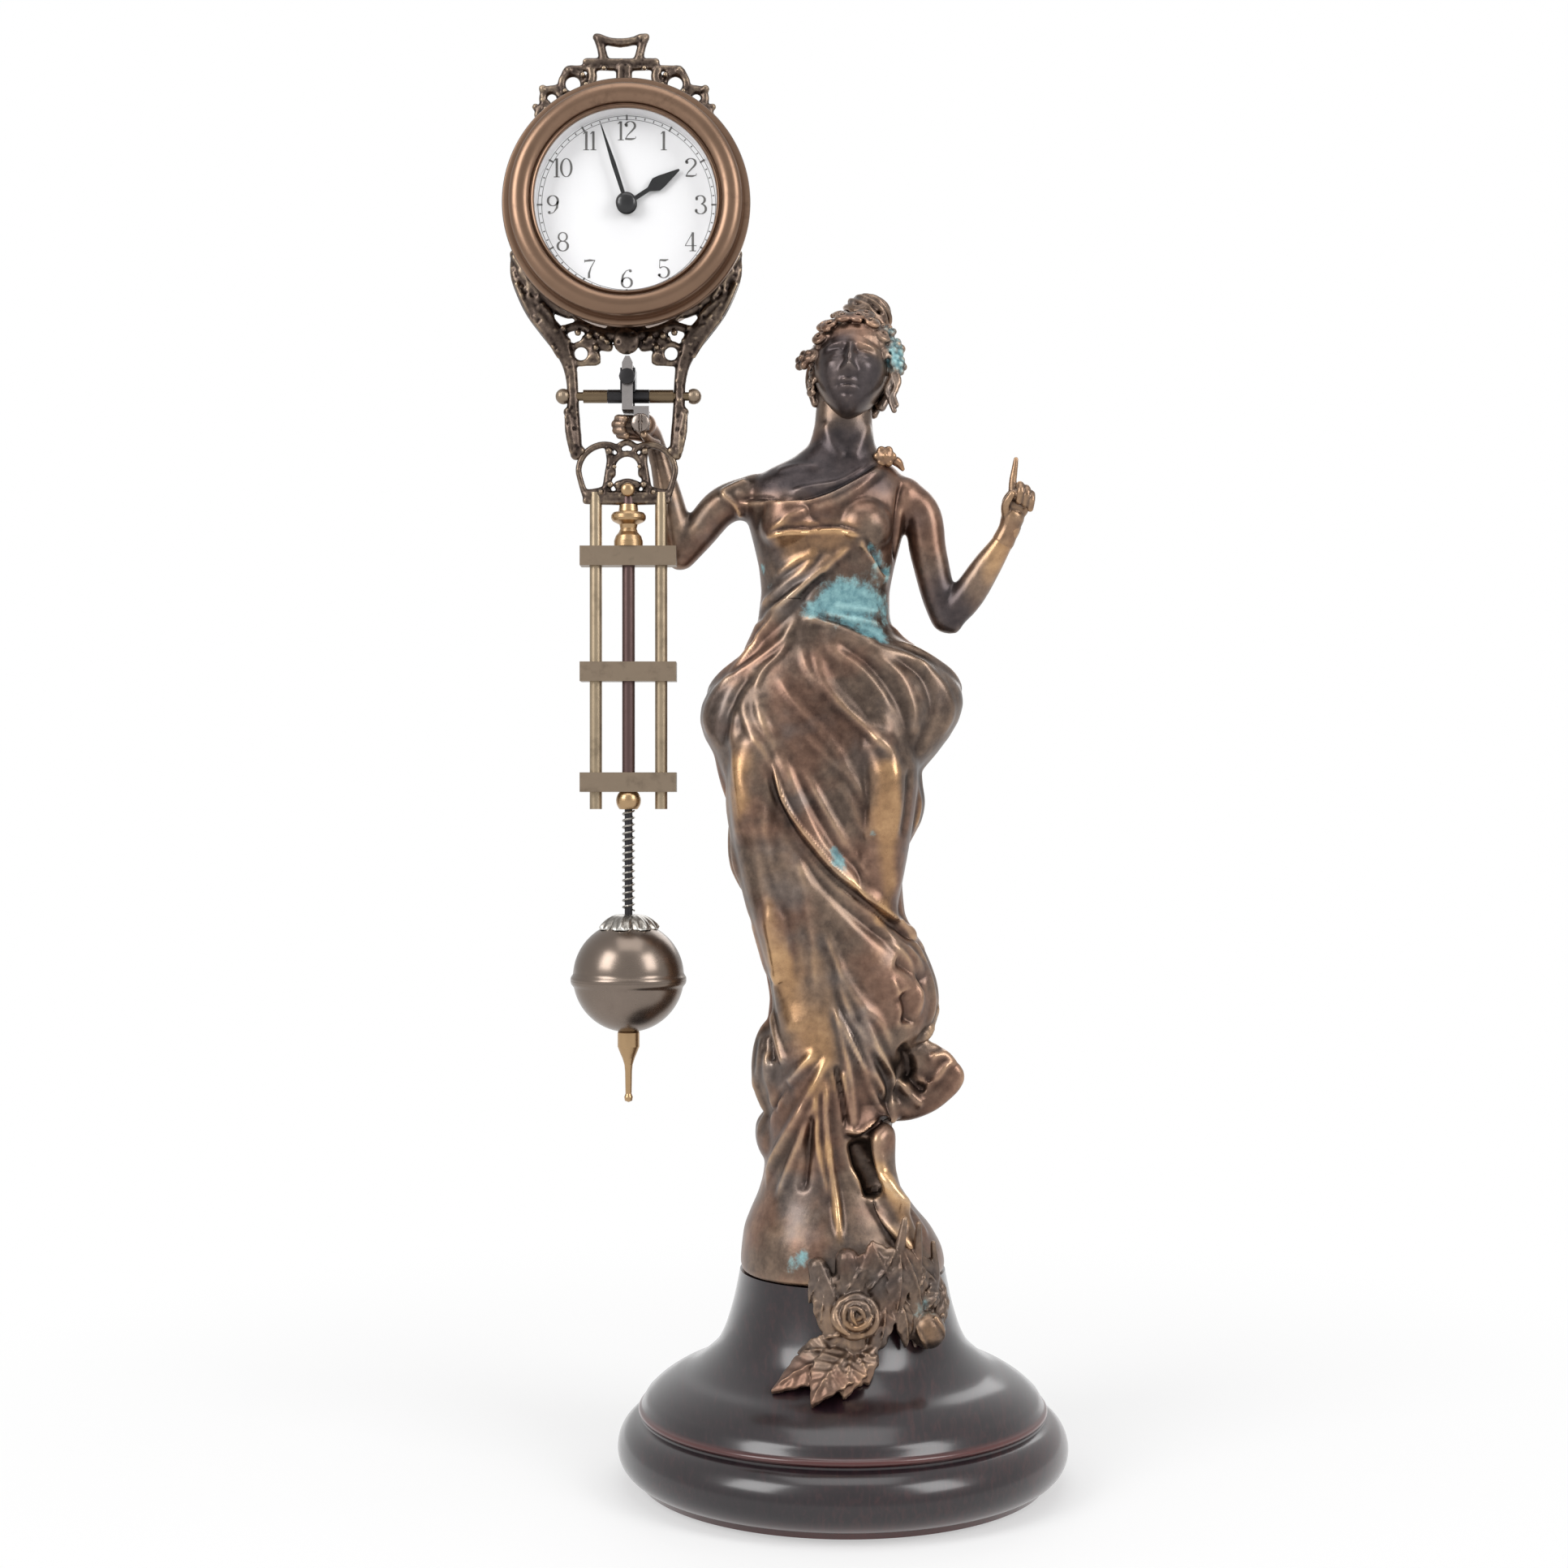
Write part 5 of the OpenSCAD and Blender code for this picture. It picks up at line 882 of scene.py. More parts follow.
# %% [markdown]
# The back isn't in the picture. Cloth that is gathered at one hip and falls freely has
# long folds that start close together and spread towards the floor, so it gets those.

# %% Folds of the back
BACK_FOLDS = []
for k, (top, bottom, sway) in enumerate([(-24, -19, -2), (-19, -15, 3), (-14, -11, -1), (-9, -7, 3),
        (-4, -3, 1),
                                         (1, 1, 4), (6, 4, 1), (11, 7, 3), (16, 10, -1)]):
    lift = 6*(k % 3)
    BACK_FOLDS.append(([(top*0.8 - 2, 208 - lift), (top, 186), (0.5*(top + bottom) + sway, 140),
        (bottom, 100), (bottom*1.15, 74 - lift*0.3)],
                       1.5, 1.3 if k % 2 else 1.0, 0.3 if k % 2 else -0.3))
    BACK_FOLDS.append(([(top*0.8 + 0.4, 200 - lift), (top + 2.6, 176), (0.5*(top + bottom) + sway + 2, 132),
        (bottom + 1.8, 96)],
                       1.1, -0.9))
BACK_FOLDS += [([(-20, 212), (-8, 205), (6, 206), (12, 211)], 1.2, 0.9),
               ([(-24, 200), (-12, 190), (4, 186), (18, 192)], 1.5, 1.1, 0.3),
               ([(-26, 192), (-14, 180), (2, 172), (16, 180)], 1.5, 1.0, 0.3),
               ([(-4, 262), (-4, 246), (-4, 228)], 1.6, -0.7),
               ([(-14, 246), (-11, 236), (-14, 228)], 1.4, 0.5), ([(6, 246), (3, 236), (6, 228)], 1.4, 0.5),
               ([(14, 248), (2, 238), (-12, 231), (-22, 229)], 0.8, 1.0, 0, "hem"),
               ([(12, 243), (0, 234), (-13, 227)], 1.0, 0.7)]
press(figure, BACK_FOLDS, view="back")
SIDE_FOLDS = [([(y0, top), (y0*0.9 + 1, 160), (y0 + 1.5, 128), (y0*1.1, low)], 1.5, h, lean)
              for y0, top, low, h, lean in ((-7, 178, 84, 1.0, 0.3), (-2, 184, 78, 1.1, -0.3),
              (3, 186, 74, 1.2, 0.3), (8, 182, 80, 1.1, -0.3))]
SIDE_FOLDS += [([(-8, 206), (-2, 198), (6, 192)], 1.4, 1.0, 0.3),
    ([(-6, 211), (1, 204), (9, 200)], 1.3, 0.9, 0.3)]
press(figure, SIDE_FOLDS, view="left")
press(figure, SIDE_FOLDS, view="right")
even(figure, 1, 0.4)
print("back folds", len(BACK_FOLDS))

# %% [markdown]
# The maker rubbed the high places golden, left the skin nearly black and brushed
# verdigris on the waist. The golden streaks down both thighs and along the rolled edge
# are painted highlights, where the lamps strike. Each such place is a soft round spot or
# a soft line, thrown on like the folds.

# %% Rubbed places, painted highlights and green places
def spots(obj, name, places, lines=()):
    p, n = points_of(obj), normals_of(obj)
    tree = BVHTree.FromObject(obj, bpy.context.evaluated_depsgraph_get())
    value = np.zeros(len(p))
    for px, py, radius, amount in places:
        c = thrown(tree, [(px, py), (px + 1, py + 1)])[0]
        d = p - c
        value += amount*np.exp(-(d*d).sum(axis=1)/radius**2)
    for curve, radius, amount in lines:
        line = thrown(tree, curve)
        near = np.min([((p - c)**2).sum(axis=1) for c in line], axis=0)
        value += amount*np.exp(-near/radius**2)
    attribute(obj, name, value)
    return value

GREEN = [(1043, 731, 4.4, 1.1), (1075, 738, 4.2, 0.9), (1020, 742, 3.6, 0.8), (1000, 752, 2.6, 0.8),
    (1050, 760, 4, 0.7), (1069, 773, 3, 0.9),
         (1088, 783, 2.4, 0.9), (1072, 675, 1.8, 0.9), (1080, 690, 1.9, 0.8), (1092, 704, 2, 0.7),
         (1107, 702, 1.5, 0.6), (1092, 755, 3.4, 0.8),
         (940, 703, 1.8, 0.5), (936, 722, 1.6, 0.4), (1034, 1062, 2.2, 0.75), (1028, 1050, 1.6, 0.6),
         (1074, 1028, 1.0, 0.6), (986, 1552, 2.2, 0.7), (975, 1560, 2, 0.4)]
# golden spots are rubbed places, with painted highlights on the thighs near (1085, 1000) and (910, 960);
# negative amounts darken the skin and some places of the cloth
RUBBED_AND_HIGHLIT = [(1085, 1000, 7, 0.75), (1080, 945, 5, 0.45), (1040, 870, 8, 0.35), (960, 1010, 7, 0.35),
    (1000, 665, 7, 0.75), (960, 660, 5, 0.6), (1040, 660, 5, 0.7), (985, 690, 6, 0.6),
        (912, 940, 4, 0.8), (908, 985, 3.6, 0.9), (930, 1150, 4, 0.5), (965, 1200, 6, 0.7),
        (985, 1260, 6, 0.7), (1010, 1300, 5, 0.8), (1024, 1340, 4, 0.6),
        (1080, 1180, 4, 0.3), (1128, 1010, 3, 0.6), (1020, 1420, 2.6, 0.7), (1030, 1490, 3, 0.6),
        (1095, 1450, 2.4, 0.6), (1125, 1520, 5, 0.4), (960, 1510, 5, 0.4),
        (1000, 1585, 5, 0.3), (1225, 700, 5, 0.3), (1240, 665, 4, 0.4), (850, 655, 5, 0.35),
        (818, 600, 6, 0.35), (1108, 630, 3, 0.5),
        (1120, 1330, 3, 0.4), (1080, 1230, 3, 0.3), (910, 630, 3, 0.5),
        (1040, 560, 9, -1.0), (1000, 585, 8, -0.8), (945, 590, 6, -0.7), (1125, 640, 6, -0.5),
        (1165, 730, 9, -0.7), (1180, 770, 5, -0.5), (1090, 600, 5, -0.4),
        (1065, 1250, 3, -0.3), (1140, 1200, 5, -0.4), (890, 870, 6, -0.3), (1160, 860, 7, -0.4),
        (960, 1330, 4, -0.3)]
# the lines down both thighs and the one along the rolled edge are painted highlights; the others are rubbed
# golden places
RUBBED_AND_HIGHLIT_LINES = [([(1096, 950), (1096, 1000), (1094, 1050), (1096, 1100), (1088, 1130)], 2.6, 0.95),
    ([(1050, 1090), (1080, 1122), (1112, 1150), (1140, 1182)], 1.3, 0.6),
                ([(1002, 1340), (1012, 1400), (1022, 1460), (1036, 1530)], 1.6, 0.6),
                ([(1084, 1440), (1096, 1470), (1112, 1500)], 1.8, 0.7),
                ([(948, 1120), (960, 1180), (975, 1240)], 3.4, 0.5),
                ([(905, 950), (908, 990), (906, 1030)], 2.4, 0.6),
                ([(1130, 965), (1133, 1000), (1128, 1030)], 1.8, 0.6),
                ([(1240, 655), (1226, 690), (1214, 716)], 3.2, 0.4),
                ([(1010, 1170), (1020, 1240), (1010, 1290)], 4.0, 0.4)]
green, warm = spots(figure, "verdigris", GREEN), spots(figure, "warm", RUBBED_AND_HIGHLIT, RUBBED_AND_HIGHLIT_LINES)
print("green", round(float(green.max()), 2), "warm", round(float(warm.max()), 2))
relief_of(figure, reach=10, gain=1.5, offset=0.4)

# %% [markdown]
# The casting is then sawn at the same planes as the exact parts, so that every section
# stays a closed piece of its own and the seams lie exactly on each other.

# %% Sections of the figure
def sawn(source, name, cuts):
    only(source)
    bpy.ops.object.duplicate()
    obj = bpy.context.object
    obj.name = obj.data.name = name
    bpy.ops.object.mode_set(mode="EDIT")
    for place, way in cuts:
        bpy.ops.mesh.select_all(action="SELECT")
        bpy.ops.mesh.bisect(plane_co=place, plane_no=way, use_fill=True, clear_inner=False,
            clear_outer=True)
    bpy.ops.object.mode_set(mode="OBJECT")
    return obj

FOOT_Z, MOUND_Z, WAIST_Z, NECK_Z, LEFT_X, RIGHT_X = 57.5, 72.0, 215.0, 264.0, -25.4, 16.8
UP, DOWN = (0, 0, 1), (0, 0, -1)
LOW_ARM = 205.0
sections = {
    "bronze_foot": (((0, 0, FOOT_Z), UP),),
    "bronze_mound": (((0, 0, FOOT_Z), DOWN), ((0, 0, MOUND_Z), UP)),
    "bronze_dress": (((0, 0, MOUND_Z), DOWN), ((0, 0, WAIST_Z), UP)),
    "bronze_bodice": (((0, 0, WAIST_Z), DOWN), ((0, 0, NECK_Z), UP), ((LEFT_X, 0, 0), (-1, 0, 0)),
    ((RIGHT_X, 0, 0), (1, 0, 0)))}
stands_for = {"bronze_foot": "figure_foot", "bronze_mound": "figure_mound", "bronze_dress": "figure_dress",
    "bronze_bodice": "figure_torso"}
for name, cuts in sections.items():
    piece = sawn(figure, name, cuts)
    if name == "bronze_dress":
        # the elbow that hangs beside the waist belongs to the arm's section
        place = points_of(piece)
        elbow = (place[:, 0] > RIGHT_X + 0.4) & (place[:, 2] > LOW_ARM - 0.5)
        only(piece)
        bpy.ops.object.mode_set(mode="EDIT")
        bpy.ops.mesh.select_mode(type="VERT")
        bpy.ops.mesh.select_all(action="DESELECT")
        bpy.ops.object.mode_set(mode="OBJECT")
        piece.data.vertices.foreach_set("select", elbow)
        bpy.ops.object.mode_set(mode="EDIT")
        bpy.ops.mesh.delete(type="VERT")
        bpy.ops.object.mode_set(mode="OBJECT")
    settle(piece, "stand", FIGURE, stands_for[name])
    print(name, len(piece.data.vertices))

# %% [markdown]
# The hands need a finer skin than the body: a fist that grips the fork's tab from behind,
# and one with the first finger up. They are fused on their own and joined to their arms
# inside the wrist, where both have the same thickness.

# %% Hands and arms
def finger(points, r0, r1):
    count = len(points)
    return limb("finger", [(*p, r0 + (r1 - r0)*k/(count - 1)) for k, p in enumerate(points)], count=14,
        n=12)

grip = [limb("wrist", [(-44.9, -1.1, 250, 2.6), (-45.8, -1.8, 253.2, 2.45), (-46.8, -4.4, 255.8, 2.5),
    (-47.8, -7.6, 257.2, 2.4)]),
        ball("palm", (-48.2, -9.2, 257.5), (2.9, 3.4, 2.75))]
for z, r, reach in ((259.0, 1.0, 0.0), (257.6, 1.1, -0.7), (256.1, 1.05, -0.5), (254.9, 0.9, 0.4)):
    grip.append(finger([(-46.6, -6.0, z - 0.8), (-50.4, -7.4, z), (-53.8 + reach, -8.6, z),
        (-54.6 + reach, -10.6, z - 0.2), (-52.8 + reach, -11.8, z - 0.5)], r*1.15, r))
grip.append(finger([(-45.8, -5.2, 253.6), (-47.2, -8.8, 253.9), (-48.2, -11.6, 254.7)], 1.35, 1.0))
grip_hand = fuse("grip_hand", grip, 0.2, rounds=3)

point = [limb("wrist", [(39.0, -6.3, 229.7, 2.8), (40.3, -6.8, 232.6, 2.6), (41.2, -7.2, 235.4, 2.9)]),
         ball("palm", (41.9, -7.5, 238.4), (3.5, 2.3, 4.0), (0, 12, 0)),
         finger([(41.2, -7.4, 240.6), (41.2, -7.6, 244), (41.6, -7.9, 247), (41.9, -8.1, 249.3)], 1.15,
         0.62),
         finger([(39.6, -8.0, 235.4), (39.2, -10.0, 238), (40.6, -11.2, 240.4)], 1.25, 0.85)]
for x, z, r in ((42.7, 242.4, 1.1), (44.2, 241.6, 1.05), (45.4, 240.4, 0.92)):
    point.append(finger([(x - 0.6, -7.2, z - 2.4), (x, -8.0, z), (x + 0.1, -10.0, z + 0.4),
        (x, -11.2, z - 1.4), (x - 0.3, -10.4, z - 3.4)], r, r*0.9))
point_hand = fuse("point_hand", point, 0.2, rounds=3)
for hand, warm in ((grip_hand, 0.25), (point_hand, 0.5)):
    attribute(hand, "verdigris", np.zeros(len(hand.data.vertices)))
    attribute(hand, "warm", np.full(len(hand.data.vertices), warm))
    relief_of(hand, gain=2.2)

def with_hand(name, hand, cuts, node):
    arm = sawn(figure, name, cuts)
    bpy.ops.object.select_all(action="DESELECT")
    hand.select_set(True)
    arm.select_set(True)
    bpy.context.view_layer.objects.active = arm
    bpy.ops.object.join()
    settle(arm, "stand", FIGURE, node)
    print(name, len(arm.data.vertices))
    return arm

with_hand("bronze_arm_raised", grip_hand, (((LEFT_X, 0, 0), (1, 0, 0)), ((0, 0, 214), DOWN)),
    "figure_arm_raised")
with_hand("bronze_arm_pointing", point_hand, (((RIGHT_X, 0, 0), (-1, 0, 0)), ((0, 0, LOW_ARM), DOWN)),
    "figure_arm_pointing")

# %% [markdown]
# The head is tilted back and a little to the side. The face is a plain classical one,
# made from the usual drawing rules: eyes half way up, five eye widths across, the nose a
# quarter of the head, the mouth a third below it. Its features are soft swellings and
# hollows on an egg; the hair, the bun and the flowers are small limbs and balls.

# %% Head frame
HEAD = np.array([1.9, -3.4, 271.6])
SIZE = 1.09
FWD = np.array([-0.04, -math.cos(math.radians(20)), math.sin(math.radians(20))])
FWD /= np.linalg.norm(FWD)
TOP = np.array([0.09, math.sin(math.radians(20)), math.cos(math.radians(20))])
TOP -= FWD*TOP.dot(FWD)
TOP /= np.linalg.norm(TOP)
OUT = np.cross(TOP, FWD)
if OUT[0] < 0:
    OUT = -OUT
print("right of the face", OUT.round(2), "up", TOP.round(2))

def on_head(x, y, z):
    # x to the picture's right, y forward out of the face, z up
    return tuple(HEAD + SIZE*(OUT*x + FWD*y + TOP*z))

# %% Egg and features
bpy.ops.object.select_all(action="DESELECT")
bpy.ops.mesh.primitive_uv_sphere_add(segments=120, ring_count=96, radius=1.0)
egg = bpy.context.object
p = points_of(egg)
x, y, z = p[:, 0].copy(), -p[:, 1].copy(), p[:, 2].copy()
low = np.clip(-z, 0, 1)
width = 8.3*(1 - 0.36*low**1.7)
deep = np.where(y > 0, 8.4*(1 - 0.10*low), 9.2)
hz = np.where(z > 0, 11.4, 11.6)
fx, fz = x*width, z*hz
fy = y*deep - np.where(y < 0, 2.8*low**1.4, 0)*np.abs(y)

def swell(cx, cz, sx, sz, h):
    return h*np.exp(-((fx - cx)/sx)**2 - ((fz - cz)/sz)**2)

front = np.clip(y*1.6, 0, 1)
lift = swell(0, 1.2, 0.8, 1.8, 0.75) + swell(0, -1.4, 0.85, 1.9, 1.25) + swell(0, -3.7, 1.05, 1.0, 1.85)
lift += swell(0, -4.5, 1.9, 0.55, 0.35) + swell(-1.35, -4.1, 0.7, 0.65, 0.55) + swell(1.35, -4.1, 0.7, 0.65,
    0.55)
for s in (-1, 1):
    lift += swell(3.3*s, 0.5, 2.1, 1.5, -1.35) + swell(3.3*s, 0.15, 1.35, 0.8, 0.95)
    lift += swell(3.3*s, 0.85, 1.55, 0.28, 0.28) + swell(3.3*s, -0.55, 1.35, 0.25, 0.16) + swell(3.3*s, 0.1,
        1.3, 0.14, -0.2)
    lift += swell(3.5*s, 2.3, 2.3, 0.7, 0.55) + swell(1.6*s, 0.9, 0.7, 1.0, -0.45)
    lift += swell(4.6*s, -2.6, 2.0, 2.0, 0.5) + swell(2.5*s, -7.0, 0.6, 0.8, -0.3) + swell(1.9*s, -4.9, 0.6,
        1.2, -0.22)
lift += swell(0, -5.4, 0.35, 0.7, -0.18) + swell(-0.7, -6.25, 0.95, 0.42, 0.5) + swell(0.7, -6.25, 0.95,
    0.42, 0.5)
lift += swell(0, -6.9, 2.0, 0.22, -0.5) + swell(0, -7.6, 1.35, 0.5, 0.68) + swell(0, -8.6, 1.6, 0.5,
    -0.3) + swell(0, -10.0, 1.7, 1.3, 0.85)
fy = fy + lift*front
set_points(egg, HEAD + SIZE*(np.outer(fx, OUT) + np.outer(fy, FWD) + np.outer(fz, TOP)))
print("egg", len(p))

# %% Neck, hair, bun and flowers
def curl(centre, radius, thick, turns=1.6, facing=(0, 1, 0), start=0.0, rise=0.35):
    # a small coil of hair lying on the head; facing is its axis in the head's frame
    f = np.array(facing, float)
    f /= np.linalg.norm(f)
    a = np.cross(f, (0.3, 0.2, 1.0))
    a /= np.linalg.norm(a)
    b = np.cross(f, a)
    pts = []
    for t in np.linspace(0, turns*2*math.pi, int(9*turns) + 2):
        r = radius*(1 - 0.62*t/(turns*2*math.pi))
        q = np.array(centre) + r*(a*math.cos(t + start) + b*math.sin(t + start)) + f*rise*t/(2*math.pi)
        pts.append((*on_head(*q), thick*(1 - 0.25*t/(turns*2*math.pi))))
    return limb("curl", pts, count=26, n=10)

def blossom(centre, radius, facing, petals=6):
    f = np.array(facing, float)
    f /= np.linalg.norm(f)
    a = np.cross(f, (0.1, 0.3, 1.0))
    a /= np.linalg.norm(a)
    b = np.cross(f, a)
    out = [ball("eye_of_flower", on_head(*(np.array(centre) + f*radius*0.3)), (radius*0.32,)*3,
        segments=16)]
    for k in range(petals):
        t = 2*math.pi*k/petals
        c = np.array(centre) + radius*0.62*(a*math.cos(t) + b*math.sin(t))
        out.append(ball("petal", on_head(*c), (radius*0.42,)*3, segments=16))
    return out

fine = [egg, limb("neck", [(0.3, 0.2, 261, 5.6), (0.5, 0.2, 264.2, 6.95), (1.0, 0, 268, 6.7),
    (1.6, -0.2, 274, 5.6)], n=40)]
fine.append(ball("hair_back", on_head(0.2, -3.0, 2.4), (9.6, 9.0, 9.4)))
fine.append(ball("hair_top", on_head(0.3, 0.2, 5.4), (9.3, 8.2, 8.4)))
for k in range(15):
    # waved strands from the brow over the crown to the bun
    a = math.radians(-88 + 176*k/14)
    s, c = math.sin(a), math.cos(a)
    wave = 0.5 if k % 2 else -0.5
    pts = [(8.4*s, 5.9*c + 0.6, 6.0*c + 1.2*(1 - c) + 0.4), (9.2*s, 3.4*c - 0.8, 9.2*c + 1.6 + wave),
        (8.0*s, -0.4, 11.4*c + 0.8 - wave*0.4),
           (5.4*s + 0.8, -2.8, 12.8*c + 0.4 + wave*0.5), (2.4*s + 1.6, -3.8, 13.6)]
    fine.append(limb("strand", [(*on_head(*q), 0.95 - 0.05*i) for i, q in enumerate(pts)], count=22, n=10))
for k in range(11):
    # strands at the back and the sides, combed up
    a = math.radians(100 + 160*k/10)
    s, c = math.sin(a), math.cos(a)
    pts = [(7.6*s, 7.0*c - 3.0, -6.2 + 1.4*(k % 2)), (9.4*s, 9.4*c - 2.4, -1.0), (8.6*s, 8.4*c - 2.6, 5.4),
        (5.0*s, 5.4*c - 3.2, 10.6), (2.0*s + 1.4, 2.0*c - 3.6, 13.0)]
    fine.append(limb("strand", [(*on_head(*q), 1.15) for q in pts], count=22, n=10))
for x, y, z, r, t in ((-7.4, 4.4, 5.4, 1.7, 0.62), (-5.2, 6.4, 7.6, 1.8, 0.66), (-2.4, 7.2, 9.2, 1.9, 0.7),
        (0.9, 7.2, 9.6, 1.8, 0.66), (4.0, 6.4, 8.8, 1.8, 0.66),
                      (6.6, 4.8, 6.8, 1.7, 0.62), (-8.6, 2.6, 1.8, 1.6, 0.6), (8.4, 3.0, 3.2, 1.6, 0.62),
                      (-6.6, 2.6, 9.8, 1.8, 0.66), (-3.4, 3.6, 12.0, 1.8, 0.7), (2.6, 4.6, 12.0, 1.8, 0.7)):
    fine.append(curl((x, y, z), r, t, facing=(x*0.7, 8, z*0.6), start=x))
bun = (2.2, -4.2, 16.4)
fine.append(ball("bun", on_head(*bun), (5.0, 5.0, 4.7)))
for k in range(9):
    a = 2*math.pi*k/9
    pts = [(bun[0] + r*math.cos(a + 0.9*i), bun[1] + r*math.sin(a + 0.9*i), bun[2] + h) for i,
        (r, h) in enumerate(((5.0, -3.0), (5.4, 0.2), (4.6, 2.8), (2.6, 4.4), (0.8, 4.9)))]
    fine.append(limb("bun_strand", [(*on_head(*q), 0.85) for q in pts], count=20, n=10))
fine.append(curl((bun[0] - 1.6, bun[1] + 4.4, bun[2] + 0.8), 2.4, 0.8, 2.0, (-1.2, 4, 1.6)))
fine.append(curl((bun[0] + 2.6, bun[1] + 3.8, bun[2] - 0.8), 1.8, 0.7, 1.8, (2, 4, 0.6)))
fine += blossom((-10.6, 1.0, 1.6), 2.7, (-6, 6, 1))
fine += blossom((9.6, 1.6, 6.0), 2.8, (5, 6, 2)) + blossom((10.6, 1.2, 1.6), 2.5,
    (6, 6, -1)) + blossom((7.8, 2.6, 9.6), 2.2, (4, 6, 4), 5)
for dx, z0 in ((0.0, -2.0), (-1.5, -1.0), (-0.4, -3.4)):
    pts = [(10.0 + dx, 1.0, z0 + 2.4), (10.9 + dx, 0.8, z0 - 0.6), (10.0 + dx, 0.6, z0 - 3.6),
        (10.9 + dx, 0.4, z0 - 6.2)]
    fine.append(limb("lock", [(*on_head(*q), 0.95 - 0.08*i) for i, q in enumerate(pts)], count=18, n=10))
for z0 in (-1.0, -3.4, -5.8):
    fine.append(curl((-8.2, 0.6, z0), 1.3, 0.55, 1.5, (-5, 4, 0), z0))
head = fuse("bronze_head", fine, 0.24)
print("head skin", len(head.data.vertices))

# %% Section and finish of the head
p = points_of(head)
local = np.stack([(p - HEAD).dot(OUT), (p - HEAD).dot(FWD), (p - HEAD).dot(TOP)], axis=1)/SIZE
flower = np.exp(-(((local - [9.8, 1.6, 4.6])/[2.6, 4, 5.4])**2).sum(axis=1))
attribute(head, "verdigris", 0.95*flower + 0.5*np.exp(-(((local - [7.6, 2.6, 9.4])/2.0)**2).sum(axis=1)))
face = np.exp(-(((local - [0, 8, -3])/[8.6, 7, 9.5])**4).sum(axis=1))
brow = np.exp(-(((local - [3.4, 6.5, 2.6])/[3.4, 4, 2.6])**2).sum(axis=1))
attribute(head, "warm", 0.25 - 1.25*face + 0.95*brow - 0.6*np.clip((266 - p[:, 2])/4, 0, 1)*(1 - face))
relief_of(head, reach=14, gain=2.0)
settle(head, "stand", FIGURE, "figure_head")
print("head", [round(v, 4) for v in head.bound_box[0]], [round(v, 4) for v in head.bound_box[6]])

# %% [markdown]
# The base is one turned block: a torus foot, a narrow groove under a rounded lip, and a
# long hollow flare up to the bronze. A profile drawn with a few points and spun in many
# steps gives the clean, unbroken highlights of a lathe; the lip's edge is rubbed to red.

# %% Turning on a lathe
def turned(name, profile, centre=(0, 0, 0), steps=160, axis="Z", close=False):
    # profile: (radius, height) from the bottom outwards and up
    ring = [Vector((r, 0, z)) for r, z in profile]
    mesh = bpy.data.meshes.new(name)
    edges = [(i, i + 1) for i in range(len(ring) - 1)] + ([(len(ring) - 1, 0)] if close else [])
    mesh.from_pydata(ring, edges, [])
    obj = bpy.data.objects.new(name, mesh)
    bpy.context.scene.collection.objects.link(obj)
    only(obj)
    bpy.ops.object.mode_set(mode="EDIT")
    bpy.ops.mesh.select_all(action="SELECT")
    bpy.ops.mesh.spin(steps=steps, angle=2*math.pi, center=(0, 0, 0), axis=(0, 0, 1), use_auto_merge=True)
    bpy.ops.mesh.select_all(action="SELECT")
    bpy.ops.mesh.remove_doubles(threshold=0.0005)
    bpy.ops.mesh.normals_make_consistent(inside=False)
    bpy.ops.object.mode_set(mode="OBJECT")
    p = points_of(obj)
    if axis == "Y":
        p = np.stack([p[:, 0], p[:, 2], -p[:, 1]], axis=1)
    set_points(obj, p + np.array(centre, float))
    return obj

def to_front(obj, p, x, y, z):
    # the lathe's axis is laid along the depth, and the profile's heights count to the back
    set_points(obj, np.stack([x + p[:, 0], y + p[:, 2], z + p[:, 1]], axis=1))
    outward(obj)

def bow(cx, cz, r, a, b, n):
    return [(cx + r*math.cos(math.radians(t)), cz + r*math.sin(math.radians(t))) for t in np.linspace(a, b,
        n)]

BASE_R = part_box("base_wood")[1].x/MM - 0.01
TOP_R = 25.2
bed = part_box("base_wood")[0].z/MM
flare = smooth_path([(r, z, 0) for r, z in ((BASE_R - 7.2, 21.2), (BASE_R - 9.6, 23.4),
    (BASE_R - 13.4, 25.9), (BASE_R - 18.6, 28.4), (TOP_R + 8.2, 30.8),
        (TOP_R + 5.6, 33.4), (TOP_R + 3.8, 36.8), (TOP_R + 2.5, 40.6), (TOP_R + 1.4, 44.6),
        (TOP_R + 0.6, 48.4), (TOP_R, BASE_TOP))], 48)[:, :2]
profile = [(8, bed), (BASE_R - 5.2, bed)]
profile += [(BASE_R - 6.4 + 6.4*math.cos(t), 8.6 + (6.4 if t < 0 else 7.6)*math.sin(t))
            for t in np.radians(np.linspace(-72, 74, 30))]
profile += [(BASE_R - 5.15, 16.1), (BASE_R - 5.5, 16.3), (BASE_R - 5.6, 16.7)] + bow(BASE_R - 5.9, 17.7,
    0.85, -64, 74, 10)
profile += [(BASE_R - 6.0, 18.9), (BASE_R - 6.5, 20.1)] + [tuple(q) for q in flare]
profile += [(3, BASE_TOP), (3, bed + 9), (8, bed + 9)]
base = turned("turned_base", [(r, max(z, bed)) for r, z in profile], steps=180, close=True)
settle(base, "stand", WOOD, "base_wood", angle=40)
print("base", len(base.data.vertices), "radius", round(BASE_R, 1))

# %% [markdown]
# A spray of roses hangs from the bronze over the wood: an open rose, a bud and serrated
# leaves, all cast in one piece with the mantle of the figure. Leaves are small shaped
# sheets with a mid rib and side veins, laid on the wood where the picture shows them.

# %% The rose spray
wood_tree = BVHTree.FromObject(base, bpy.context.evaluated_depsgraph_get())

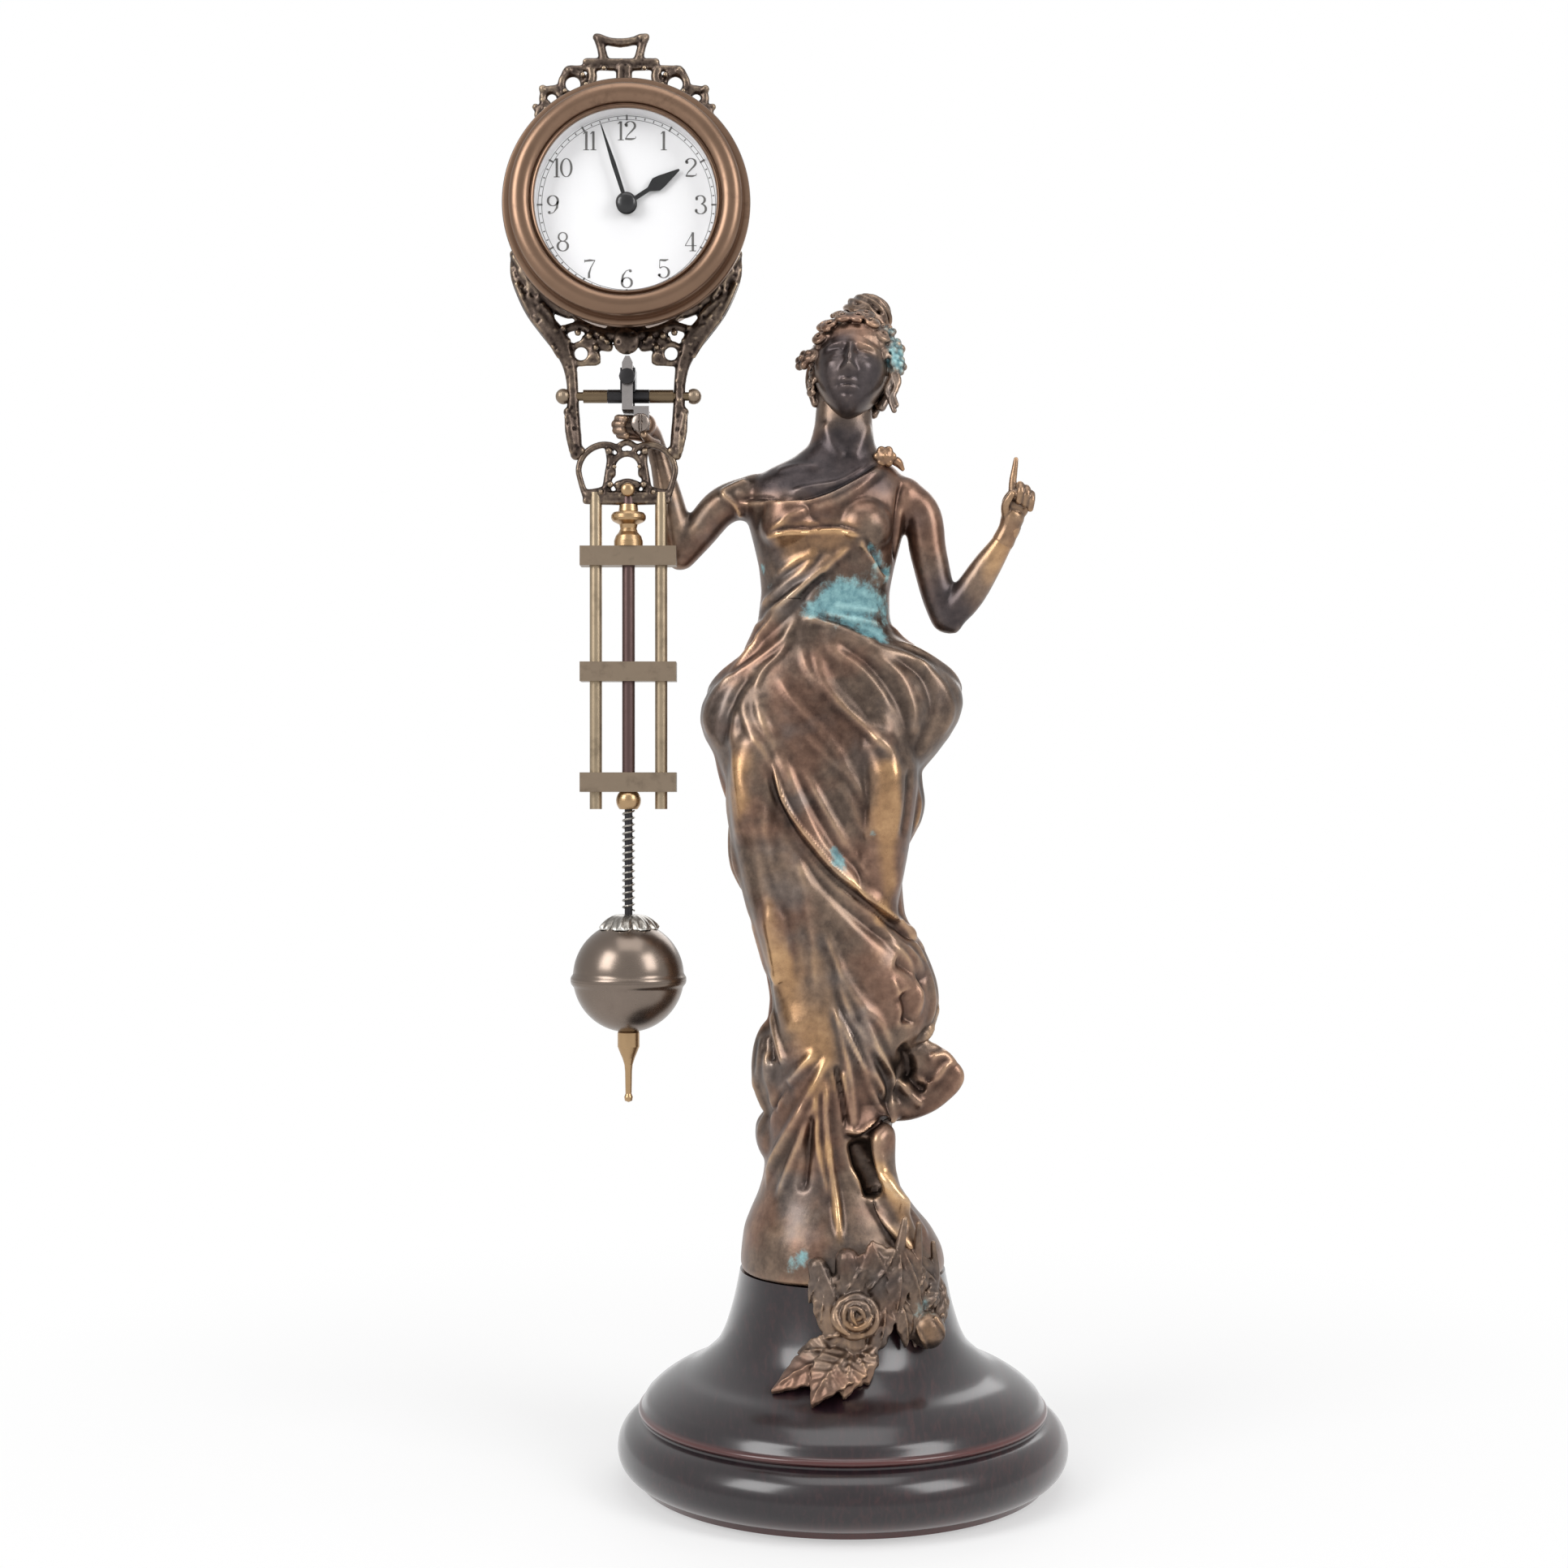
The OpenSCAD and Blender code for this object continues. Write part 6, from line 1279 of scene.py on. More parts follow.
def on_wood(px, py, lift):
    # the point of the wood, or of the bronze above it, that is seen at px, py
    start, way = Vector(EYE)*MM, Vector(sight(px, py) - EYE).normalized()
    hit, normal = wood_tree.ray_cast(start, way)[:2]
    if hit is None:
        hit, normal = wood_tree.find_nearest(Vector(sight(px, py, 512))*MM)[:2]
    place, normal = np.array(hit)/MM, np.array(normal)
    if place[2] > BASE_TOP - 1:
        r = TOP_R + 0.6
        d = np.array(sight(px, py) - EYE)
        d /= np.linalg.norm(d)
        a, b, c = d[0]**2 + d[1]**2, 2*(EYE[0]*d[0] + EYE[1]*d[1]), EYE[0]**2 + EYE[1]**2 - r*r
        disc = max(b*b - 4*a*c, 0)
        place = EYE + d*((-b - math.sqrt(disc))/(2*a))
        normal = np.array([place[0], place[1], 0])/max(np.linalg.norm(place[:2]), 1e-6)
    return place + normal*lift, normal

def leaf(root, tip, width, lift=1.2, arch=1.6, teeth=5, thick=1.1):
    # root and tip in picture points, width in millimetres; the sheet is a closed solid
    a, na = on_wood(*root, lift)
    b, nb = on_wood(*tip, lift*0.7)
    ups, n, m = 26, 11, []
    for i in range(ups):
        u = i/(ups - 1)
        c = a + (b - a)*u
        normal = na*(1 - u) + nb*u
        normal /= np.linalg.norm(normal)
        side = np.cross(b - a, normal)
        side /= np.linalg.norm(side)
        saw = 1 + 0.22*(abs(math.sin(math.pi*u*teeth)) - 0.6)*(1 - u*0.4)
        w = width*0.5*max(0.05, math.sin(math.pi*min(1, u*0.92 + 0.06)**0.8))*saw
        c = c + normal*arch*math.sin(math.pi*u)
        row = []
        for v in np.linspace(-1, 1, n):
            rib = 0.75*math.exp(-(v/0.13)**2) - 0.5*abs(v)**1.6
            vein = 0.22*math.cos(2*math.pi*(u*teeth - abs(v)*0.9))*(1 - abs(v)*0.3)
            row.append(c + side*w*v + normal*(rib + vein)*min(1, 4*u*(1 - u) + 0.3))
        under = [c + side*w*v*0.94 - normal*(thick + 0.5*abs(v)) for v in np.linspace(1, -1, n)]
        m.append(row + under)
    return skin("leaf", m)

def rose(px, py, radius, lift, depth=0.8):
    c, normal = on_wood(px, py, lift)
    normal = normal*0.8 + np.array([0, -0.5, 0.2])
    normal /= np.linalg.norm(normal)
    a = np.cross(normal, (0.1, 0.2, 1.0))
    a /= np.linalg.norm(a)
    b = np.cross(normal, a)
    out = [ball("rose_body", c - normal*radius*0.25, (radius*0.86,)*3, segments=24)]
    k = 0
    for ring, (count, r, size, high) in enumerate(((3, 0.2, 0.34, 0.75), (5, 0.48, 0.46, 0.52),
            (6, 0.76, 0.56, 0.2))):
        for j in range(count):
            t = 2*math.pi*(j/count) + ring*0.7
            way = a*math.cos(t) + b*math.sin(t)
            cross = -a*math.sin(t) + b*math.cos(t)
            at = (c + way*r*radius*(1 + 0.12*math.sin(5*k))
                  + normal*(high + 0.14*math.sin(3*k + 1))*radius*depth)
            s = size*radius
            # a petal is a short fat arc that curls round the heart
            arc = [(*(at + cross*s*q - way*s*0.42*q*q + normal*s*(0.2*q + 0.12*(1 - q*q))),
                s*0.34*(1 - 0.45*q*q)) for q in (-1.25, -0.6, 0, 0.6, 1.25)]
            out.append(limb("petal", arc, count=14, n=10))
            k += 1
    out.append(ball("rose_heart", c + normal*radius*0.62*depth, (radius*0.16,)*3, segments=14))
    return out

def laid(points, radius, lift):
    pts = []
    for k, (px, py) in enumerate(points):
        place, normal = on_wood(px, py, lift)
        pts.append((*place, radius[k] if isinstance(radius, (list, tuple)) else radius))
    return limb("stem", pts, count=26, n=12)

spray = []
for line, r in ((((1008, 1560), (1020, 1600), (1026, 1640)), (2.4, 3.6, 2.6)),
        (((1044, 1552), (1050, 1600), (1052, 1656)), (3.0, 4.2, 3.0)),
                (((1080, 1552), (1084, 1600), (1080, 1650)), (3.0, 4.0, 2.6)),
                (((1114, 1552), (1118, 1596), (1120, 1636)), (3.0, 3.8, 3.0)),
                (((1146, 1556), (1146, 1600), (1140, 1634)), (1.6, 2.4, 1.8)),
                (((1040, 1650), (1030, 1690), (1012, 1712)), (1.8, 1.8, 1.0)),
                (((1050, 1650), (1056, 1690), (1058, 1706)), (1.8, 1.6, 1.0))):
    spray.append(laid(line, r, 0.6))
spray += rose(1052, 1620, 6.0, 3.6)
bud = on_wood(1134, 1640, 2.6)[0]
spray.append(ball("bud", bud, (4.2, 4.0, 4.5), (0, -18, 0), segments=24))
for k in range(4):
    # the outer petals of the bud are wrapped round it from the stem
    t = 2*math.pi*k/4 + 0.3
    ring = [(bud[0] + 4.1*math.cos(t + 0.5*i)*s2 + dx, bud[1] + 3.9*math.sin(t + 0.5*i)*s2, bud[2] + dz,
        0.6)
            for i, (s2, dx, dz) in enumerate(((0.7, 0.9, 3.3), (1.0, 0.3, 1.0), (0.95, -0.4, -1.6),
            (0.55, -1.0, -3.6)))]
    spray.append(limb("wrap", ring, count=16, n=10))
for root, tip, width, lift, teeth in (
        ((1044, 1662), (951, 1718), 9.4, 1.6, 6), ((1046, 1666), (1000, 1736), 10.4, 2.3, 6),
        ((1048, 1668), (1040, 1726), 9.0, 1.9, 5), ((1052, 1666), (1070, 1708), 8.4, 1.6, 4),
        ((1056, 1664), (1082, 1684), 6.4, 1.4, 3), ((1034, 1664), (984, 1668), 6.8, 1.8, 4),
        ((1062, 1640), (1010, 1652), 5.0, 2.2, 4), ((1020, 1560), (998, 1606), 4.6, 1.6, 3),
        ((1060, 1556), (1030, 1610), 6.0, 2.6, 4),
        ((1084, 1600), (1080, 1664), 6.0, 3.0, 4), ((1128, 1560), (1110, 1600), 5.4, 3.4, 4),
        ((1140, 1580), (1128, 1620), 5.0, 3.4, 4), ((1070, 1530), (1096, 1590), 6.4, 3.0, 4),
        ((1092, 1540), (1018, 1584), 6.0, 3.0, 4), ((1096, 1536), (1060, 1600), 7.0, 3.4, 4),
        ((1100, 1540), (1096, 1630), 6.4, 3.4, 5), ((1104, 1536), (1128, 1622), 6.4, 3.2, 5),
        ((1110, 1540), (1156, 1606), 6.6, 2.6, 4), ((1100, 1600), (1112, 1662), 5.0, 3.2, 4),
        ((1150, 1570), (1152, 1648), 5.6, 1.8, 4),
        ((1020, 1580), (1012, 1640), 5.2, 1.8, 4)):
    spray.append(leaf(root, tip, width, lift, teeth=teeth))
for line, r in ((((1108, 1500), (1102, 1536), (1090, 1580), (1076, 1612)), (0.7, 1.3, 1.2, 0.8)),
        (((1124, 1506), (1122, 1546), (1122, 1600)), (0.7, 1.3, 1.0)),
                (((1072, 1530), (1062, 1560), (1054, 1586)), (0.8, 1.2, 1.0)),
                (((1140, 1530), (1142, 1570), (1136, 1610)), (0.7, 1.2, 1.0))):
    spray.append(laid(line, r, 2.4))
spray_skin = fuse("bronze_spray", spray, 0.27)
# what lies inside the wood is pushed back out to its surface
CLEAR = 0.0003      # metres between the wood and what lies on it
p = points_of(spray_skin)
for i, q in enumerate(p):
    if q[2] < BASE_TOP:
        hit, normal = wood_tree.find_nearest(Vector(q)*MM)[:2]
        if (Vector(q)*MM - hit).dot(normal) < CLEAR:
            p[i] = np.array(hit + normal*CLEAR)/MM
set_points(spray_skin, p)
attribute(spray_skin, "verdigris", 0.5*np.exp(-((p[:, 0] - 19)/3)**2 - ((p[:, 2] - 46)/3)**2))
attribute(spray_skin, "warm", 0.15 + 0.6*np.exp(-((p[:, 0] - 2.4)/4)**2 - ((p[:,
    2] - 45)/4)**2) + 0.5*np.exp(-((p[:, 0] - bud[0])/4)**2 - ((p[:, 2] - bud[2])/4)**2))
relief_of(spray_skin, reach=10, gain=1.3, offset=0.4)
settle(spray_skin, "stand", LEAF, "rose_spray")
print("spray", len(spray_skin.data.vertices))

# %% [markdown]
# The print of the dial is drawn with a pen of changing width, as an engraver draws a
# numeral: thick stems, hairline curves and small serifs. Each stroke is a closed ribbon a
# few hundredths of a millimetre thick, so it prints and bakes like any other piece.

# %% Ribbons of ink
INK_Y = DIAL_Y - 0.05

def ribbon(points, y=None, thick=0.045, closed=False):
    # points are x, z, width in millimetres on the dial, from the dial's centre
    y = INK_Y if y is None else y
    p = np.array(points, float)
    way = np.gradient(p[:, :2], axis=0) if not closed else np.roll(p[:, :2], -1, 0) - np.roll(p[:, :2], 1,
        0)
    way /= np.maximum(np.linalg.norm(way, axis=1)[:, None], 1e-9)
    off = np.stack([-way[:, 1], way[:, 0]], axis=1)*p[:, 2:3]/2
    a, b = p[:, :2] + off, p[:, :2] - off
    n, verts, faces = len(p), [], []
    for layer in (y, y + thick):
        verts += [(AX + q[0], layer, HEAD_Z + q[1]) for q in a] + [(AX + q[0], layer,
            HEAD_Z + q[1]) for q in b]
    for i in range(n if closed else n - 1):
        j = (i + 1) % n
        faces += [(i, n + i, n + j, j), (2*n + i, 2*n + j, 3*n + j, 3*n + i), (i, j, 2*n + j, 2*n + i),
            (n + i, 3*n + i, 3*n + j, n + j)]
    if not closed:
        faces += [(0, 2*n, 3*n, n), (n - 1, 2*n - 1, 4*n - 1, 3*n - 1)]
    return verts, faces

def oval(cx, cz, rx, rz, a, b, thin, fat, n=18, at=0.0):
    # an arc that is fat where the pen goes down and thin at top and bottom
    out = []
    for t in np.linspace(math.radians(a), math.radians(b), n):
        out.append((cx + rx*math.cos(t), cz + rz*math.sin(t),
            thin + (fat - thin)*abs(math.cos(t - at))**1.5))
    return out

THIN, FAT = 0.13, 0.46
DIGITS = {   # strokes in a box 2 wide and 4.3 high, its centre at 0, 0; width and advance
    "0": (2.2, [oval(0, 0, 0.95, 2.05, 0, 360, THIN, FAT, 28)]),
    "1": (1.3, [[(0, 2.1, FAT), (0, -2.1, FAT)], [(-0.55, -2.08, THIN), (0.55, -2.08, THIN)],
    [(-0.55, 1.5, THIN), (-0.1, 2.05, 0.25)]]),
    "2": (2.2, [oval(-0.02, 1.1, 0.88, 0.98, 175, -30, THIN, FAT, 16) + [(0.3, 0.0, 0.3), (-0.5, -1.0, 0.2),
    (-0.95, -1.9, THIN)],
                [(-0.95, -1.85, 0.34), (0.2, -1.9, 0.4), (0.95, -1.72, THIN), (1.02, -1.3, THIN)],
                oval(-0.74, 1.2, 0.16, 0.18, 0, 360, 0.3, 0.3, 8)]),
    "3": (2.2, [oval(-0.1, 1.12, 0.82, 0.95, 160, -75, THIN, FAT, 16),
    oval(-0.05, -0.95, 0.98, 1.12, 85, -155, THIN, FAT, 18),
                oval(-0.76, 1.3, 0.15, 0.17, 0, 360, 0.28, 0.28, 8),
                oval(-0.86, -1.3, 0.16, 0.18, 0, 360, 0.3, 0.3, 8)]),
    "4": (2.3, [[(0.35, 2.1, FAT), (0.35, -2.1, FAT)],
    [(0.3, 2.0, THIN), (-1.05, -0.85, THIN), (-1.0, -0.95, THIN)],
    [(-1.05, -0.9, THIN), (1.05, -0.9, THIN)],
                [(-0.25, -2.08, THIN), (0.95, -2.08, THIN)]]),
    "5": (2.2, [[(-0.75, 2.0, 0.3), (0.2, 1.9, 0.42), (0.85, 2.1, THIN)],
    [(-0.75, 2.0, THIN), (-0.8, 0.25, THIN)],
                [(-0.8, 0.2, THIN)] + oval(-0.05, -0.78, 0.98, 1.25, 128, -155, THIN, FAT, 20),
                oval(-0.82, -1.4, 0.16, 0.18, 0, 360, 0.3, 0.3, 8)]),
    "6": (2.2, [oval(0, -0.9, 0.92, 1.15, 0, 360, THIN, FAT, 26),
    [(-0.9, -0.8, FAT), (-0.75, 0.7, 0.38), (-0.15, 1.75, THIN), (0.6, 2.05, THIN)],
                oval(0.66, 1.75, 0.15, 0.17, 0, 360, 0.28, 0.28, 8)]),
    "7": (2.1, [[(-0.95, 1.75, 0.3), (0, 1.9, 0.42), (0.95, 1.9, THIN)],
    [(0.95, 1.9, THIN), (0.2, 0.3, 0.2), (-0.15, -1.0, 0.4), (-0.15, -2.1, 0.5)],
    [(-0.95, 2.05, THIN), (-0.95, 1.4, THIN)]]),
    "8": (2.2, [oval(0, 1.1, 0.78, 0.98, 0, 360, THIN, 0.34, 24),
    oval(0, -0.98, 0.95, 1.12, 0, 360, THIN, FAT, 26)]),
    "9": (2.2, [oval(0, 0.9, 0.92, 1.15, 0, 360, THIN, FAT, 26),
    [(0.9, 0.8, FAT), (0.75, -0.7, 0.38), (0.15, -1.75, THIN), (-0.6, -2.05, THIN)],
                oval(-0.66, -1.75, 0.15, 0.17, 0, 360, 0.28, 0.28, 8)])}

NUMERAL_R, SCALE, WIDE = 17.7, 1.06, 1.22
verts, faces = [], []

def ink(points, closed=False):
    v, f = ribbon(points, closed=closed)
    faces.extend([tuple(i + len(verts) for i in q) for q in f])
    verts.extend(v)

for hour in range(1, 13):
    a = math.radians(90 - 30*hour)
    cx, cz = NUMERAL_R*math.cos(a), NUMERAL_R*math.sin(a)
    text = str(hour)
    total = sum(DIGITS[c][0] for c in text)
    x = cx - total*SCALE*WIDE/2
    for c in text:
        wide, strokes = DIGITS[c]
        for s in strokes:
            ink([(x + (wide/2 + q[0])*SCALE*WIDE, cz + q[1]*SCALE, q[2]*SCALE*1.15) for q in s])
        x += wide*SCALE*WIDE
for r, w in ((21.25, 0.13), (20.35, 0.11)):
    ink([(r*math.cos(t), r*math.sin(t), w) for t in np.linspace(0, 2*math.pi, 180, endpoint=False)],
        closed=True)
for k in range(60):
    a = math.radians(6*k)
    r0, r1, w = (20.2, 21.5, 0.42) if k % 5 == 0 else (20.55, 21.05, 0.26)
    ink([(r0*math.cos(a), r0*math.sin(a), w), (r1*math.cos(a), r1*math.sin(a), w)])
dial_print = make("dial_print", verts, faces)
outward(dial_print)
settle(dial_print, "pendulum", GREY_INK, angle=30)
print("print", len(dial_print.data.vertices))

# %% Round boss over the hands
hub = turned("hand_boss", [(0, -0.02), (2.35, 0), (2.5, 0.25), (2.3, 0.62), (1.7, 0.92), (0.9, 1.08),
    (0, 1.12)], steps=48, axis="Y")
set_points(hub, points_of(hub)*[1, -1, 1] + [AX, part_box("minute_hand")[0].y/MM - 0.05, HEAD_Z])
outward(hub)
settle(hub, "minute", HANDS, angle=40)

# %% [markdown]
# The frame round the clock is a rococo casting: a crown of pierced scrolls with a handle,
# a lyre that carries the drum between two leafy arms, and a three-looped palmette. Each is
# drawn with round strokes of changing thickness, fused to one skin, and then chased with
# small beads and hollows as a bronze worker would do.

# %% Strokes of the casting
AXIS_X = 771.5      # the pendulum's axis in the picture
POINT = 0.1963      # millimetres of one picture point in the pendulum's plane

def at_frame(px, py, y=AY):
    k = (y - EYE[1])/FOCAL
    return (EYE[0] + (px - MID_X)*k, y, EYE[2] + (MID_Y - py)*k)

def stroke(points, flat=1.0, y=AY, count=None, round_ends=True):
    # px, py, radius in picture units; the stroke lies in the frame's plane
    pts = [(*at_frame(q[0], q[1], y), q[2]*POINT) for q in points]
    length = sum(math.dist(pts[i][:3], pts[i + 1][:3]) for i in range(len(pts) - 1))
    return limb("stroke", pts, count=count or max(8, int(length/0.7)), n=12, flat=flat,
        round_ends=round_ends)

def loop(cx, cy, rx, ry, thick, a=0, b=360, flat=1.0, turn=0.0, y=AY, n=22):
    out = []
    for t in np.linspace(math.radians(a), math.radians(b), n):
        x, z = rx*math.cos(t), ry*math.sin(t)
        out.append((cx + x*math.cos(turn) - z*math.sin(turn), cy - (x*math.sin(turn) + z*math.cos(turn)),
            thick))
    return stroke(out, flat, y)

def bead(px, py, r, y=AY, flat=1.0):
    return ball("bead", at_frame(px, py, y), (r*POINT, r*POINT*flat, r*POINT), segments=16)

def mirrored(points, about=AXIS_X):
    return [(2*about - q[0], *q[1:]) for q in points]

def chase(obj, seeds):
    # small raised beads and hollows on front and back; a seed is x, z, reach and height
    p, n = points_of(obj), normals_of(obj)
    tree = KDTree(len(seeds))
    for i, s in enumerate(seeds):
        tree.insert(Vector((s[0], 0, s[1])), i)
    tree.balance()
    move = np.zeros(len(p))
    for i, q in enumerate(p):
        _, k, dist = tree.find(Vector((q[0], 0, q[2])))
        r, h = seeds[k][2], seeds[k][3]
        if dist < r:
            move[i] = h*(1 - (dist/r)**2)**2
    set_points(obj, p + n*(move*np.abs(n[:, 1]))[:, None])

def finish_casting(obj, *replaced, gain=1.9, warm=0.1):
    attribute(obj, "verdigris", np.zeros(len(obj.data.vertices)))
    attribute(obj, "warm", np.full(len(obj.data.vertices), warm))
    relief_of(obj, reach=8, gain=gain, offset=0.4)
    settle(obj, "pendulum", ORNAMENT, *replaced)
    print(obj.name, len(obj.data.vertices))

# %% The lyre
rng = np.random.default_rng(7)
ARM = [(633, 318, 4.5), (636, 338, 7.5), (645, 360, 9.5), (659, 383, 12), (677, 405, 13.5), (692, 425, 13),
    (701, 447, 9.5), (705, 470, 7.6), (706, 494, 7.6), (707, 520, 8.4), (708, 542, 9.2), (710, 560, 7.6)]
lyre = []
for flip in (False, True):
    m = mirrored if flip else (lambda q: q)
    lyre.append(stroke(m(ARM), 0.92))
    # leaves that lie on the horn
    for a, b, c in (((633, 316, 3.0), (650, 344, 4.2), (652, 372, 2.2)),
            ((640, 334, 3.2), (662, 362, 4.4), (668, 392, 2.4)),
            ((652, 366, 3.4), (676, 386, 4.6), (688, 416, 2.4)),
                    ((636, 350, 3.0), (646, 372, 3.8), (660, 398, 2.4)),
                    ((664, 396, 3.0), (690, 408, 4.2), (702, 440, 2.6)),
                    ((655, 392, 3.0), (672, 412, 3.6), (688, 440, 2.2))):
        lyre.append(stroke(m([a, b, c]), 1.0, AY - 1.4))
        lyre.append(stroke(m([a, b, c]), 1.0, AY + 1.2))
    for q in (m([(700, 452, 0), (702, 508, 0), (714, 530, 0)])[0], m([(700, 508, 0)])[0],
            m([(716, 556, 0)])[0]):
        lyre.append(bead(q[0], q[1], 6.2, AY, 1.3))
    lyre.append(stroke(m([(699, 512, 4), (702, 532, 6), (705, 556, 4)]), 0.8, AY - 1.3))
    # the horn hugs the drum, so a band follows the bezel's edge down to the slit
    hug = [(AXIS_X - 151*math.cos(math.radians(t)), 252 + 151*math.sin(math.radians(t)),
        6.0 + 7.0*math.sin(math.pi*(t - 24)/42)) for t in np.linspace(24, 62, 12)]
    lyre.append(stroke(m(hug), 0.9))
    # pierced bib: band under the bezel, eye, drops
    lyre += [
        stroke(m([(690, 408, 6), (712, 402, 5.5), (736, 411, 7), (756, 414, 8)]), 0.9),
        stroke(m([(690, 380, 4), (706, 390, 3.0), (728, 402, 3.2), (748, 410, 5)]), 0.9),
        loop(m([(716, 436, 0)])[0][0], 436, 12, 12, 4.2),
        stroke(m([(722, 418, 6), (738, 424, 7.5), (750, 428, 6)]), 0.95),
        stroke(m([(728, 430, 5), (735, 440, 6), (737, 446, 3.6)])),
        stroke(m([(700, 444, 5), (716, 448, 3.4), (734, 447, 4)]), 0.9)]
    for q in m([(712, 410, 4.4), (726, 414, 4.6), (742, 416, 4.2), (700, 420, 4.2), (694, 404, 4),
            (734, 428, 3.8), (748, 421, 3.6)]):
        lyre.append(bead(q[0], q[1], q[2], AY - 1.5))
        lyre.append(bead(q[0], q[1], q[2], AY + 1.3))
lyre += [
    stroke([(AXIS_X, 398, 9), (AXIS_X, 414, 17), (772, 424, 12)], 0.6),
    ball("shield", at_frame(772, 420, AY - 1.2), (3.3, 1.5, 3.4), segments=20),
    stroke([(752, 404, 5), (AXIS_X, 402, 6), (791, 404, 5)], 0.8)]
lyre_skin = fuse("cast_lyre", lyre, 0.32)
seeds = []
for _ in range(900):
    # two draws without a use of their own, on which the places of all later beads hang
    rng.uniform(0, 1), rng.choice([-1, 1])
    seeds.append((AX + rng.uniform(-29, 29), rng.uniform(247, 302),
                  rng.uniform(0.45, 0.8), rng.uniform(-0.32, 0.3)))
chase(lyre_skin, seeds)
finish_casting(lyre_skin, "lyre_frame")

# %% The crown
crown = []
CENTRE, RING = (AXIS_X, 252), 143
band = [(CENTRE[0] + RING*math.cos(math.radians(t)), CENTRE[1] - RING*math.sin(math.radians(t)),
    8.5) for t in np.linspace(42, 138, 34)]
crown += [
    stroke(band, 0.95),
    stroke([(723, 77, 5.4), (AXIS_X, 77, 5.0), (808, 77, 5.4)], 1.1),
    stroke([(727, 83, 3.6), (AXIS_X, 84, 3.8), (804, 83, 3.6)], 1.3),
    stroke([(738, 48, 6.6), (749, 51, 5.4), (764, 53, 5.8), (779, 51, 5.4), (790, 48, 6.6)])]
for flip in (False, True):
    m = (lambda q: mirrored(q, 765.5)) if flip else (lambda q: q)
    w = (lambda q: mirrored(q, 769)) if flip else (lambda q: q)
    crown.append(stroke(m([(738, 48, 6.6), (741, 60, 5.6), (744, 74, 6.6)])))
    crown.append(bead(*m([(735, 46, 5.0)])[0][:2], 5.0))
    # openings under the tier, then the scrolls down the side
    crown += [
        stroke(w([(766, 84, 7), (765, 96, 6.4), (766, 108, 7)])),
        stroke(w([(728, 86, 6.0), (730, 94, 6.4), (727, 104, 6.4), (722, 112, 6)])),
        loop(w([(706, 104, 0)])[0][0], 104, 14, 14, 5.2),
        stroke(w([(722, 84, 4), (710, 85, 4.4), (700, 86, 5.0), (695, 92, 4)])),
        bead(*w([(701, 87, 5.4)])[0][:2], 5.4, AY - 0.4, 1.1),
        loop(w([(680, 122, 0)])[0][0], 122, 11, 11, 5.4),
        bead(*w([(669, 110, 5)])[0][:2], 5.4, AY - 0.4, 1.1),
        stroke(w([(691, 108, 4.4), (680, 109, 4), (669, 111, 4.2)])),
        stroke(w([(674, 128, 5), (666, 134, 5.4), (662, 142, 4.4)])),
        bead(*w([(660, 132, 4.6)])[0][:2], 4.6),
        stroke(w([(684, 134, 5), (674, 140, 5), (666, 149, 3.4)]), 0.95)]
    for q in w([(744, 84, 3.4), (718, 92, 3.6), (722, 104, 3.4), (696, 112, 3.4), (690, 122, 3.2),
            (672, 134, 3.2)]):
        crown.append(bead(q[0], q[1], q[2], AY - 1.3))
crown_skin = fuse("cast_crown", crown, 0.3)
chase(crown_skin, [(AX + rng.uniform(-26, 26), rng.uniform(328, 353), rng.uniform(0.4, 0.7),
    rng.uniform(-0.22, 0.22)) for _ in range(420)])
p = points_of(crown_skin)
set_points(crown_skin, np.minimum(p, [1e9, 1e9, cad_box[1][2]/MM - 0.05]))
finish_casting(crown_skin, "crown")

# %% The palmette
pal = []
for flip in (False, True):
    m = (lambda q: mirrored(q, 772.5)) if flip else (lambda q: q)
    pal += [
        stroke(m([(722, 612, 4.6), (716, 594, 4.0), (713, 578, 4.0), (718, 563, 4.2), (730, 552, 4.4),
        (746, 548, 4.4), (760, 552, 4.0), (766, 560, 3.6)])),
        stroke(m([(750, 553, 5), (752, 566, 5.0), (750, 584, 5.4), (748, 600, 6)])),
        bead(*m([(750, 556, 4.4)])[0][:2], 4.8, AY - 1.2),
        stroke(m([(746, 604, 5.5), (734, 606, 4.6), (722, 607, 4.2)]))]
    for q in m([(752, 597, 4.4), (740, 606, 3.6), (757, 575, 3.2)]):
        pal.append(bead(q[0], q[1], q[2], AY - 1.4))
pal += [
    stroke([(754, 584, 5.4), (755, 570, 5.0), (765, 561, 4.0), (773, 559, 4.2), (781, 561, 4.0),
    (790, 570, 5.0), (791, 584, 5.4)]),
    stroke([(762, 598, 6), (773, 594, 5), (784, 598, 6)]),
    stroke([(724, 610, 6.2), (772.5, 612, 7.4), (821, 610, 6.2)]),
    stroke([(722, 617, 4.6), (772.5, 618, 4.8), (823, 617, 4.6)], 1.25),
    stroke([(760, 551, 3.8), (772.5, 545, 4.2), (785, 551, 3.8)])]
pal_skin = fuse("cast_palmette", pal, 0.28)
chase(pal_skin, [(AX + rng.uniform(-13, 13), rng.uniform(237, 255), rng.uniform(0.4, 0.65),
    rng.uniform(-0.2, 0.2)) for _ in range(160)])
finish_casting(pal_skin, "palmette")

# %% [markdown]
# On the ball sits a silvered cap of acanthus leaves. It is a full, shallow dome whose rim
# waves out and down in seven broad leaf tips; a rib runs down the middle of each leaf and a
# dark valley divides it from the next. The seat of the spring stays clear in the middle.

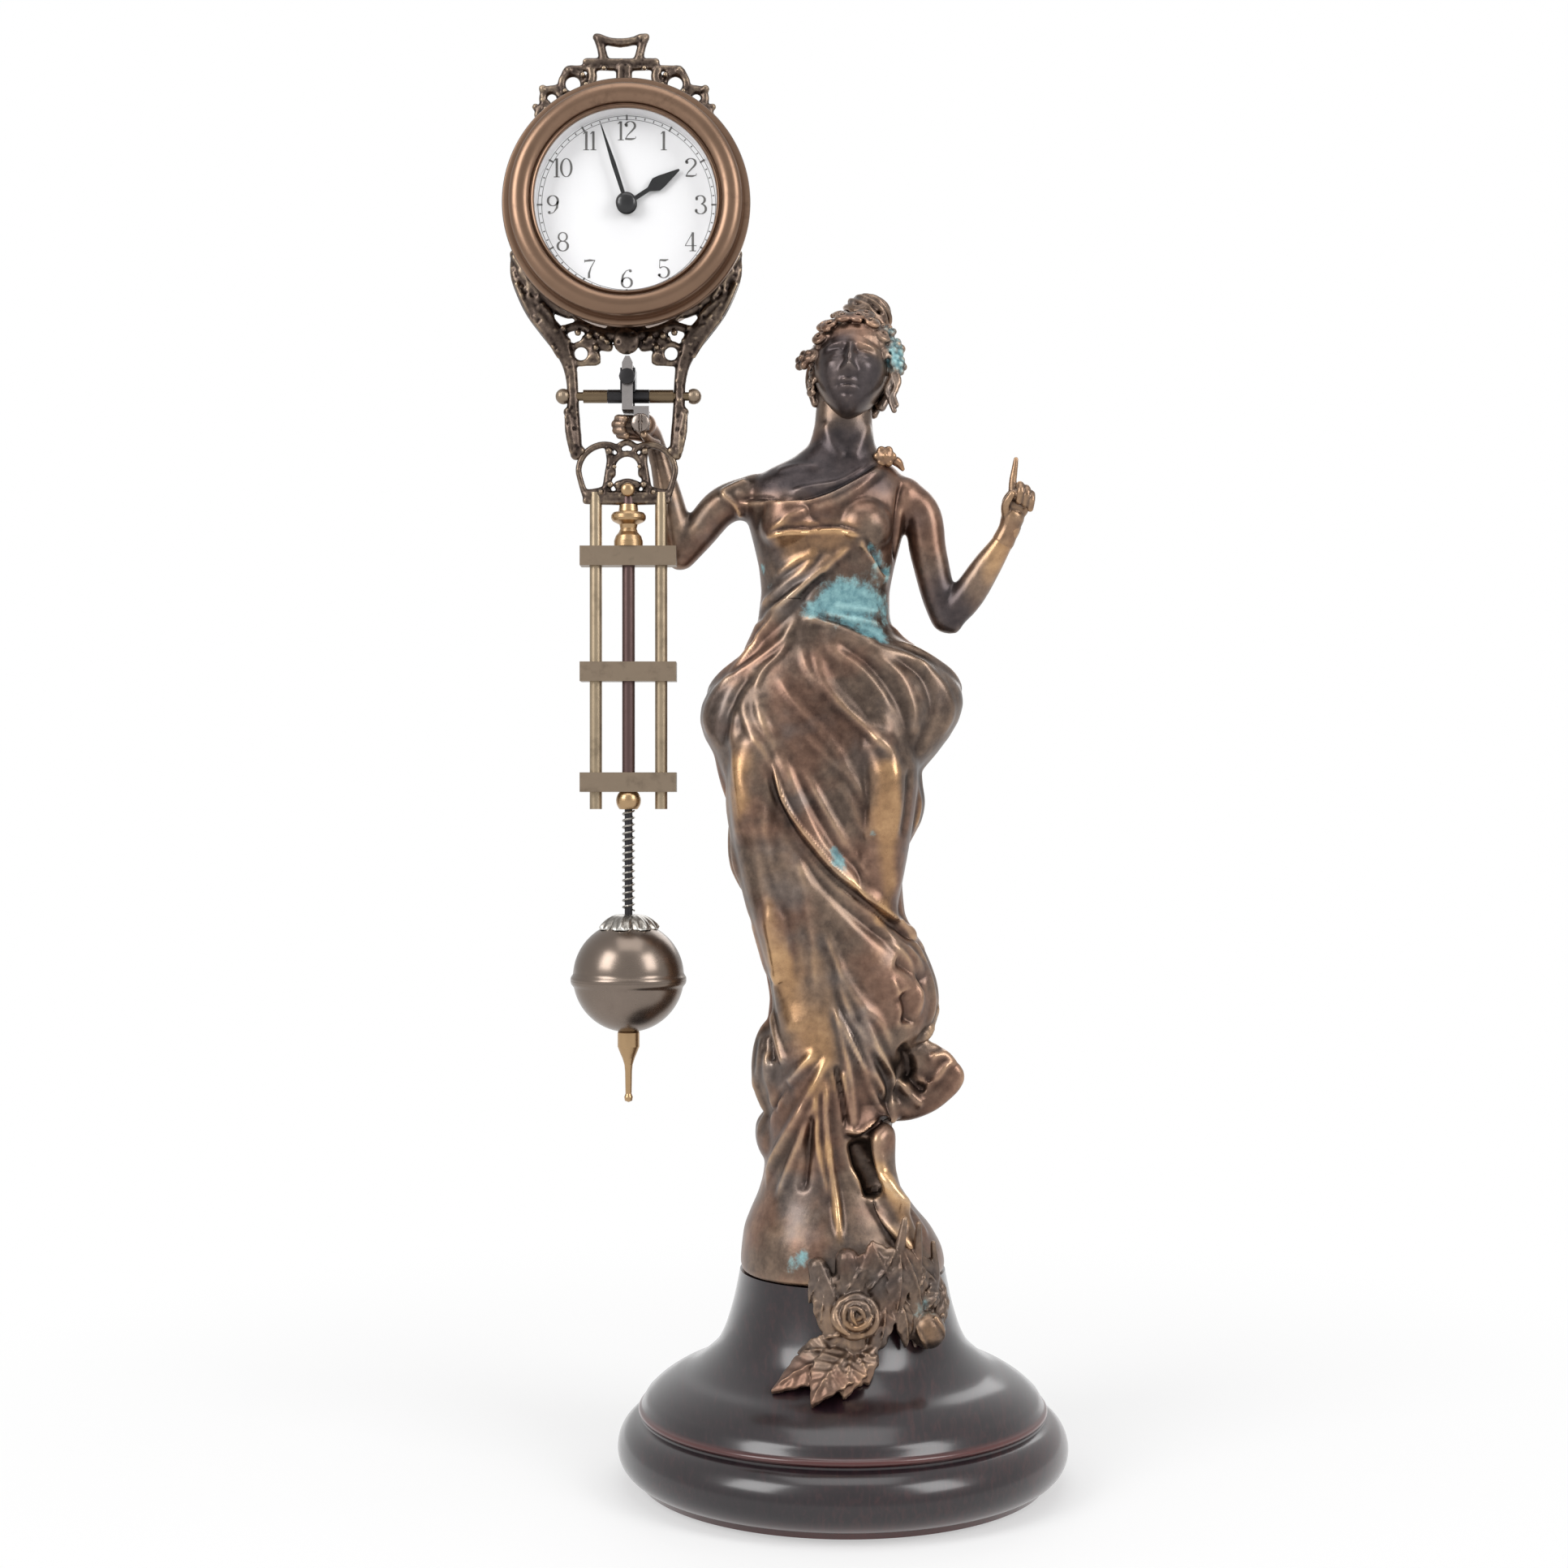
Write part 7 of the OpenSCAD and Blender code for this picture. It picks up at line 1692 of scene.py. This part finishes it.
# %% The acanthus cap
LEAVES = 7
low_cap, high_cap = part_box("bob_cap")
z0, z1, r1 = low_cap.z/MM, high_cap.z/MM, (high_cap.x - low_cap.x)/2/MM
rings = []
around = np.linspace(0, 2*math.pi, 224, endpoint=False)
wave = np.abs(np.cos(LEAVES*around*0.5))**0.7
rib = np.abs(np.cos(LEAVES*around*0.5))**24
for u in np.linspace(0, 1, 28):
    r = 1.7 + (r1 - 1.7)*u**0.85
    z = z1 - 0.5 - (z1 - z0 - 1.3)*u**1.9
    edge = u*u
    lobe = 0.45*np.cos(around*LEAVES*3)*edge*u*wave
    radius = r*(1 - 0.15*edge*(1 - wave)) + 0.5*lobe
    height = z + 0.6*edge*(wave - 0.75) + 0.3*u*rib - 0.4*u**6*wave + 0.2*lobe
    rings.append([(AX + a, AY + b, h) for a, b, h in zip(radius*np.cos(around), radius*np.sin(around),
        np.clip(height, z0, z1 - 0.25))])
under = []
for u in (0.985, 0.8, 0.5, 0.2):
    r = 1.7 + (r1 - 1.7)*u
    lower = BALL_Z + math.sqrt(max(13.62**2 - r*r, 0))
    under.append([(AX + r*(1 - 0.15*u**3*(1 - w))*math.cos(t), AY + r*(1 - 0.15*u**3*(1 - w))*math.sin(t),
        max(lower, z0 - 0.2)) for t, w in zip(around, wave)])
cap = skin("acanthus_cap", rings + under)
outward(cap)
relief_of(cap, reach=6, gain=2.0, offset=0.5)
settle(cap, "bob", CHASED_SILVER, "bob_cap")
print("cap", round(z0, 2), round(z1, 2), round(r1, 2))

# %% [markdown]
# A few small things are read better when they are round: the slotted screw that holds the
# fork to the hand, the domed stud of the palmette, the dark block over the pivot, and the
# rosette that clasps the dress on the shoulder.

# %% Screw, stud, block and clasp
screw_low, screw_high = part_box("fork_screw")
sx, sz, sy = (screw_low.x + screw_high.x)/2/MM, (screw_low.z + screw_high.z)/2/MM, screw_low.y/MM
shank = (screw_high.y - screw_low.y)/MM
dome = [(0, -0.55)] + [(r, -0.55 + 0.5*(r/2.25)**2.4) for r in (0.28, 0.3, 0.6, 1.0, 1.4, 1.8,
    2.1)] + [(2.25, 0.1), (2.25, 0.75), (0.8, 1.0), (0.8, shank), (0, shank)]
screw = turned("slotted_screw", dome, steps=64)
p = points_of(screw)
slot = (np.abs(p[:, 0]) < 0.3) & (p[:, 2] < 0.2)
p[slot, 2] += 0.55
to_front(screw, p, sx, sy, sz)
settle(screw, "stand", SCREW, "fork_screw", angle=35)

stud_low, stud_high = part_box("palmette_stud")
stud_l = (stud_high.y - stud_low.y)/MM
stud = turned("domed_stud", [(0, -1.1)] + [(1.7*math.sin(t), -1.1*math.cos(t)) for t in np.linspace(0.2,
    1.5, 8)] + [(1.7, 0.2), (1.0, 0.5), (1.0, stud_l), (0, stud_l)], steps=48)
to_front(stud, points_of(stud), (stud_low.x + stud_high.x)/2/MM, stud_low.y/MM,
         (stud_low.z + stud_high.z)/2/MM)
settle(stud, "pendulum", WARM, "palmette_stud", angle=35)

pin_low, pin_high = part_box("pivot_pin")
bpy.ops.object.select_all(action="DESELECT")
bpy.ops.mesh.primitive_cylinder_add(vertices=12, radius=1.95, depth=1.3,
    location=((pin_low.x + pin_high.x)/2/MM, pin_low.y/MM - 0.5, (pin_low.z + pin_high.z)/2/MM - 0.5),
    rotation=(math.radians(90), 0, 0))
block = bpy.context.object
block.name = "pivot_block"
bpy.ops.object.transform_apply(location=True, rotation=True, scale=True)
edge = block.modifiers.new("edge", "BEVEL")
edge.width, edge.segments = 0.3, 3
bpy.ops.object.modifier_apply(modifier="edge")
settle(block, "gimbal", BLACK_STEEL, angle=30)

clasp_at = np.array([10.2, -4.8, 250.4])
clasp = [ball("clasp_heart", clasp_at + [0, -1.6, 0], (0.9, 0.9, 0.9), segments=16),
    ball("clasp_body", clasp_at, (2.6, 2.2, 2.4), segments=20)]
for k in range(6):
    t = 2*math.pi*k/6
    clasp.append(ball("clasp_petal", clasp_at + [1.75*math.cos(t), -0.9, 1.65*math.sin(t)],
        (1.15, 0.9, 1.15), segments=16))
clasp.append(limb("clasp_end", [(11.4, -4.6, 250.0, 1.1), (13.4, -4.2, 249.2, 1.2),
    (14.6, -4.0, 247.6, 0.6)], n=12))
clasp_skin = fuse("shoulder_clasp", clasp, 0.22)
attribute(clasp_skin, "warm", np.full(len(clasp_skin.data.vertices), 0.6))
attribute(clasp_skin, "verdigris", np.zeros(len(clasp_skin.data.vertices)))
relief_of(clasp_skin, reach=8, gain=2.0, offset=0.45)
settle(clasp_skin, "stand", FIGURE)
print("small pieces", len(screw.data.vertices), len(stud.data.vertices), len(block.data.vertices),
    len(clasp_skin.data.vertices))

# %% [markdown]
# The bezel and the ball are turned parts too. The exact bezel has the right size; the real
# one has a thin flange, a groove, a fat half-round and a small inner bead, and the ball
# carries a rounded belt. Spun profiles show both, and their rings catch the light.

# %% Bezel and ball
bez_low, bez_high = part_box("bezel")
BR, front, rear = (bez_high.x - bez_low.x)/2/MM, bez_low.y/MM, bez_high.y/MM
INNER = 21.7
ring = [(BR - 2.6, rear), (BR, rear), (BR, rear - 1.5), (BR - 0.25, rear - 1.9), (BR - 1.0, rear - 2.05),
    (BR - 1.45, rear - 1.9), (BR - 1.8, rear - 1.9)]
mid = 25.15
ring += [(mid + 2.55*math.cos(t), front + 2.1 - 2.08*math.sin(t)) for t in np.radians(np.linspace(0, 172,
    26))]
ring += [(22.45, front + 1.9), (22.25, front + 1.5), (21.95, front + 1.4), (INNER, front + 1.7),
    (INNER, front + 2.4), (BR - 2.6, front + 2.4)]
bezel = turned("turned_bezel", ring, close=True)
to_front(bezel, points_of(bezel), AX, 0, HEAD_Z)
settle(bezel, "pendulum", BEZEL, "bezel", angle=40)

BALL_R, BELT_Z = 13.4, BALL_Z - 0.9
lower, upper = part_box("bob_lower"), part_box("bob_upper")
def ball_profile(z_from, z_to):
    out = []
    for z in np.linspace(z_from, z_to, 40):
        r = math.sqrt(max(BALL_R**2 - (z - BALL_Z)**2, 1.3**2))
        out.append((r + 0.6*math.exp(-((z - BELT_Z)/1.25)**4), z))
    return out
for name, low_z, high_z, node in (("ball_lower", lower[0].z/MM, BELT_Z - 0.02, "bob_lower"),
        ("ball_upper", BELT_Z + 0.02, upper[1].z/MM, "bob_upper")):
    half_ball = turned(name, [(1.25, low_z)] + ball_profile(low_z, high_z) + [(1.25, high_z)], (AX, AY, 0),
        steps=120, close=True)
    settle(half_ball, "bob", BALL, node, angle=40)
print("bezel", round(BR, 2), "ball", round(lower[0].z/MM, 2), round(upper[1].z/MM, 2), "centre",
    round(BALL_Z, 2))

# %% [markdown]
# The exact parts keep their shape and only change their finish. A node's own slots are
# emptied first, so that no plain colour is left under the new one.

# %% Finishes of the exact parts
def dress(material, *names):
    for n in names:
        nodes[n].data.materials.clear()
        nodes[n].data.materials.append(material)

bpy.data.objects.remove(figure)
dress(WOOD, "base_wood")
dress(FELT, "base_felt")
dress(STEEL, "base_bolt", "base_washer", "pivot_pin", "fork_screw", "suspension_fork", "winding_arbor")
dress(FIGURE, "figure_foot", "figure_mound", "figure_dress", "figure_torso", "figure_head",
    "figure_arm_raised", "figure_arm_pointing")
dress(LEAF, "rose_spray")
dress(BLACK_STEEL, "gimbal_hub")
dress(CAST, "lyre_frame", "crown", "palmette")
dress(RODS, "side_rod_l", "side_rod_r")
dress(BAR, "crossbar")
dress(PLATES, "crossbar_nut_l", "crossbar_nut_r", "cross_plate_top", "cross_plate_mid", "cross_plate_low")
dress(PLUM, "centre_rod")
dress(WARM, "vase_collar", "palmette_stud", "ball_nut", "rating_nut")
dress(SPRING, "spring")
dress(BLACK_STEEL, "threaded_rod")
dress(SILVER, "bob_cap")
dress(BALL, "bob_upper", "bob_lower", "bob_core")
dress(BEZEL, "bezel", "case_drum", "back_cover", "setting_knob")
dress(WALL, "sight_ring")
dress(GLASS, "glass")
dress(ENAMEL, "dial")
dress(HANDS, "minute_hand", "hour_hand")
dress(BRASS, "front_plate", "back_plate", "pillars", "barrel", "centre_wheel", "third_wheel",
      "escape_wheel", "minute_wheel", "hour_wheel", "cannon_pinion", "inner_pendulum")
bare = [n for n, o in nodes.items() if not o.data.materials or not o.data.materials[0].use_nodes]
print("nodes without a finish:", bare)
